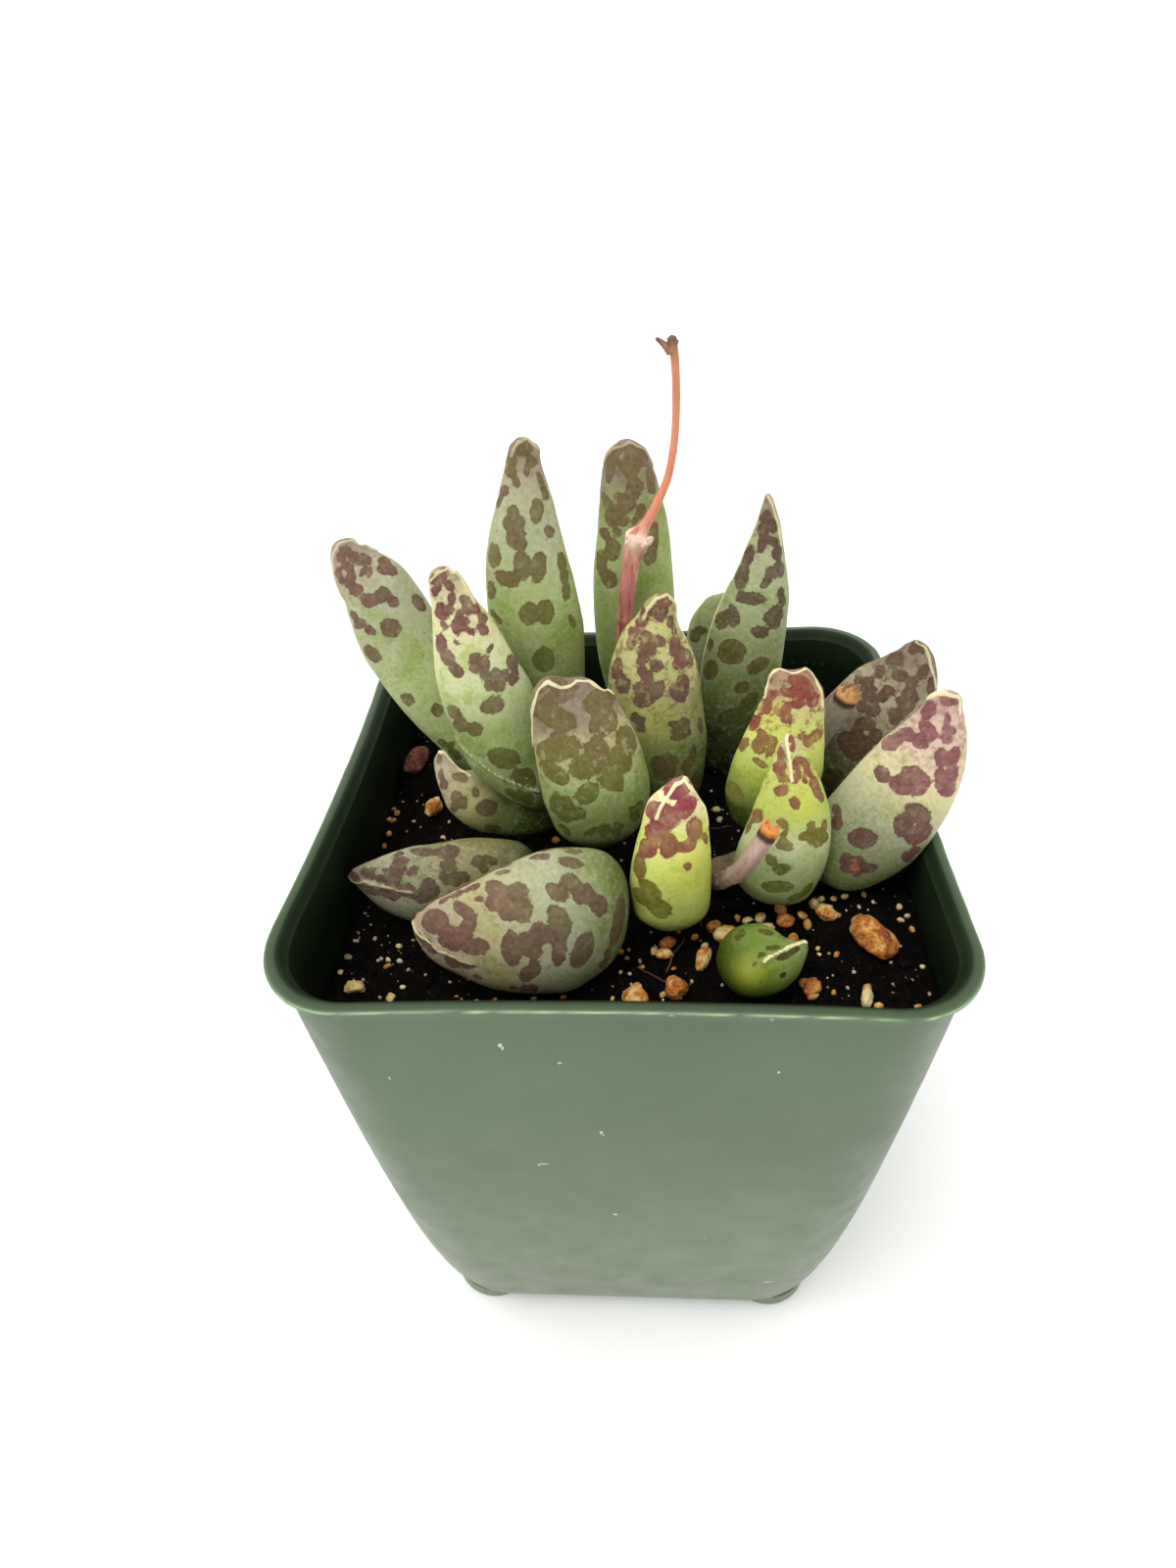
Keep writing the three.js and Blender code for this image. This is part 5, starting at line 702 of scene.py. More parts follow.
# Loose grains on the soil: x, y, size, kind (t tan, o orange, w pale, g grey).
GRAINS = [
    (9.4, -13.1, 1.7, "t"), (10.1, -14.1, 1.1, "o"), (12.8, -13, 1.2, "w"), (14, -12.9, 1.5, "w"), (16.1, -11.8, 1.7, "t"), (19.5, -11.5, 1.6, "w"),
    (17, -15.5, 1.5, "o"), (17.7, -16.6, 1.2, "t"), (15.8, -16.9, 0.9, "w"), (3.3, -16.4, 1.2, "t"), (-0.6, -14.3, 0.9, "t"), (-0.1, -13.3, 0.8, "w"),
    (0, -16.1, 0.7, "t"), (10.6, 4.2, 1.1, "w"), (10.8, 2.4, 0.9, "g"), (-27.6, 2.2, 0.9, "t"), (-27.8, 0.4, 0.8, "o"), (-27.9, 6.6, 0.6, "g"),
    (-23.7, 8.2, 1.3, "t"), (-21.2, 2, 0.9, "w"), (-28.2, 5, 0.7, "t"), (-28, -16.4, 0.9, "g"), (-28.1, -18.7, 0.7, "t"), (-26.8, -20.3, 1.1, "t"),
    (-25.4, -21, 0.8, "g"), (-23.1, -14.6, 0.7, "w"), (-22.5, -16.9, 0.8, "g"), (-23.5, -17.9, 0.9, "t"), (-21.3, -18.2, 0.5, "g"), (-24.5, -16.6, 0.5, "g"),
    (27.6, -12.7, 0.8, "w"), (28.1, -14, 0.7, "g"), (28.2, -15.8, 0.8, "o"), (22.1, -20.2, 0.5, "g"), (22.8, -22.6, 1.1, "t"), (17.3, -22, 1.5, "o"),
    (23.5, -24.6, 1, "t"), (28.2, -20.4, 0.6, "w"), (-0.7, -22.2, 0.6, "w"), (20.3, -10.7, 0.9, "w"), (21, -11.9, 0.7, "w"), (21.6, -13.3, 0.8, "t"),
    (23.8, -12.3, 0.6, "g"), (7.8, -19.4, 0.6, "g"), (8.4, -15.8, 1.1, "w"), (1.9, -17.4, 0.6, "g"), (5.2, -19, 0.6, "t"), (14.9, -14.5, 0.9, "t"),
    (11.8, -12.4, 1, "t"), (25, -23.1, 0.5, "g"), (28.2, -23.4, 0.5, "g"), (-28.2, 5.4, 0.5, "g"), (-27.3, 8.7, 0.4, "g"), (-19.6, -18.5, 0.4, "g"),
    (-25.7, -13.9, 0.6, "g"), (-20.9, 4.8, 0.6, "g"), (-25.2, 4.9, 0.5, "g"), (18.5, -14.2, 1.3, "t"), (21.6, -10.6, 0.9, "t"), (22.7, -10.5, 0.9, "w"),
    (24.7, -10.6, 1.3, "o"), (27.4, -14.5, 0.8, "t"), (16.6, -13.9, 0.8, "t"), (18.2, -12.9, 1.2, "t"), (4.7, -15.5, 1.9, "o"), (4.7, -17.4, 1.2, "t"),
    (4.1, -22.3, 0.8, "t"), (7.4, -14.5, 1, "o"), (17.8, -23.3, 1.2, "t"), (19.8, -22.8, 0.6, "t"), (19.2, -17.1, 0.6, "t"), (19.2, -17.8, 0.5, "w"),
    (20.8, -18, 0.9, "t"), (6.9, -20.4, 0.5, "w"), (26.8, -25.1, 0.7, "t"), (26.9, -21.9, 0.5, "g"), (-27.4, 6, 1, "t"), (-27.5, 4.7, 0.8, "t"),
    (-7.8, 0.6, 1.1, "t"), (-23.7, -16.8, 0.7, "w"), (-22.6, -21.2, 1.2, "t"), (-21.6, -20.1, 0.7, "w"), (-23.8, -21.2, 0.6, "g"), (-25.7, -19.4, 0.5, "g"),
    (-27.5, -14.3, 0.5, "g"), (-20.5, 0.3, 0.6, "t"), (-24.4, -0.6, 0.5, "g"), (-27.9, -6.4, 0.5, "g"), (-27.7, -10.1, 0.5, "g"), (-16, -21.3, 0.6, "t"),
    (-14, -21.7, 0.6, "g"), (-12.1, -22, 0.7, "t"), (-8.3, -21.9, 0.6, "g"), (-5.5, -21.5, 0.7, "t"), (-2.7, -20.9, 0.6, "g"), (2.1, -18.3, 0.7, "t"),
    (0.6, -16.9, 0.6, "g"), (0, -18.8, 0.5, "w"), (6.6, -12.7, 0.9, "t"), (5.8, -13.7, 0.8, "o"),
]
OVER, STONE_OVER = [], []


# ---------------------------------------------------------------- palette
C = {
    "shade": (46, 54, 10), "moss": (64, 78, 18), "deep": (86, 94, 44), "leaf": (118, 129, 72), "green": (137, 150, 92), "glaucous": (157, 167, 115), "stone": (152, 154, 122),
    "silver": (180, 186, 141), "yellow": (164, 174, 82), "lemon": (188, 194, 100), "cream": (202, 193, 146), "warm": (150, 142, 96), "mauve": (158, 145, 119), "pink": (178, 152, 122),
    "rosy": (200, 172, 154), "bloom": (202, 205, 182), "margin": (232, 225, 176), "wash": (104, 82, 76), "straw": (178, 174, 112), "dim": (124, 108, 88), "fresh": (92, 116, 34), "lime": (116, 138, 50), "scar": (168, 104, 66), "glow": (202, 204, 74),
}
C = {k: srgb(*v) for k, v in C.items()}
# spot colours from green to magenta
TONES = {
    "": ((97, 104, 44), (104, 94, 48), (108, 84, 68), (114, 68, 60)),
    "leaf_front_small": ((120, 126, 44), (118, 102, 44), (128, 80, 58), (128, 48, 60)),
    "leaf_right_wavy": ((122, 128, 44), (136, 124, 58), (134, 92, 60), (128, 60, 54)),
    "leaf_right_front": ((88, 106, 24), (118, 114, 44), (132, 94, 62), (126, 60, 58)),
    "leaf_leaning_right_front": ((100, 100, 56), (106, 88, 58), (110, 78, 68), (134, 80, 82)),
    "leaf_leaning_right_back": ((84, 84, 40), (96, 80, 48), (104, 78, 60), (108, 68, 58)),
    "leaf_bud": ((96, 104, 30), (100, 92, 36), (78, 56, 34), (76, 46, 36)),
    "leaf_lying_left_front": ((96, 100, 40), (108, 98, 58), (110, 82, 68), (112, 66, 60)),
}

# per leaf: ground colours from base to tip; strength and start of the dusky tip; strength and start of fine mottling; strength of the pale margin
LOOK = {
    "leaf_far_left": ([(0.08, "deep"), (0.3, "green"), (0.55, "glaucous"), (0.8, "stone"), (0.97, "mauve")], 0.6, 0.86, 0.3, 0.7, 0.4),
    "leaf_left": ([(0, "shade"), (0.08, "moss"), (0.2, "green"), (0.42, "green"), (0.62, "silver"), (0.9, "cream")], 0.75, 0.86, 0.6, 0.72, 0.6),
    "leaf_tall_left": ([(0.15, "leaf"), (0.42, "leaf"), (0.62, "green"), (0.82, "stone"), (0.97, "mauve")], 0.9, 0.84, 0.25, 0.75, 0.35),
    "leaf_tall_middle": ([(0.15, "leaf"), (0.42, "green"), (0.7, "green"), (0.85, "leaf"), (0.97, "mauve")], 0.95, 0.82, 0.5, 0.72, 0.3),
    "leaf_middle": ([(0.05, "shade"), (0.22, "deep"), (0.42, "leaf"), (0.6, "warm"), (0.76, "straw"), (0.97, "straw")], 0.7, 0.88, 0.85, 0.4, 0.6),
    "leaf_front_middle": ([(0.03, "deep"), (0.25, "leaf"), (0.45, "green"), (0.65, "warm"), (0.85, "mauve")], 0.9, 0.7, 0.7, 0.3, 0.8),
    "leaf_low_left": ([(0.03, "shade"), (0.25, "moss"), (0.45, "leaf"), (0.65, "warm"), (0.9, "mauve")], 0.4, 0.86, 0.4, 0.6, 0.9),
    "leaf_lying_left_back": ([(0.03, "deep"), (0.25, "warm"), (0.5, "warm"), (0.7, "stone"), (0.95, "mauve")], 0.75, 0.84, 0.55, 0.3, 0.45),
    "leaf_lying_left_front": ([(0, "moss"), (0.16, "leaf"), (0.35, "stone"), (0.6, "warm"), (0.8, "mauve"), (0.97, "pink")], 0.5, 0.88, 0.35, 0.3, 1.0),
    "leaf_front_small": ([(0, "leaf"), (0.18, "yellow"), (0.5, "lemon"), (0.68, "lemon"), (0.85, "cream"), (0.97, "cream")], 0.1, 0.92, 0.4, 0.6, 1.0),
    "leaf_tall_right": ([(0.05, "shade"), (0.22, "moss"), (0.42, "leaf"), (0.62, "glaucous"), (0.82, "silver"), (0.97, "cream")], 0.85, 0.84, 0.55, 0.7, 0.6),
    "leaf_back_right": ([(0.2, "leaf"), (0.6, "stone"), (0.9, "glaucous")], 0.3, 0.85, 0.2, 0.6, 0.5),
    "leaf_right_wavy": ([(0.02, "moss"), (0.22, "moss"), (0.42, "yellow"), (0.62, "lemon"), (0.8, "straw"), (0.97, "pink")], 0.8, 0.8, 1.0, 0.55, 0.8),
    "leaf_right_front": ([(0.02, "leaf"), (0.2, "green"), (0.42, "silver"), (0.6, "yellow"), (0.82, "yellow"), (0.97, "cream")], 0.5, 0.86, 0.8, 0.6, 0.9),
    "leaf_leaning_right_back": ([(0.08, "shade"), (0.25, "deep"), (0.45, "dim"), (0.65, "mauve"), (0.9, "mauve")], 0.7, 0.74, 0.9, 0.4, 0.6),
    "leaf_leaning_right_front": ([(0.02, "leaf"), (0.2, "leaf"), (0.42, "stone"), (0.62, "cream"), (0.85, "rosy")], 0.6, 0.86, 0.7, 0.6, 0.75),
    "leaf_bud": ([(0, "moss"), (0.3, "fresh"), (0.6, "lime"), (0.9, "green")], 0.1, 0.9, 0.15, 0.6, 1.0),
}
# yellow patches, the one on the bud a painted highlight, and little corky scars: (length, angle, radius mm, strength)
GLOW = {"leaf_bud": [(0.3, 258, 1.6, 0.42)], "leaf_right_wavy": [(0.7, 120, 2.2, 0.5), (0.5, 60, 2.0, 0.4)], "leaf_front_small": [(0.5, 60, 2.4, 0.5), (0.72, 40, 1.2, 0.5)], "leaf_right_front": [(0.66, 75, 1.5, 0.6)],
        "leaf_tall_left": [(0.3, 100, 4.0, 0.3)], "leaf_middle": [(0.55, 100, 2.4, 0.35)]}
SCARS = {"leaf_leaning_right_front": [(0.212, 76, 0.5, 1.0), (0.235, 84, 0.3, 1.0)], "leaf_lying_left_front": [(0.512, 115, 0.3, 1.0)]}

# small swellings and notches of a tip: (length, angle, height mm, radius mm)
LOBES = {
    "leaf_front_middle": [(0.965, 150, 0.35, 1.3), (0.968, 100, -0.55, 0.8), (0.985, 50, 0.3, 1.4), (0.9, 178, 0.2, 1.2)],
    "leaf_right_wavy": [(0.95, 172, -0.25, 0.7), (0.975, 150, 0.3, 0.9), (0.985, 85, -0.25, 0.7), (0.98, 40, 0.3, 0.9), (0.92, 20, -0.15, 0.8)],
    "leaf_far_left": [(0.97, 130, 0.25, 1.2)],
    "leaf_middle": [(0.93, 135, 0.2, 1.0), (0.97, 60, 0.25, 0.8)],
    "leaf_lying_left_front": [(0.93, 70, 0.2, 1.0), (0.86, 82, -0.15, 0.8), (0.79, 92, 0.2, 0.9)],
    "leaf_leaning_right_front": [(0.97, 185, 0.2, 0.9), (0.98, 40, 0.2, 0.9)],
}


class Leaf:
    def __init__(self, rows, cap_base, cap_tip):
        R = np.array(rows, float)
        self.C, self.S, self.a, self.b = R[:, :3], R[:, 3:6], R[:, 6], R[:, 7]
        s = np.concatenate([[0], np.cumsum(np.linalg.norm(np.diff(self.C, axis=0), axis=1))])
        self.length = s[-1]
        self.s = s / s[-1]
        self.cb, self.ct = cap_base, cap_tip

    def at(self, t, th):
        """surface points of arrays t, th"""
        t, th = np.atleast_1d(np.asarray(t, float)), np.atleast_1d(np.asarray(th, float))
        s = self.s
        P = hermite(s, self.C, t)
        T = hermite(s, self.C, np.minimum(t + 1e-3, 1)) - hermite(s, self.C, np.maximum(t - 1e-3, 0))
        T /= np.linalg.norm(T, axis=1)[:, None]
        i = np.clip(np.searchsorted(s, t, side="right") - 1, 0, len(s) - 2)
        q = ((t - s[i]) / (s[i + 1] - s[i]))[:, None]
        side = self.S[i] + (self.S[i + 1] - self.S[i]) * q
        side = side - T * (side * T).sum(1)[:, None]
        side /= np.linalg.norm(side, axis=1)[:, None]
        N = np.cross(side, T)
        cap = lambda d, w: np.sqrt(np.maximum(0, 1 - (1 - np.clip(d / w, 0, 1)) ** 2))
        rnd = cap(t, self.cb) * cap(1 - t, self.ct)
        A, B = monotone(s, self.a, t) * rnd, monotone(s, self.b, t) * rnd
        sn = np.sin(th)
        return P + side * (np.cos(th) * A)[:, None] + N * (np.sign(sn) * np.abs(sn) ** (1 + 0.25 * t) * B)[:, None]

    def frame(self, t, th):
        X = self.at(t, th)[0]
        a = (self.at(min(t + 0.004, 1), th) - self.at(max(t - 0.004, 0), th))[0]
        a /= np.linalg.norm(a)
        b = (self.at(t, th + 0.02) - self.at(t, th - 0.02))[0]
        b -= a * (a @ b)
        b /= np.linalg.norm(b)
        return X, a, b, np.cross(a, b)


# every leaf is painted darker toward its base and lighter higher up, the spots more so: partly the leaf's own deeper
# green at the base, partly painted shade where the bases crowd together and painted light on the upper parts; SHADE
# paints whole leaves darker where they lie in shade and lighter where they face the light
BINS = (0.1, 0.3, 0.5, 0.7, 0.865)
GROUND_LIGHT_AND_SHADE = (0.85, 1.0, 1.12, 1.18, 1.12)
SPOT_LIGHT_AND_SHADE = (0.65, 0.78, 0.88, 0.95, 0.95)
SHADE = {"leaf_lying_left_back": 0.75, "leaf_tall_right": 0.75, "leaf_leaning_right_back": 0.85, "leaf_bud": 0.85, "leaf_far_left": 1.1, "leaf_left": 1.1, "leaf_tall_left": 1.1, "leaf_tall_middle": 1.2,
         "leaf_low_left": 1.15, "leaf_front_middle": 1.15, "leaf_lying_left_front": 1.15, "leaf_front_small": 1.2, "leaf_right_wavy": 1.15, "leaf_right_front": 1.15}
# hue of the spots from green 0 to magenta 3: at the base, at the tip
HUES = {"leaf_far_left": (0.3, 2.2), "leaf_left": (0.1, 2.8), "leaf_tall_left": (0.0, 1.3), "leaf_tall_middle": (0.0, 1.5), "leaf_middle": (0.8, 2.7), "leaf_front_middle": (0.2, 1.3), "leaf_low_left": (0.4, 1.8),
        "leaf_lying_left_back": (1.2, 2.3), "leaf_lying_left_front": (1.5, 2.6), "leaf_front_small": (0.3, 3.0), "leaf_tall_right": (0.1, 2.1), "leaf_back_right": (0.5, 1.5), "leaf_right_wavy": (0.2, 2.9),
        "leaf_right_front": (0.0, 2.9), "leaf_leaning_right_back": (1.2, 2.2), "leaf_leaning_right_front": (1.9, 3.0), "leaf_bud": (0.2, 2.4)}
WORN = {"leaf_front_middle": 0.6, "leaf_middle": 0.4, "leaf_right_wavy": 0.3, "leaf_lying_left_back": 0.3, "leaf_tall_middle": 0.3}
# how far the spots spread beyond their drawn size, mm; how much pale bloom lies on the skin; colour of the dusky tip
SPREAD = {"leaf_right_wavy": 0.2, "leaf_front_small": 0.1, "leaf_leaning_right_front": 0.07, "leaf_leaning_right_back": 0.14, "leaf_middle": 0.1, "leaf_tall_middle": 0.18, "leaf_tall_right": 0.07, "leaf_lying_left_back": 0.1, "leaf_lying_left_front": 0.05, "leaf_far_left": 0.05, "leaf_left": 0.02, "leaf_tall_left": 0.04, "leaf_bud": 0.0}
BLOOM = {"leaf_bud": 0.15, "leaf_front_small": 0.5, "leaf_right_front": 0.5, "leaf_right_wavy": 0.5}
WASH = {"leaf_left": (104, 58, 60), "leaf_right_wavy": (112, 72, 56), "leaf_right_front": (122, 66, 60), "leaf_tall_right": (98, 74, 66), "leaf_leaning_right_front": (144, 90, 92), "leaf_middle": (118, 76, 62), "leaf_leaning_right_back": (108, 84, 76)}


def leaf_material(name, leaf):
    ground, dusk, _, mottle, mottle_from, margin = LOOK[leaf]
    N = Nodes(name, Roughness=0.5, IOR=1.45, Specular_IOR_Level=0.14, Subsurface_Weight=0.05, Subsurface_Scale=0.0008, Subsurface_Radius=(0.8, 0.9, 0.3))
    tl = N.attr("along")
    big, mid, fine = N.noise(0.16, 3), N.noise(0.5, 4, 0.62), N.noise(2.4, 3, 0.7)
    edge, tiny = N.noise(1.5, 3, 0.6), N.noise(2.9, 3, 0.65)
    cloud = N.noise(0.3, 5, 0.62)
    wob = N.math("MULTIPLY_ADD", big, 0.12, N.math("ADD", tl, -0.06))
    ps, cs = [g[0] for g in ground], np.array([C[g[1]] for g in ground])
    # painted light and shade: the ground colours are scaled along the leaf and for the whole leaf
    ground_light_shade, spot_light_shade = [v * SHADE.get(leaf, 1) for v in GROUND_LIGHT_AND_SHADE], [v * SHADE.get(leaf, 1) for v in SPOT_LIGHT_AND_SHADE]
    pos = sorted(set([0.02, 0.98] + ps + list(BINS)))
    stops = [(q, tuple(float(np.interp(q, ps, cs[:, k]) * np.interp(q, BINS, ground_light_shade)) for k in range(3)) + (1.0,)) for q in pos]
    col = N.ramp(wob, stops)
    # greener hollows, pale bloom, grain
    col = N.mix(N.smooth(cloud, 0.52, 0.32, 0, 0.95), col, (0.72, 0.8, 0.52, 1), "MULTIPLY")
    col = N.mix(N.smooth(mid, 0.5, 0.74, 0, 0.34 * BLOOM.get(leaf, 1)), col, N.mix(0.55, col, C["bloom"]))
    col = N.mix(N.smooth(fine, 0.52, 0.34, 0, 0.8), col, (0.82, 0.84, 0.76, 1), "MULTIPLY")
    col = N.mix(N.smooth(fine, 0.52, 0.7, 0, 0.22 * BLOOM.get(leaf, 1)), col, C["bloom"])
    # yellow patches; on the bud a painted highlight
    col = N.mix(N.attr("glow"), col, C["glow"])
    # dusky tip
    dusky = N.math("MULTIPLY", N.attr("dusk"), N.smooth(mid, 0.25, 0.7, 0.45, 1.0))
    col = N.mix(N.math("MULTIPLY", dusky, dusk), col, srgb(*WASH[leaf]) if leaf in WASH else C["wash"])
    # spots: the distance to the nearest one, with a ragged edge
    d = N.math("ADD", N.attr("spot"), N.math("MULTIPLY_ADD", edge, 0.62, -0.33 - SPREAD.get(leaf, 0.05)))
    d = N.math("ADD", d, N.math("MULTIPLY_ADD", tiny, 0.36, -0.16))
    top = max(spot_light_shade)
    tones = TONES.get(leaf, TONES[""])
    sc = N.ramp(N.attr("tone"), [(k / 3, tuple(min(v * top, 1.0) for v in srgb(*c)[:3]) + (1.0,)) for k, c in enumerate(tones)])
    # the spots are painted darker toward the base, partly their own colour, partly painted shade
    sc = N.mix(1.0, sc, N.ramp(tl, [(q, (v / top, v / top, v / top, 1)) for q, v in zip(BINS, spot_light_shade)]), "MULTIPLY")
    sc = N.mix(N.smooth(fine, 0.5, 0.7, 0, 0.18), sc, N.mix(0.4, sc, C["bloom"]))
    sc = N.mix(N.smooth(fine, 0.5, 0.32, 0, 0.9), sc, (0.72, 0.68, 0.68, 1), "MULTIPLY")
    rim = N.smooth(N.math("ABSOLUTE", N.math("ADD", d, 0.16)), 0.02, 0.16, 0.4, 0.0)
    sc = N.mix(rim, sc, (0.74, 0.66, 0.66, 1), "MULTIPLY")
    col = N.mix(N.smooth(d, 0.9, 0.1, 0, 0.05), col, C["bloom"])
    # some spots are worn through or faded
    worn = N.smooth(N.noise(0.95, 4, 0.7), 0.47, 0.36, 0, WORN.get(leaf, 0.15))
    mask = N.math("MULTIPLY", N.smooth(d, 0.05, -0.1), N.math("SUBTRACT", N.smooth(mid, 0.25, 0.6, 0.8, 0.98), worn))
    # fine mottling near the tip and stray freckles
    mot = N.math("MULTIPLY", N.smooth(N.noise(1.15, 4, 0.7), 0.5, 0.6), N.smooth(tl, mottle_from, min(mottle_from + 0.22, 0.99), 0, mottle))
    fr = N.math("MULTIPLY", N.smooth(N.voronoi(0.9), 0.17, 0.1), N.smooth(N.noise(0.35, 1), 0.55, 0.62, 0, 0.5))
    col = N.mix(N.math("MAXIMUM", mask, N.math("MAXIMUM", N.math("MULTIPLY", mot, 0.72), fr)), col, sc)
    # corky scars
    q = N.math("ADD", N.attr("scar"), N.math("MULTIPLY_ADD", edge, 0.5, -0.25))
    col = N.mix(N.smooth(q, 1.0, 0.8), col, N.mix(N.smooth(tiny, 0.4, 0.6), C["scar"], N.mix(0.5, col, C["scar"])))
    # horny margin
    m = N.smooth(N.math("MULTIPLY_ADD", tiny, 0.3, N.math("ADD", N.attr("margin"), -0.15)), 0.35, 0.68, 0, margin)
    col = N.mix(m, col, N.mix(N.smooth(edge, 0.5, 0.72, 0, 0.45), C["margin"], C["cream"]))
    h = N.math("ADD", N.math("MULTIPLY", fine, 0.6), N.math("MULTIPLY", mid, 0.8))
    h = N.math("MULTIPLY_ADD", mask, -0.35, h)
    return N.set(Base_Color=col, Roughness=N.lin(mid, 0.2, 0.8, 0.42, 0.58), Normal=N.bump(h, 0.06, 0.7))


def seeded(name):
    return np.random.default_rng(sum(ord(c) * (i + 3) for i, c in enumerate(name)))


NT, NU = 150, 128


def make_leaf(name):
    cb, ct, rows = LEAVES[name]
    L = Leaf(rows, cb, ct)
    dusk_from = LOOK[name][2]
    u = np.arange(1, NT) / NT
    t = u - 0.8 * np.sin(2 * np.pi * u) / (2 * np.pi)
    v = np.arange(NU) * 2 * np.pi / NU
    th = v - 0.22 * np.sin(2 * v)
    T, TH = np.meshgrid(t, th, indexing="ij")
    X = L.at(T.ravel(), TH.ravel())
    # outward normals
    Xg = X.reshape(NT - 1, NU, 3)
    du = np.gradient(Xg, axis=0)
    dv = np.roll(Xg, -1, 1) - np.roll(Xg, 1, 1)
    n = np.cross(dv, du)
    n /= np.maximum(np.linalg.norm(n, axis=2), 1e-9)[..., None]
    cen = Xg.mean(1, keepdims=True)
    n *= np.sign(((Xg - cen) * n).sum(2).sum())
    n = n.reshape(-1, 3)
    # spots
    rng = seeded(name)
    lo_, hi_ = HUES[name]
    marks = [tuple(s) + (float(np.clip(lo_ + (hi_ - lo_) * step(s[0], 0.2, 0.85) + rng.uniform(-0.35, 0.35), 0, 3)),) for s in SPOTS[name]]
    back = []
    for s in marks if name != "leaf_bud" else []:
        back.append((float(np.clip(s[0] + rng.uniform(-0.04, 0.04), 0.05, 0.985)), -s[1] + rng.uniform(-14, 14), s[2] * rng.uniform(0.8, 1.15), s[3] * rng.uniform(0.8, 1.15), s[4] + rng.uniform(-30, 30), s[5]))
    for _ in range(max(0, 9 - len(marks)) if name != "leaf_bud" else 0):
        back.append((rng.uniform(0.35, 0.95), rng.uniform(190, 350), rng.uniform(0.6, 1.4), rng.uniform(0.4, 0.9), rng.uniform(0, 180), 1))
    sd = np.full(len(X), 3.0)
    tone, weight = np.full(len(X), 1e-9), np.full(len(X), 1e-9)
    for tt, ang, a, b, rot, tn in marks + back:
        c0, e1, e2, e3 = L.frame(tt, math.radians(ang))
        D = X - c0
        cs, sn = math.cos(math.radians(rot)), math.sin(math.radians(rot))
        p, q, r = D @ (e1 * cs + e2 * sn), D @ (e2 * cs - e1 * sn), D @ e3
        rad = np.sqrt((p / a) ** 2 + (q / b) ** 2 + (r / (1.1 * max(a, b))) ** 2)
        f = (rad - 1) * math.sqrt(a * b)
        w = np.exp(-np.clip(f + 0.2, -1, 6) / 0.28)
        tone += w * tn / 3
        weight += w
        k = 0.28
        hh = np.clip(0.5 + 0.5 * (sd - f) / k, 0, 1)
        sd = sd * (1 - hh) + f * hh - k * hh * (1 - hh)
    sd = sd + 0.07 * noise(X * 0.9, 5) + 0.05 * noise(X * 2.1, 6)
    tone = np.clip(tone / weight, 0, 1)
    glow, scar = np.zeros(len(X)), np.full(len(X), 4.0)
    for tt, ang, r, g in GLOW.get(name, []):
        glow = np.maximum(glow, g * np.exp(-(np.linalg.norm(X - L.at(tt, math.radians(ang))[0], axis=1) / r) ** 2))
    for tt, ang, r, g in SCARS.get(name, []):
        scar = np.minimum(scar, np.linalg.norm(X - L.at(tt, math.radians(ang))[0], axis=1) / r)
    # margins
    mg = np.full(len(X), 9.0)
    for path in MARGINS.get(name, []):
        tt, aa = np.array([p[0] for p in path]), np.array([p[1] for p in path], float)
        k = np.linspace(0, len(path) - 1, 24 * len(path))
        pts = L.at(np.clip(np.interp(k, range(len(path)), tt), 0, 0.996), np.radians(np.interp(k, range(len(path)), aa)))
        for i in range(0, len(pts), 8):
            mg = np.minimum(mg, np.linalg.norm(X[:, None] - pts[None, i:i + 8], axis=2).min(1))
    # a faint margin runs round the flat edges of every tip
    flat = np.abs(np.sin(TH.ravel())) * np.interp(T.ravel(), L.s, L.b) * 1.5
    faint = flat + 3 * (1 - step(T.ravel(), dusk_from - 0.12, dusk_from + 0.08))
    wav = 1 + 0.45 * noise(X * 0.8, 31)
    mg = mg + 0.07 * noise(X * 1.9, 33)
    ridge = 0.13 * np.exp(-((mg / 0.22) ** 2)) * np.clip(wav, 0.3, 1.6) + 0.05 * np.exp(-((faint / 0.22) ** 2))
    groove = -0.04 * np.exp(-(((mg - 0.55) / 0.22) ** 2))
    soft = 0.16 * fbm(X * 0.16, 11, 2) + 0.035 * fbm(X * 0.7, 12, 2)
    for tt, ang, hgt, rad in LOBES.get(name, []):
        c0 = L.at(tt, math.radians(ang))[0]
        soft = soft + hgt * np.exp(-(np.linalg.norm(X - c0, axis=1) / rad) ** 2)
    soft = soft * step(T.ravel(), 0, 0.12)
    Y = X + n * (soft + ridge + groove)[:, None]
    first, last = L.C[0], L.C[-1]
    last = last + (Y.reshape(NT - 1, NU, 3)[-1].mean(0) - Xg[-1].mean(0))
    P, quads, tris, uv = loft(Y.reshape(NT - 1, NU, 3), first, last, t)
    ext = lambda a, f0, f1: np.concatenate([[f0], a, [f1]])
    attrs = {
        "along": ext(T.ravel(), 0, 1),
        "spot": ext(np.clip(sd, -2, 2.5), 2.5, sd[-NU:].mean()),
        "margin": ext(np.maximum(np.exp(-((mg / 0.17) ** 2)), 0.45 * np.exp(-((faint / 0.2) ** 2))), 0, np.exp(-((mg[-NU:].mean() / 0.3) ** 2))),
        "tone": ext(tone, tone[:NU].mean(), tone[-NU:].mean()),
        "glow": ext(glow, 0, glow[-NU:].mean()),
        "scar": ext(scar, 4, 4),
        "dusk": ext(step(T.ravel() + 0.03 * noise(X * 0.4, 9), dusk_from, dusk_from + 0.14), 0, 1),
    }
    OVER.append(P)
    o = new_object(name + "_skin", place(P), quads, tris, uv, attrs)
    finish_piece(o, leaf_material(name + "_look", name), name)
    return o


for _name in LEAVES:
    make_leaf(_name)


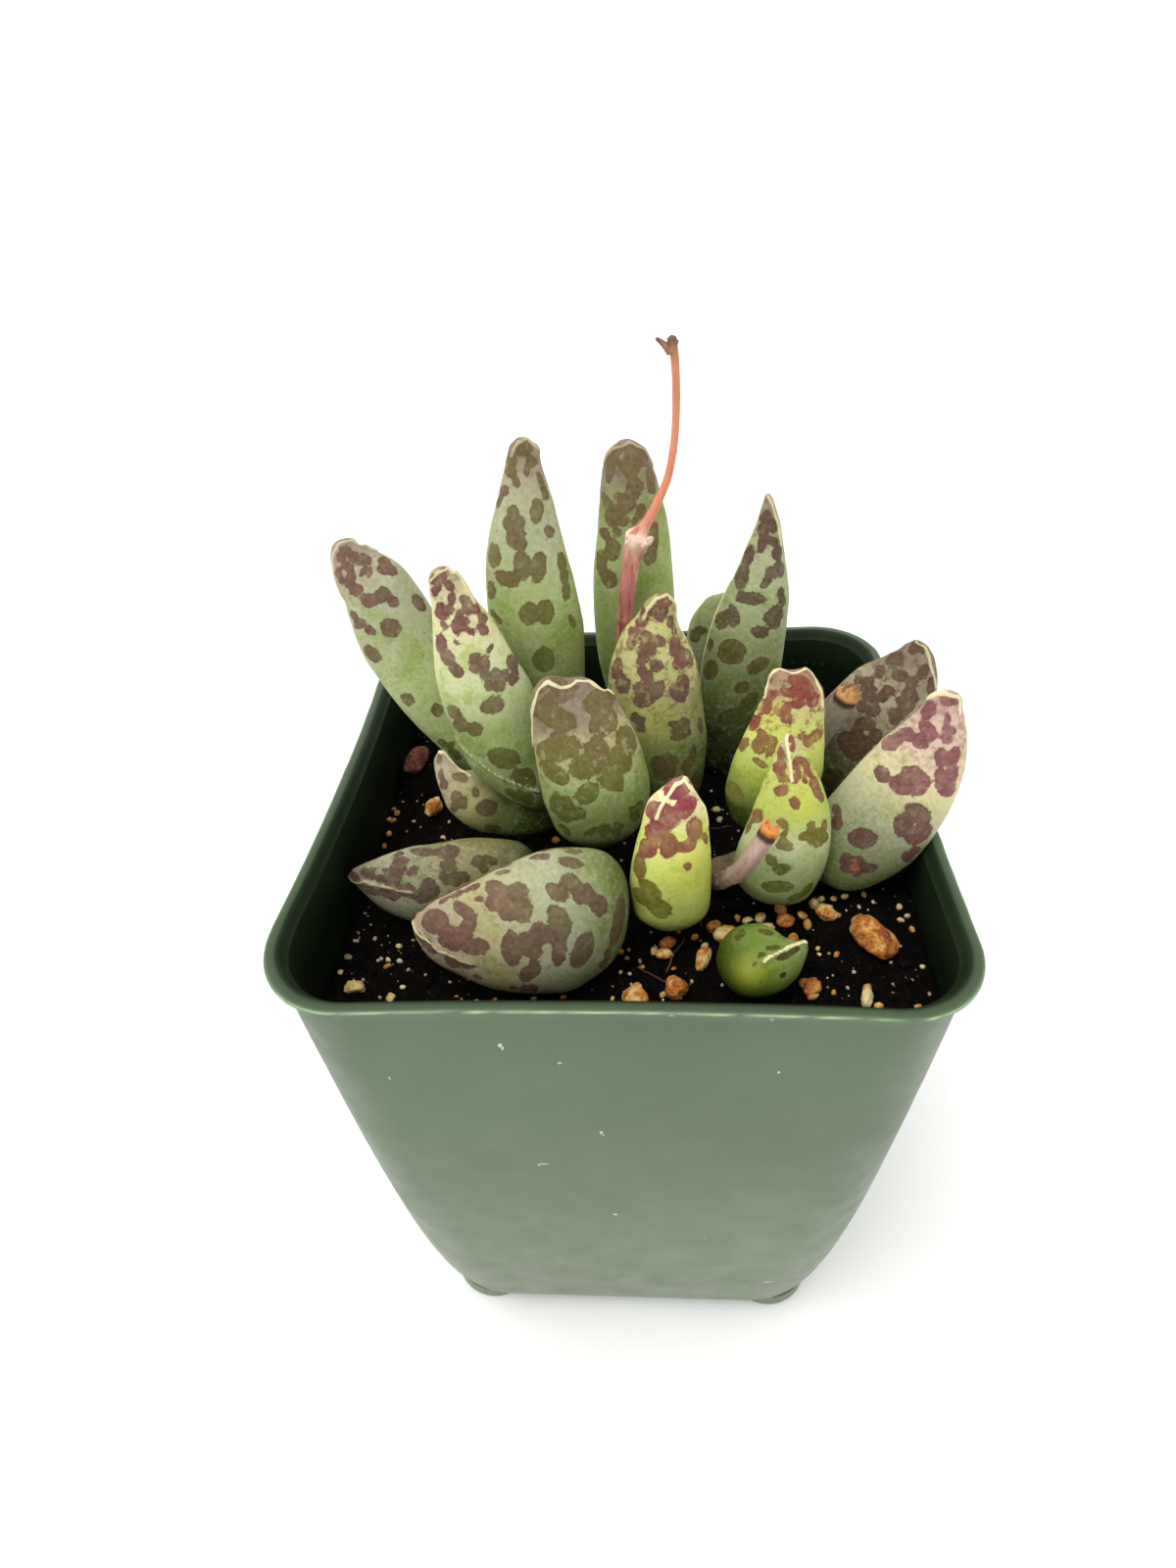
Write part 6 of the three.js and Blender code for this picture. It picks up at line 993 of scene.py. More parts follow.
# ---------------------------------------------------------------- square contour of the pot
POT_WIDTH, POT_HEIGHT, WALL, FLOOR, FOOT = 63.5, 71.4, 0.95, 1.3, 1.5
BTH, BBH, BCURVE, BTR, BBR, RIMR, DROP = 30.8, 22.99, 0.4485, 8.0, 8.8, 8.6, 1.1
SAG = {"right": (0.6, 0), "back": (1.15, 0), "left": (1.25, 7), "front": (0.75, 0)}
NC, NS = 16, 32


def contour(h, r, sag, z):
    pts = []
    cs = [(h - r, h - r, 0), (-(h - r), h - r, 90), (-(h - r), -(h - r), 180), (h - r, -(h - r), 270)]
    for k in range(4):
        cx, cy, a0 = cs[k]
        a = np.radians(a0 + 90 * np.arange(NC + 1) / NC)
        pts.append(np.stack([cx + r * np.cos(a), cy + r * np.sin(a)], 1))
        nx = cs[(k + 1) % 4]
        a1 = math.radians(nx[2])
        nxt = np.array([nx[0] + r * math.cos(a1), nx[1] + r * math.sin(a1)])
        last = pts[-1][-1]
        pts.append(last + (nxt - last) * (np.arange(1, NS) / NS)[:, None])
    p = np.concatenate(pts)

    def pull(u, v, depth, middle):
        w = np.clip((np.abs(u) / h - 0.75) / 0.25, 0, 1)
        return -np.sign(u) * depth * sag * w * w * (3 - 2 * w) * np.maximum(0, 1 - ((v - middle) / (h - 0.4 * r)) ** 2)

    x, y = p[:, 0], p[:, 1]
    dx = np.where(x > 0, pull(x, y, *SAG["right"]), pull(x, y, *SAG["left"]))
    dy = np.where(y > 0, pull(y, x, *SAG["back"]), pull(y, x, *SAG["front"]))
    return np.stack([x + dx, y + dy, np.full(len(x), float(z))], 1)


WTOP = POT_HEIGHT - DROP
share = lambda z: min(max((z - FOOT) / (WTOP - FOOT), 0), 1)
outer_half = lambda z: BBH + (BTH - BBH) * share(z) ** BCURVE
outer_rad = lambda z: BBR + (BTR - BBR) * share(z)
sag_at = lambda z: min(max((share(z) - 0.45) / 0.55, 0), 1)


def make_pot():
    rows = []
    for z, h in ((1.5, 22.2), (1.52, 22.7), (1.62, 23.1), (1.8, 23.4), (2.1, 23.7)):
        rows.append((z, h, BBR - 0.3, 0))
    for s in np.concatenate([np.linspace(0.02, 0.2, 12), np.linspace(0.22, 1, 34)]):
        z = FOOT + (WTOP - FOOT) * s
        rows.append((z, outer_half(z), outer_rad(z), sag_at(z)))
    w = POT_WIDTH / 2
    lip = [(70.38, 30.86), (70.46, 30.93), (70.54, 31.03), (70.62, 31.18), (70.68, 31.35), (70.74, 31.53), (70.82, 31.67), (70.92, 31.74), (71.02, 31.75),
           (71.12, 31.75), (71.2, 31.72), (71.27, 31.67), (71.32, 31.6), (71.35, 31.52), (71.37, 31.42), (71.38, 31.3), (71.39, 31.15), (71.4, 30.98), (71.39, 30.82),
           (71.36, 30.68), (71.3, 30.56), (71.2, 30.45), (71.05, 30.36), (70.85, 30.26), (70.6, 30.1), (70.4, 29.95)]
    for z, h in lip:
        rows.append((z, h, RIMR - (w - h) * 0.8, 1))
    for s in np.concatenate([np.linspace(1, 0.22, 30), np.linspace(0.18, 0.05, 6)]):
        z = FOOT + (WTOP - FOOT) * s
        rows.append((z, outer_half(z) - WALL, outer_rad(z) - WALL, sag_at(z)))
    z = FOOT + FLOOR
    rows.append((z + 0.5, outer_half(z) - WALL - 0.05, BBR - WALL, 0))
    rows.append((z + 0.12, outer_half(z) - WALL - 0.3, BBR - WALL, 0))
    rows.append((z, outer_half(z) - WALL - 0.9, BBR - WALL, 0))
    R = np.stack([contour(h, r, s, z) for z, h, r, s in rows])
    # the moulding isn't dead flat
    X = R.reshape(-1, 3)
    flat = X * [1, 1, 0]
    d = flat / np.linalg.norm(flat, axis=1)[:, None]
    swell = 0.11 * fbm(X * 0.045, 71, 2) + 0.02 * fbm(X * 0.3, 72, 2)
    swell *= step(X[:, 2], 3, 12)
    # a ragged burr left along the top outer edge of the lip
    n = len(rows)
    hh = np.repeat([r[1] for r in rows], R.shape[1])
    zz = X[:, 2]
    near = np.exp(-(((hh - 31.7) / 0.14) ** 2) - ((zz - 71.2) / 0.14) ** 2)
    ragged = 0.5 + 0.5 * noise(X * [0.9, 0.9, 0], 73) + 0.35 * noise(X * [2.7, 2.7, 0], 74)
    X = X + d * swell[:, None]
    X = X + d * (0.05 * near * np.clip(ragged, 0, 1))[:, None]
    X[:, 2] += 0.07 * near * np.clip(ragged, 0, 1) - 0.08 * step(zz, 70.9, 71.4) * (0.5 + 0.5 * noise(X * [0.12, 0.12, 0], 75))
    P, quads, tris, _ = loft(X.reshape(R.shape), [0, 0, FOOT], [0, 0, FOOT + FLOOR])
    pot = new_object("pot_shell", place(P), quads, tris)

    def drum(x, y, levels, sides):
        th = 2 * np.pi * (np.arange(sides) + 0.5) / sides
        R = np.stack([np.stack([x + r * np.cos(th), y + r * np.sin(th), 0 * th + z], 1) for z, r in levels])
        P, q, t, _ = loft(R, [x, y, levels[0][0]], [x, y, levels[-1][0]])
        return P, q, t

    feet = merge([drum(sx * 18.3, sy * 18.3, [(0, 4.75), (0.06, 5.0), (0.16, 5.2), (0.32, 5.37), (0.5, 5.4), (2.3, 5.4)], 56) for sx in (1, -1) for sy in (1, -1)])
    holes = merge([drum(11 * x, 11 * y, [(0.7, 3.0), (3.8, 3.0)], 48) for x, y in ((1, 0), (-1, 0), (0, 1), (0, -1))])
    tools = []
    for nm, m, op in (("feet", feet, "UNION"), ("holes", holes, "DIFFERENCE")):
        o = new_object("tmp_" + nm, place(m[0]), m[1], m[2])
        k = pot.modifiers.new(nm, "BOOLEAN")
        k.operation, k.solver, k.object = op, "EXACT", o
        tools.append(o)
    dg = bpy.context.evaluated_depsgraph_get()
    me = bpy.data.meshes.new_from_object(pot.evaluated_get(dg))
    pot.modifiers.clear()
    old, pot.data = pot.data, me
    bpy.data.meshes.remove(old)
    for o in tools:
        m = o.data
        bpy.data.objects.remove(o)
        bpy.data.meshes.remove(m)
    me.name = "pot_shell"
    me.shade_smooth()
    me.set_sharp_from_angle(angle=math.radians(38))
    # what each point is: the burr, with a painted highlight along the lip's upper edge; the inside, painted in shade
    co = np.empty(len(me.vertices) * 3, np.float32)
    me.vertices.foreach_get("co", co)
    X = co.reshape(-1, 3).astype(float) * 1000 - AXIS
    vn = np.empty(len(me.vertices) * 3, np.float32)
    me.vertex_normals.foreach_get("vector", vn)
    vn = vn.reshape(-1, 3).astype(float)
    z = X[:, 2]
    d = X * [1, 1, 0] / np.maximum(np.hypot(X[:, 0], X[:, 1]), 1e-6)[:, None]
    # the inside walls, the floor and the inner slope of the rim, which the material paints in shade
    inner = ((vn * d).sum(1) < -0.15) & (z > 2.5) | (z > 2.6) & (z < 3.6) & (vn[:, 2] > 0.5)
    inner = inner.astype(float) * (1 - step(z, 66, 70.9) * 0.12)
    inner = np.maximum(inner, 0.62 * step(-(vn * d).sum(1), -0.35, 0.15) * step(z, 70.6, 70.9))
    ragged = 0.55 + 0.6 * noise(X * [0.9, 0.9, 0], 73) + 0.3 * noise(X * [2.7, 2.7, 0], 74)
    # the ragged line along the lip's outer top edge, pale partly as the burr itself, partly as a painted highlight
    rim_burr_highlight = np.exp(-(((z - 71.22) / 0.12) ** 2)) * step((vn * d).sum(1), 0.15, 0.6)
    a = me.attributes.new("burr_and_highlight", "FLOAT", "POINT")
    a.data.foreach_set("value", (rim_burr_highlight * np.clip(ragged, 0, 1.2)).astype(np.float32))
    a = me.attributes.new("inner", "FLOAT", "POINT")
    a.data.foreach_set("value", inner.astype(np.float32))
    # bake map: outside, inside, underside and floor in their own bands
    nl = len(me.loops)
    vi = np.empty(nl, np.int32)
    me.loops.foreach_get("vertex_index", vi)
    npoly = len(me.polygons)
    ls, lt = np.empty(npoly, np.int32), np.empty(npoly, np.int32)
    me.polygons.foreach_get("loop_start", ls)
    me.polygons.foreach_get("loop_total", lt)
    nrm, cen = np.empty(npoly * 3, np.float32), np.empty(npoly * 3, np.float32)
    me.polygons.foreach_get("normal", nrm)
    me.polygons.foreach_get("center", cen)
    nrm, cen = nrm.reshape(-1, 3), cen.reshape(-1, 3) * 1000 - AXIS
    pid = np.repeat(np.arange(npoly), lt)
    L = X[vi]
    ang = np.arctan2(L[:, 1], L[:, 0]) / (2 * np.pi) + 0.5
    ca = (np.arctan2(cen[:, 1], cen[:, 0]) / (2 * np.pi) + 0.5)[pid]
    ang = np.where(ang - ca > 0.5, ang - 1, np.where(ang - ca < -0.5, ang + 1, ang))
    out = (nrm * cen * [1, 1, 0]).sum(1) > 0
    uv = np.zeros((nl, 2))
    flatdown = (nrm[:, 2] < -0.7) | (cen[:, 2] < 2.2)
    floor = (nrm[:, 2] > 0.7) & (cen[:, 2] < 4)
    kind = np.where(flatdown, 2, np.where(floor, 3, np.where(out | (cen[:, 2] > 71.1), 0, 1)))[pid]
    u = 0.01 + 0.98 * np.clip(ang, -0.005, 1.005)
    uv[:, 0] = u
    uv[:, 1] = np.where(kind == 0, 0.62 + 0.37 * L[:, 2] / 71.6, 0.34 + 0.26 * L[:, 2] / 71.6)
    pl = L[:, :2] / 60 * 0.3
    uv = np.where((kind == 2)[:, None], pl + [0.17, 0.16], uv)
    uv = np.where((kind == 3)[:, None], pl + [0.52, 0.16], uv)
    for l in list(me.uv_layers):
        me.uv_layers.remove(l)
    layer = me.uv_layers.new(name="OFBake")
    layer.data.foreach_set("uv", uv.astype(np.float32).ravel())

    N = Nodes("pot_plastic", Roughness=0.36, IOR=1.5)
    big, mid_, fine = N.noise(0.035, 3), N.noise(0.25, 4, 0.6), N.noise(3.0, 3, 0.6)
    col = N.mix(N.smooth(big, 0.3, 0.7), srgb(70, 90, 60), srgb(77, 98, 66))
    # painted bounce light: the wall is painted paler toward the foot, where light off the floor falls
    zz_ = N.t.nodes.new("ShaderNodeSeparateXYZ")
    N.put(zz_.inputs[0], N.co)
    foot_bounce_light = N.smooth(N.math("MULTIPLY_ADD", N.noise(0.06, 3), 0.012, N.math("ADD", zz_.outputs[2], -0.006)), 0.062, 0.004)
    col = N.mix(N.math("MULTIPLY", foot_bounce_light, 0.42), col, srgb(132, 140, 116))
    col = N.mix(N.smooth(mid_, 0.4, 0.75, 0, 0.2), col, srgb(92, 112, 80))
    streak = N.noise(1.0, 3, 0.6, stretch=(1, 1, 0.12))
    col = N.mix(N.smooth(streak, 0.6, 0.8, 0, 0.15), col, srgb(108, 124, 96))
    # dust and scratches
    dust = N.math("MULTIPLY", N.smooth(fine, 0.6, 0.78), N.smooth(mid_, 0.5, 0.7))
    col = N.mix(N.math("MULTIPLY", dust, 0.22), col, srgb(150, 160, 138))
    marks = None
    for cx, cy, cz, rx, rz, g in SCUFFS:
        v = N.t.nodes.new("ShaderNodeVectorMath")
        v.operation = "SUBTRACT"
        N.put(v.inputs[0], N.co)
        v.inputs[1].default_value = tuple(place([cx, cy, cz]))
        w_ = N.t.nodes.new("ShaderNodeVectorMath")
        w_.operation = "MULTIPLY"
        N.put(w_.inputs[0], v.outputs[0])
        w_.inputs[1].default_value = (1000 / rx, 1000 / max(rx, 1.2), 1000 / rz)
        l_ = N.t.nodes.new("ShaderNodeVectorMath")
        l_.operation = "LENGTH"
        N.put(l_.inputs[0], w_.outputs[0])
        dd = N.math("ADD", l_.outputs["Value"], N.math("MULTIPLY_ADD", N.noise(6.0, 2), 1.0, -0.5))
        m = N.smooth(dd, 1.05, 0.75, 0, g)
        marks = m if marks is None else N.math("MAXIMUM", marks, m)
    col = N.mix(marks, col, srgb(205, 214, 196))
    # painted shade: the inside of the pot is painted near-black green
    inn = N.attr("inner")
    inside_painted_shade = N.mix(N.smooth(mid_, 0.35, 0.7), srgb(4, 13, 2), srgb(9, 20, 5))
    col = N.mix(N.math("MULTIPLY", inn, 0.97), col, inside_painted_shade)
    # the burr and a painted highlight along the lip's upper edge
    col = N.mix(N.math("MULTIPLY", N.attr("burr_and_highlight"), 0.8, clamp=True), col, srgb(176, 212, 160))
    h = N.math("ADD", N.math("MULTIPLY", fine, 0.4), N.math("MULTIPLY", mid_, 1.0))
    N.set(Base_Color=col, Roughness=N.math("MAXIMUM", N.lin(N.math("ADD", mid_, N.math("MULTIPLY", marks, 0.4)), 0.3, 0.9, 0.34, 0.6), N.math("MULTIPLY", inn, 0.62)), Specular_IOR_Level=N.lin(inn, 0, 0.8, 0.5, 0.12), Normal=N.bump(h, 0.03, 0.5))
    finish_piece(pot, N.mat, "pot")


# flecks and knocks on the wall: x, y, z, half-size along and across, strength
SCUFFS = [(-10.28, -30.0, 65.2, 0.2, 0.3, 0.9), (-10.1, -30.0, 64.8, 0.12, 0.3, 0.8), (-5.2, -29.9, 62.5, 0.2, 0.14, 0.8), (-1.9, -29.4, 50.5, 0.16, 0.3, 0.8), (-1.7, -29.4, 50.1, 0.1, 0.2, 0.7),
          (-8.0, -29.1, 44.0, 0.5, 0.13, 0.8), (-8.5, -29.1, 43.8, 0.15, 0.25, 0.6), (-0.95, -28.4, 32.8, 0.28, 0.22, 0.7), (14.2, -30.0, 61.7, 0.14, 0.2, 0.8), (17.4, -26.5, 13.3, 0.6, 0.1, 0.9), (16.9, -26.6, 13.0, 0.4, 0.09, 0.8),
          (4.6, -31.1, 70.6, 0.3, 0.5, 0.8), (5.2, -31.1, 70.2, 0.12, 0.5, 0.7), (13.4, -31.1, 70.8, 0.5, 0.14, 0.7), (13.0, -30.9, 69.6, 0.25, 0.4, 0.35), (21.8, 29.4, 67.0, 0.28, 0.24, 0.9), (23.5, 29.4, 66.95, 0.22, 0.22, 0.9), (24.5, 29.3, 66.85, 0.2, 0.2, 0.9), (25.5, 29.0, 67.0, 0.25, 0.2, 0.9),
          (-21.0, -29.6, 60.0, 0.12, 0.3, 0.5), (-3.0, -26.8, 14.0, 0.15, 0.12, 0.6), (9.0, -28.2, 27.0, 0.14, 0.14, 0.5)]
make_pot()

# ---------------------------------------------------------------- lumps and tubes
def lump(c, rad, turn, seed, nu=16, nv=10, planes=14, rough=0.06, flat=0.78):
    """an angular pebble: a ball cut by planes at random"""
    r = np.random.default_rng(seed)
    ph = np.pi * np.arange(1, nv) / nv
    th = 2 * np.pi * np.arange(nu) / nu
    PH, TH = np.meshgrid(ph, th, indexing="ij")
    D = np.stack([np.sin(PH) * np.cos(TH), np.sin(PH) * np.sin(TH), -np.cos(PH)], -1)
    D = np.concatenate([D.reshape(-1, 3), [[0, 0, -1.0], [0, 0, 1.0]]])
    n = r.normal(size=(planes, 3))
    n /= np.linalg.norm(n, axis=1)[:, None]
    off = r.uniform(flat, 1.0, planes)
    k = D @ n.T
    cut = np.where(k > 0.05, off / np.maximum(k, 0.05), 9)
    R = -np.log(np.exp(-14 * np.minimum(cut, 1.05)).sum(1) + math.exp(-14 * 1.03)) / 14
    R = np.clip(R, 0.5, 1.03) * (1 + rough * fbm(D * 1.5 + seed * 3.1, seed, 4, 0.55))
    P = D * R[:, None] * rad
    a = math.radians(turn)
    P = P @ np.array([[math.cos(a), math.sin(a), 0], [-math.sin(a), math.cos(a), 0], [0, 0, 1]]) + c
    G, first, last = P[:-2].reshape(nv - 1, nu, 3), P[-2], P[-1]
    return loft(G, first, last)


def tube(path, radius, sides=8, shape=None):
    """path (n, 3); radius (n,); shape(i, theta) scales the radius"""
    path = np.asarray(path, float)
    T = np.gradient(path, axis=0)
    T /= np.linalg.norm(T, axis=1)[:, None]
    ref = np.array([0.3, 1, 0.1])
    A = np.cross(T, ref)
    A /= np.linalg.norm(A, axis=1)[:, None]
    B = np.cross(T, A)
    th = 2 * np.pi * np.arange(sides) / sides
    rr = np.asarray(radius)[:, None] * (np.ones((len(path), sides)) if shape is None else shape)
    G = path[:, None] + rr[..., None] * (np.cos(th)[None, :, None] * A[:, None] + np.sin(th)[None, :, None] * B[:, None])
    return loft(G, path[0], path[-1])


def along_of(n, m):
    return np.concatenate([[0], np.repeat(np.linspace(0, 1, n), m), [1]])


# ---------------------------------------------------------------- stems and old flower stalks
def stem_piece(name, n, sides, shape_fn, material, extra=(), ends=None):
    rows = np.array(STEMS[name], float)
    s = np.concatenate([[0], np.cumsum(np.linalg.norm(np.diff(rows[:, :3], axis=0), axis=1))])
    length = s[-1]
    s /= length
    t = np.linspace(0, 1, n)
    path = hermite(s, rows[:, :3], t)
    rad = monotone(s, rows[:, 3], t)
    th = 2 * np.pi * np.arange(sides) / sides
    sh = shape_fn(t[:, None], th[None, :], path)
    if ends:
        e0, e1 = ends
        rad = rad * np.sqrt(np.clip(1 - (1 - np.clip(t / e0, 0.03, 1)) ** 2, 0, 1)) * np.sqrt(np.clip(1 - (1 - np.clip((1 - t) / e1, 0.03, 1)) ** 2, 0, 1))
    P, q, tr, uv = tube(path, rad, sides, sh)
    parts = [(P, q, tr, along_of(n, sides))] + [(p[0], p[1], p[2], v) for p, v in extra]
    M = merge(parts)
    o = new_object(name + "_piece", place(M[0]), M[1], M[2], uv if not extra else None, {"along": M[3]})
    finish_piece(o, material, name)
    OVER.append(M[0])
    return o


def woody():
    N = Nodes("old_wood", Roughness=0.85)
    a, b, c = N.noise(0.8, 4, 0.6), N.noise(3.2, 4, 0.65), N.voronoi(1.6)
    col = N.mix(N.smooth(a, 0.3, 0.7), srgb(86, 66, 46), srgb(122, 100, 70))
    col = N.mix(N.smooth(b, 0.5, 0.75, 0, 0.7), col, srgb(150, 132, 100))
    col = N.mix(N.smooth(c, 0.25, 0.05, 0, 0.5), col, srgb(58, 46, 32))
    return N.set(Base_Color=col, Roughness=N.lin(b, 0.3, 0.8, 0.75, 0.95), Normal=N.bump(N.math("ADD", a, b), 0.25, 0.8))


def bark(t, th, path):
    X = np.stack([np.cos(th) + 0 * t, np.sin(th) + 0 * t, t * 6 + 0 * th], -1)
    return 1 + 0.07 * fbm(X * [1.6, 1.6, 1.5], 81, 3) + 0.03 * np.cos(2 * np.pi * t * 5) * (1 - t)


WOOD = woody()
for _n in ("main_stem", "side_stem", "back_stem"):
    stem_piece(_n, 60, 40, bark, WOOD, ends=(0.12, 0.15))


_r = np.array(STEMS["old_flower_stalk"], float)
_l = np.concatenate([[0], np.cumsum(np.linalg.norm(np.diff(_r[:, :3], axis=0), axis=1))])
NODE_AT = float(_l[int(np.argmax(_r[:, 3]))] / _l[-1])


def flower_stalk_material():
    N = Nodes("flower_stalk_skin", Roughness=0.5, Subsurface_Weight=0.08, Subsurface_Scale=0.0008)
    tl = N.attr("along")
    a, b = N.noise(0.5, 4, 0.6, stretch=(1, 1, 0.35)), N.noise(3.0, 4, 0.65, stretch=(1, 1, 0.3))
    w = N.math("MULTIPLY_ADD", a, 0.08, N.math("ADD", tl, -0.04))
    col = N.ramp(w, [(0.05, srgb(100, 66, 40)), (0.25, srgb(132, 80, 62)), (0.42, srgb(176, 112, 94)), (NODE_AT - 0.05, srgb(196, 124, 108)), (NODE_AT - 0.016, srgb(214, 158, 140)), (NODE_AT, srgb(244, 220, 196)), (NODE_AT + 0.014, srgb(226, 170, 150)), (NODE_AT + 0.03, srgb(214, 134, 112)), (0.7, srgb(220, 138, 104)), (0.8, srgb(222, 138, 106)), (0.93, srgb(204, 132, 98)), (0.972, srgb(158, 106, 72)), (0.985, srgb(104, 72, 48)), (1.0, srgb(84, 60, 42))])
    f = N.noise(1.6, 4, 0.6, stretch=(1, 1, 0.12))
    low = N.smooth(tl, NODE_AT + 0.02, NODE_AT - 0.05, 0.25, 1)
    col = N.mix(N.math("MULTIPLY", low, N.smooth(f, 0.5, 0.36, 0, 0.75)), col, srgb(120, 60, 50))
    col = N.mix(N.math("MULTIPLY", low, N.smooth(f, 0.54, 0.66, 0, 0.6)), col, srgb(228, 186, 166))
    col = N.mix(N.smooth(b, 0.56, 0.8, 0, 0.5), col, srgb(216, 176, 150))
    col = N.mix(N.smooth(b, 0.44, 0.25, 0, 0.45), col, srgb(124, 70, 56))
    return N.set(Base_Color=col, Roughness=N.lin(b, 0.3, 0.8, 0.4, 0.65), Normal=N.bump(N.math("ADD", a, b), 0.12, 0.8))


def stalk_shape(t, th, path):
    r = 1 + 0.05 * np.cos(5 * th + 1.2 * np.sin(9 * t)) * (t < 0.62) + 0.03 * np.cos(9 * th + 4 * t)
    r = r + 0.05 * fbm(np.stack([np.cos(th) + 0 * t, np.sin(th) + 0 * t, t * 14 + 0 * th], -1) * 1.5, 83, 3)
    r = r - 0.1 * np.exp(-((((th - 4.4 + 0.5 * np.sin(6 * t)) % (2 * np.pi)) - 0.35) / 0.2) ** 2) * (t < NODE_AT)
    for c, a, w in ((0.25, 0.1, 0.008), (0.44, 0.12, 0.008), (0.8, 0.1, 0.007), (0.9, 0.08, 0.005)):
        r = r + a * np.exp(-(((t - c) / w) ** 2)) * (0.7 + 0.5 * np.cos(th - 3 * c))
    # the cup left by the fallen branch, its edge ragged
    e = NODE_AT + 0.006 * np.sin(th + 0.8) + 0.004 * np.cos(5 * th) + 0.003 * np.cos(9 * th + 1)
    return r + (0.16 + 0.06 * np.cos(7 * th) + 0.05 * np.cos(3 * th + 1)) * np.exp(-(((t - e) / 0.009) ** 2))


_rng = np.random.default_rng(17)
_tip = np.array(STEMS["old_flower_stalk"][-1][:3], float)
_prongs = []
for dx, dy, dz, ln in ((-0.75, 0.1, 0.9, 1.5), (0.35, -0.15, 0.95, 1.3), (0.05, 0.35, 0.8, 0.9)):
    k = np.linspace(0, 1, 12)
    p = _tip + [0, 0, -1.4] + np.outer(k, [dx * ln, dy * ln, dz * ln]) + np.outer(k * k, [dx * 0.3, 0, -0.2])
    _prongs.append((tube(p, 0.42 * (1 - 0.75 * k) + 0.04, 10), 0.985))
_scar = np.array([1.8, 9.6, 94.1])
k = np.linspace(0, 1, 14)
_bract = []
# a withered bract standing on the left, two lips on the right and in front
for ox, oy, dx, dy, ln, wd, tn in ((-0.95, -0.5, 0.25, -0.1, 2.0, 0.3, 0.7), (0.9, -0.45, 0.75, -0.2, 0.6, 0.42, 0.616), (0.2, -1.0, 0.1, -0.5, 0.5, 0.45, 0.616), (-0.8, -0.7, -0.5, -0.3, 0.5, 0.4, 0.616)):
    p = _scar + [ox, oy, -0.25] + np.outer(k, [dx * ln, dy * ln, ln * 0.95]) + np.outer(k * k, [0.3 * ln, 0, 0])
    sh = np.stack([np.abs(np.cos(2 * np.pi * np.arange(12) / 12)) * 0.7 + 0.35] * 14)
    _bract.append((tube(p, wd * np.sqrt(np.clip(1 - k**1.6, 0.01, 1)) + 0.03, 12, sh), tn))
STALK = flower_stalk_material()
stem_piece("old_flower_stalk", 260, 36, stalk_shape, STALK, extra=_prongs + _bract, ends=(0.02, 0.006))


def stub_material(name, skin, cut, pale, ring):
    N = Nodes(name, Roughness=0.7, Specular_IOR_Level=0.3)
    tl = N.attr("along")
    a, b = N.noise(0.7, 4, 0.6, stretch=(1, 1, 0.3)), N.noise(3.0, 4, 0.65, stretch=(1, 1, 0.25))
    w = N.math("MULTIPLY_ADD", a, 0.03, N.math("ADD", tl, -0.015))
    col = N.ramp(w, [(0.05, skin[0]), (0.4, skin[1]), (ring - 0.05, skin[2]), (ring - 0.02, srgb(70, 46, 34)), (ring + 0.005, srgb(84, 52, 34)), (ring + 0.02, cut[0]), (0.99, cut[1])])
    skin_only = N.smooth(tl, ring - 0.02, ring - 0.07)
    col = N.mix(N.math("MULTIPLY", skin_only, N.smooth(b, 0.52, 0.74, 0, 0.7)), col, pale)
    col = N.mix(N.smooth(b, 0.42, 0.25, 0, 0.5), col, srgb(84, 64, 52))
    col = N.mix(N.math("MULTIPLY", skin_only, N.smooth(N.voronoi(1.1), 0.16, 0.08, 0, 0.7)), col, srgb(90, 66, 52))
    return N.set(Base_Color=col, Roughness=N.lin(b, 0.3, 0.8, 0.55, 0.85), Normal=N.bump(N.math("ADD", a, b), 0.2, 0.9))


def stub_shape(t, th, path):
    r = 1 + 0.05 * np.cos(6 * th + 3 * t) + 0.05 * fbm(np.stack([np.cos(th) + 0 * t, np.sin(th) + 0 * t, t * 9 + 0 * th], -1) * 1.6, 85, 3)
    r = r + 0.1 * np.exp(-(((t - 0.42) / 0.03) ** 2)) + 0.07 * np.exp(-(((t - 0.2) / 0.03) ** 2))
    return r + 0.07 * np.exp(-(((t - 0.965) / 0.015) ** 2)) - 0.35 * step(t, 0.975, 1.0) + 0 * th


def end_frame(name):
    rows = np.array(STEMS[name], float)
    end, prev, rad = rows[-1, :3], rows[-2, :3], rows[-1, 3]
    T = (end - prev) / np.linalg.norm(end - prev)
    A = np.cross(T, [0.3, 1, 0.1])
    A /= np.linalg.norm(A)
    return end, T, A, np.cross(T, A), rad


def fibres_at(name, count, seed, long, ring=0.9):
    """torn fibres of a dead stalk end, most of them standing round its edge"""
    r = np.random.default_rng(seed)
    end, T, A, B, rad = end_frame(name)
    out = []
    for _ in range(count):
        q, w = r.uniform(0, 2 * np.pi), rad * (ring - r.uniform(0, 0.3) ** 1.3)
        base = end + A * math.cos(q) * w + B * math.sin(q) * w - T * 0.45
        ln = r.uniform(0.5, 1.0) * long
        lean = (A * math.cos(q) + B * math.sin(q)) * r.uniform(-0.15, 0.25) + r.normal(size=3) * 0.08
        kk = np.linspace(0, 1, 6)
        p = base + np.outer(kk, (T + lean) * ln)
        out.append((tube(p, r.uniform(0.08, 0.16) * (1 - 0.75 * kk) + 0.02, 6), r.uniform(0.97, 1.0)))
    return out


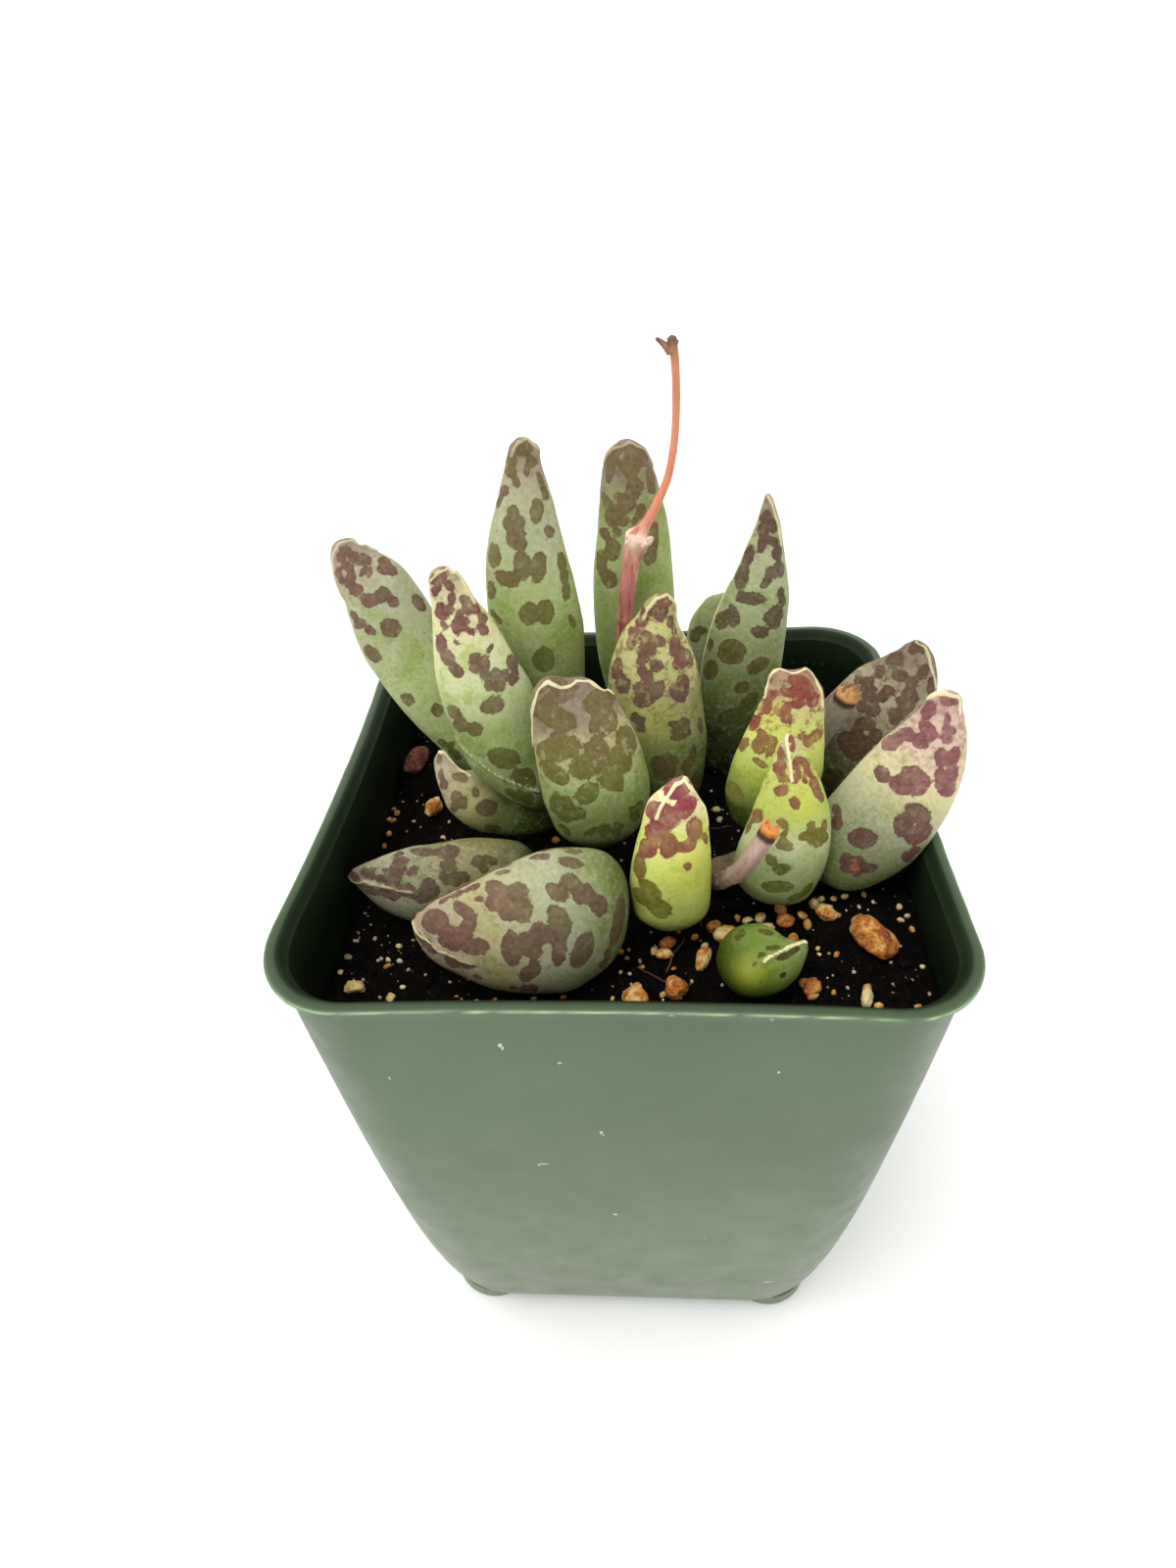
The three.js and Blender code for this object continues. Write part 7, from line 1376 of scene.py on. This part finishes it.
stem_piece("cut_stalk_back", 110, 32, stub_shape, stub_material("cut_stalk_back_skin", (srgb(96, 84, 66), srgb(128, 122, 106), srgb(150, 140, 124)), (srgb(158, 112, 70), srgb(196, 146, 92)), srgb(180, 172, 156), 0.95), extra=fibres_at("cut_stalk_back", 16, 5, 1.5, 0.8), ends=(0.05, 0.02))
stem_piece("cut_stalk_front", 110, 32, stub_shape, stub_material("cut_stalk_front_skin", (srgb(112, 84, 66), srgb(168, 140, 122), srgb(190, 158, 142)), (srgb(196, 118, 56), srgb(226, 150, 78)), srgb(212, 192, 176), 0.93), extra=fibres_at("cut_stalk_front", 20, 6, 0.95), ends=(0.05, 0.02))

# ---------------------------------------------------------------- stones
def stone_material(name, shift, stops):
    N = Nodes(name, Roughness=0.85, Specular_IOR_Level=0.3)
    a, b, c = N.noise(0.42, 3, 0.6, 0.6), N.noise(1.7, 4, 0.65), N.voronoi(1.9)
    v = N.math("ADD", N.math("MULTIPLY", a, 0.62), N.math("MULTIPLY_ADD", b, 0.38, shift))
    col = N.ramp(v, stops)
    col = N.mix(N.smooth(c, 0.14, 0.04, 0, 0.55), col, srgb(92, 52, 26))
    col = N.mix(N.smooth(N.noise(5.0, 3), 0.6, 0.75, 0, 0.45), col, srgb(244, 230, 190))
    return N.set(Base_Color=col, Roughness=N.lin(b, 0.3, 0.8, 0.7, 0.95), Normal=N.bump(N.math("ADD", a, b), 0.3, 1.0))


CRUST = [(0.34, srgb(222, 204, 146)), (0.43, srgb(206, 178, 112)), (0.48, srgb(196, 144, 72)), (0.53, srgb(182, 114, 40)), (0.6, srgb(140, 76, 28)), (0.7, srgb(90, 44, 22))]
GRIT = {
    "orange": stone_material("stone_orange", 0.05, CRUST),
    "tan": stone_material("stone_tan", -0.02, CRUST),
    "pale": stone_material("stone_pale", -0.1, CRUST),
    "yellow": stone_material("stone_yellow", -0.04, CRUST),
    "red": stone_material("stone_red", 0.0, [(0.36, srgb(150, 104, 70)), (0.5, srgb(112, 66, 44)), (0.62, srgb(74, 38, 28))]),
}
KIND = {"stone_big": "orange", "stone_under_leaf": "tan", "stone_front_tan": "tan", "stone_long_pale": "pale", "stone_thin_upright": "tan", "stone_small_yellow": "yellow", "stone_front_left": "tan",
        "stone_front_orange": "orange", "stone_orange_right": "orange", "stone_by_bud": "orange", "stone_edge_pointed": "pale", "stone_back_red": "red", "stone_left_tan": "tan", "stone_left_corner": "tan", "stone_behind_bud": "pale"}
FOOTPRINTS = []
for _n, (x, y, l, w, h, turn, seed) in STONES.items():
    lo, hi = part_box(_n)
    c = (np.array(lo) + np.array(hi)) * 500 - AXIS
    P, q, tr, uv = lump(c, np.array([l, w, h]) * 1.06, turn, 300 + seed, 48, 30, 12, 0.24, 0.6)
    o = new_object(_n + "_piece", place(P), q, tr, uv)
    finish_piece(o, GRIT[KIND[_n]], _n)
    FOOTPRINTS.append((c[0], c[1], c[2] - h, l, w, turn))
    STONE_OVER.append(P)

# ---------------------------------------------------------------- soil
soil_height = lambda x: 61.7 + 0.070 * x + 0.0011 * x * x
CELL = 0.6
_grid = {}
for X in OVER:
    X = X[(np.abs(X[:, 0]) < 31) & (np.abs(X[:, 1]) < 31)]
    for i, j, zz in zip((X[:, 0] // CELL).astype(int), (X[:, 1] // CELL).astype(int), X[:, 2]):
        if zz < _grid.get((i, j), 99):
            _grid[(i, j)] = zz
CEIL = np.full((110, 110), 99.0)
for (i, j), zz in _grid.items():
    if 0 <= i + 55 < 110 and 0 <= j + 55 < 110:
        CEIL[i + 55, j + 55] = zz
_m = CEIL.copy()
for di in (-1, 0, 1):
    for dj in (-1, 0, 1):
        _m = np.minimum(_m, np.roll(np.roll(CEIL, di, 0), dj, 1))
CEIL = _m


def ceiling(x, y):
    return CEIL[np.clip((x // CELL).astype(int) + 55, 0, 109), np.clip((y // CELL).astype(int) + 55, 0, 109)]


def soil_z(x, y):
    x, y = np.asarray(x, float), np.asarray(y, float)
    Q = np.stack([x, y, 0 * x], -1)
    d = 0.5 * fbm(Q * 0.22, 91, 2) + 0.55 * fbm(Q * 0.75, 92, 3) + 0.2 * fbm(Q * 2.2, 93, 2)
    z = soil_height(x) + d
    for cx, cy, cz, l, w, turn in FOOTPRINTS:
        a = math.radians(turn)
        u, v = (x - cx) * math.cos(a) + (y - cy) * math.sin(a), -(x - cx) * math.sin(a) + (y - cy) * math.cos(a)
        r = np.hypot(u / l, v / w)
        k = 1 - step(r, 0.75, 1.5)
        z = z * (1 - k) + (cz + 0.35 + 0.1 * noise(Q * 1.5, 94)) * k
    return np.minimum(z, ceiling(x, y) - 0.12)


def make_soil():
    inner = WALL + 0.06
    z0 = FOOT + FLOOR + 0.35
    rings = [contour(outer_half(z0) - 1.3 - 0.7, BBR - 1.3, 0, z0)]
    for s in (0.07, 0.14, 0.25, 0.4, 0.6, 0.8):
        z = FOOT + (WTOP - FOOT) * s
        rings.append(contour(outer_half(z) - 1.25, outer_rad(z) - 1.25, sag_at(z), z))
    e = contour(outer_half(61.7) - inner, outer_rad(61.7) - inner, sag_at(61.7), 0)
    top = np.array([contour(outer_half(soil_height(p[0])) - inner - 0.05, outer_rad(soil_height(p[0])) - inner, sag_at(soil_height(p[0])), 0)[i] for i, p in enumerate(e)])
    nr = 84
    for k in np.linspace(1, 0.012, nr) ** 0.85:
        x, y = top[:, 0] * k, top[:, 1] * k
        z = soil_z(x, y)
        if k > 0.985:
            z = z - 0.15
        rings.append(np.stack([x, y, z], 1))
    R = np.stack(rings)
    P, q, tr, _ = loft(R, [0, 0, z0], [0, 0, float(soil_z([0.0], [0.0])[0])])
    # a planar map from above, worked out here but not put on the mesh
    loops = np.concatenate([q.ravel(), tr.ravel()])
    L = P[loops]
    uv = np.stack([0.5 + L[:, 0] / 66, 0.5 + L[:, 1] / 66], 1)
    o = new_object("soil_body", place(P), q, tr, None)
    return o


def soil_material(name, lift=0.0):
    N = Nodes(name, Roughness=0.95, Specular_IOR_Level=0.08)
    a, b, c = N.noise(0.35, 4, 0.6), N.noise(1.8, 5, 0.7), N.voronoi(1.3)
    col = N.mix(N.smooth(a, 0.3, 0.7), srgb(3, 2, 1), srgb(10, 7, 5))
    col = N.mix(N.smooth(b, 0.5, 0.75, 0, 0.8), col, srgb(27 + lift, 18 + lift, 12 + lift))
    col = N.mix(N.smooth(c, 0.3, 0.05, 0, 0.6), col, srgb(4, 3, 2))
    col = N.mix(N.smooth(N.noise(5, 2), 0.68, 0.76, 0, 0.6), col, srgb(120, 84, 58))
    return N.set(Base_Color=col, Roughness=N.lin(b, 0.3, 0.8, 0.85, 1.0), Normal=N.bump(N.math("ADD", a, b), 0.5, 1.0))


finish_piece(make_soil(), soil_material("peat"), "soil")

rng = np.random.default_rng(4242)


def free_spot(x, y, r):
    if max(abs(x), abs(y)) > 28.2 - r or (abs(x) > 22 and abs(y) > 22 and math.hypot(abs(x) - 21.5, abs(y) - 21.5) > 6.6 - r):
        return False
    return float(ceiling(np.array([x]), np.array([y]))[0]) > soil_height(x) + 1.0 + r


parts = []
while len(parts) < 620:
    x, y, r = rng.uniform(-28.5, 28.5), rng.uniform(-28.5, 28.5), rng.uniform(0.3, 1.0) ** 1.6
    r = 0.28 + 0.62 * r
    if not free_spot(x, y, r):
        continue
    if any(math.hypot(x - f[0], y - f[1]) < max(f[3], f[4]) * 0.9 + r * 0.4 for f in FOOTPRINTS):
        continue
    z = float(soil_z([x], [y])[0])
    parts.append(lump(np.array([x, y, z + 0.12 * r]), np.array([r, r * rng.uniform(0.6, 1), r * rng.uniform(0.5, 0.85)]), rng.uniform(0, 360), 1000 + len(parts), 9, 6, 9, 0.15, 0.72)[:3])
M = merge(parts)
finish_piece(new_object("soil_crumbs", place(M[0]), M[1], M[2]), soil_material("peat_crumbs", 14), None)

# root hairs and bark threads
parts = []
while len(parts) < 20:
    x, y = rng.uniform(-27, 27), rng.uniform(-27, 27)
    if not free_spot(x, y, 0.5):
        continue
    a, ln, n = rng.uniform(0, 2 * np.pi), rng.uniform(2.5, 7.0), 16
    pts, ok = [], True
    for i in range(n):
        a += rng.normal() * 0.22
        x += math.cos(a) * ln / n
        y += math.sin(a) * ln / n
        if not free_spot(x, y, 0.4):
            ok = False
            break
        pts.append([x, y, float(soil_z([x], [y])[0]) + 0.1 + 0.55 * math.sin(math.pi * i / n) * rng.uniform(0.5, 1)])
    if ok:
        p = np.array(pts)
        p[1:-1] = (p[:-2] + p[1:-1] * 2 + p[2:]) / 4
        parts.append(tube(p, np.full(n, rng.uniform(0.06, 0.16)) * (1 - 0.5 * np.linspace(0, 1, n) ** 2), 6)[:3])
M = merge(parts)
N = Nodes("bark_threads", Roughness=0.85)
a, b = N.noise(0.3, 3), N.noise(2.5, 3)
col = N.mix(N.smooth(a, 0.35, 0.65), srgb(44, 28, 18), srgb(74, 48, 30))
col = N.mix(N.smooth(b, 0.5, 0.7, 0, 0.5), col, srgb(104, 76, 52))
N.set(Base_Color=col, Roughness=N.lin(b, 0.3, 0.8, 0.75, 0.95), Normal=N.bump(b, 0.1, 0.8))
finish_piece(new_object("soil_fibres", place(M[0]), M[1], M[2]), N.mat, None)

# small loose grit, placed grain by grain
groups = {"t": [], "o": [], "w": [], "g": []}
for i, (x, y, s, kind) in enumerate(GRAINS):
    r = s / 2
    z = float(soil_z([x], [y])[0]) + 0.35 * r
    z = min(z, float(ceiling(np.array([x]), np.array([y]))[0]) - r - 0.1)
    groups[kind].append(lump(np.array([x, y, z]), np.array([r * 1.12, r * rng.uniform(0.7, 0.95), r * rng.uniform(0.65, 0.9)]), rng.uniform(0, 360), 5000 + i, 18, 12, 9, 0.18, 0.64)[:3])
looks = {"t": GRIT["tan"], "o": GRIT["orange"], "w": GRIT["pale"], "g": stone_material("stone_grey", -0.05, [(0.36, srgb(196, 186, 160)), (0.5, srgb(140, 128, 106)), (0.66, srgb(92, 80, 62))])}
names = {"t": "grit_tan", "o": "grit_orange", "w": "grit_pale", "g": "grit_grey"}
for kind, lst in groups.items():
    M = merge(lst)
    finish_piece(new_object(names[kind], place(M[0]), M[1], M[2]), looks[kind], None)

dust = []
while len(dust) < 760:
    x, y, r = rng.uniform(-28.6, 28.6), rng.uniform(-28.6, 28.6), 0.07 + 0.2 * rng.uniform(0, 1) ** 2.2
    if not free_spot(x, y, r):
        continue
    z = float(soil_z([x], [y])[0]) + 0.5 * r
    dust.append(lump(np.array([x, y, z]), np.array([r, r * rng.uniform(0.6, 1), r * 0.8]), rng.uniform(0, 360), 9000 + len(dust), 7, 5, 6, 0.1, 0.7)[:3])
M = merge(dust)
finish_piece(new_object("grit_dust", place(M[0]), M[1], M[2]), stone_material("stone_dust", -0.07, [(0.34, srgb(214, 206, 182)), (0.48, srgb(160, 138, 104)), (0.62, srgb(104, 76, 50))]), None)

# ---------------------------------------------------------------- camera at the photograph's place
yaw, pitch, roll = -0.08055, 0.68112, -0.05356
fw = np.array([math.sin(yaw) * math.cos(pitch), math.cos(yaw) * math.cos(pitch), -math.sin(pitch)])
right = np.array([math.cos(yaw), -math.sin(yaw), 0])
up = np.cross(right, fw)
r2 = math.cos(roll) * right + math.sin(roll) * up
u2 = -math.sin(roll) * right + math.cos(roll) * up
cam = bpy.data.objects.new("camera", bpy.data.cameras.new("camera"))
bpy.context.scene.collection.objects.link(cam)
M4 = Matrix.Identity(4)
for i in range(3):
    M4[i][0], M4[i][1], M4[i][2] = r2[i], u2[i], -fw[i]
eye = place([2.8151, -81.0541, 136.2166])
for i in range(3):
    M4[i][3] = eye[i]
cam.matrix_world = M4
cam.data.sensor_width = 36
cam.data.lens = 990.006 * 36 / 1600
cam.data.clip_start, cam.data.clip_end = 0.005, 20
bpy.context.scene.camera = cam

# ---------------------------------------------------------------- pale floor and sweep, soft studio light
rows = [(-1.5, 0.0), (0.7, 0.0)] + [(0.7 + 0.7 * math.sin(a), 0.7 - 0.7 * math.cos(a)) for a in np.radians(np.arange(6, 91, 6))] + [(1.4, 2.2)]
xs = np.linspace(-2.2, 2.2, 12)
P = np.array([[x, y, z - 0.0002] for y, z in rows for x in xs])
m = len(xs)
Q = np.array([[i * m + j, i * m + j + 1, (i + 1) * m + j + 1, (i + 1) * m + j] for i in range(len(rows) - 1) for j in range(m - 1)])
me = bpy.data.meshes.new("sweep")
me.from_pydata([tuple(p) for p in P], [], [tuple(map(int, f)) for f in Q])
me.shade_smooth()
sweep = bpy.data.objects.new("sweep", me)
bpy.context.scene.collection.objects.link(sweep)
N = Nodes("white_sweep", Roughness=0.9, Specular_IOR_Level=0.1)
g = N.noise(0.02, 2)
N.set(Base_Color=N.mix(N.smooth(g, 0.3, 0.7), srgb(247, 247, 246), srgb(250, 250, 249)))
me.materials.append(N.mat)

world = bpy.data.worlds.new("studio")
bpy.context.scene.world = world
world.use_nodes = True
world.node_tree.nodes["Background"].inputs[0].default_value = (1, 1, 1, 1)
world.node_tree.nodes["Background"].inputs[1].default_value = 1.0


def sun(name, direction, strength, angle, color=(1, 1, 1)):
    l = bpy.data.lights.new(name, "SUN")
    l.energy, l.angle, l.color = strength, math.radians(angle), color
    o = bpy.data.objects.new(name, l)
    bpy.context.scene.collection.objects.link(o)
    v = np.array(direction, float)
    from mathutils import Vector

    o.rotation_mode = "QUATERNION"
    o.rotation_quaternion = Vector(v).to_track_quat("-Z", "Y")
    return o


sun("key", (0.3, 0.22, -1.0), 1.55, 40)
bpy.context.scene.view_settings.view_transform = "Standard"
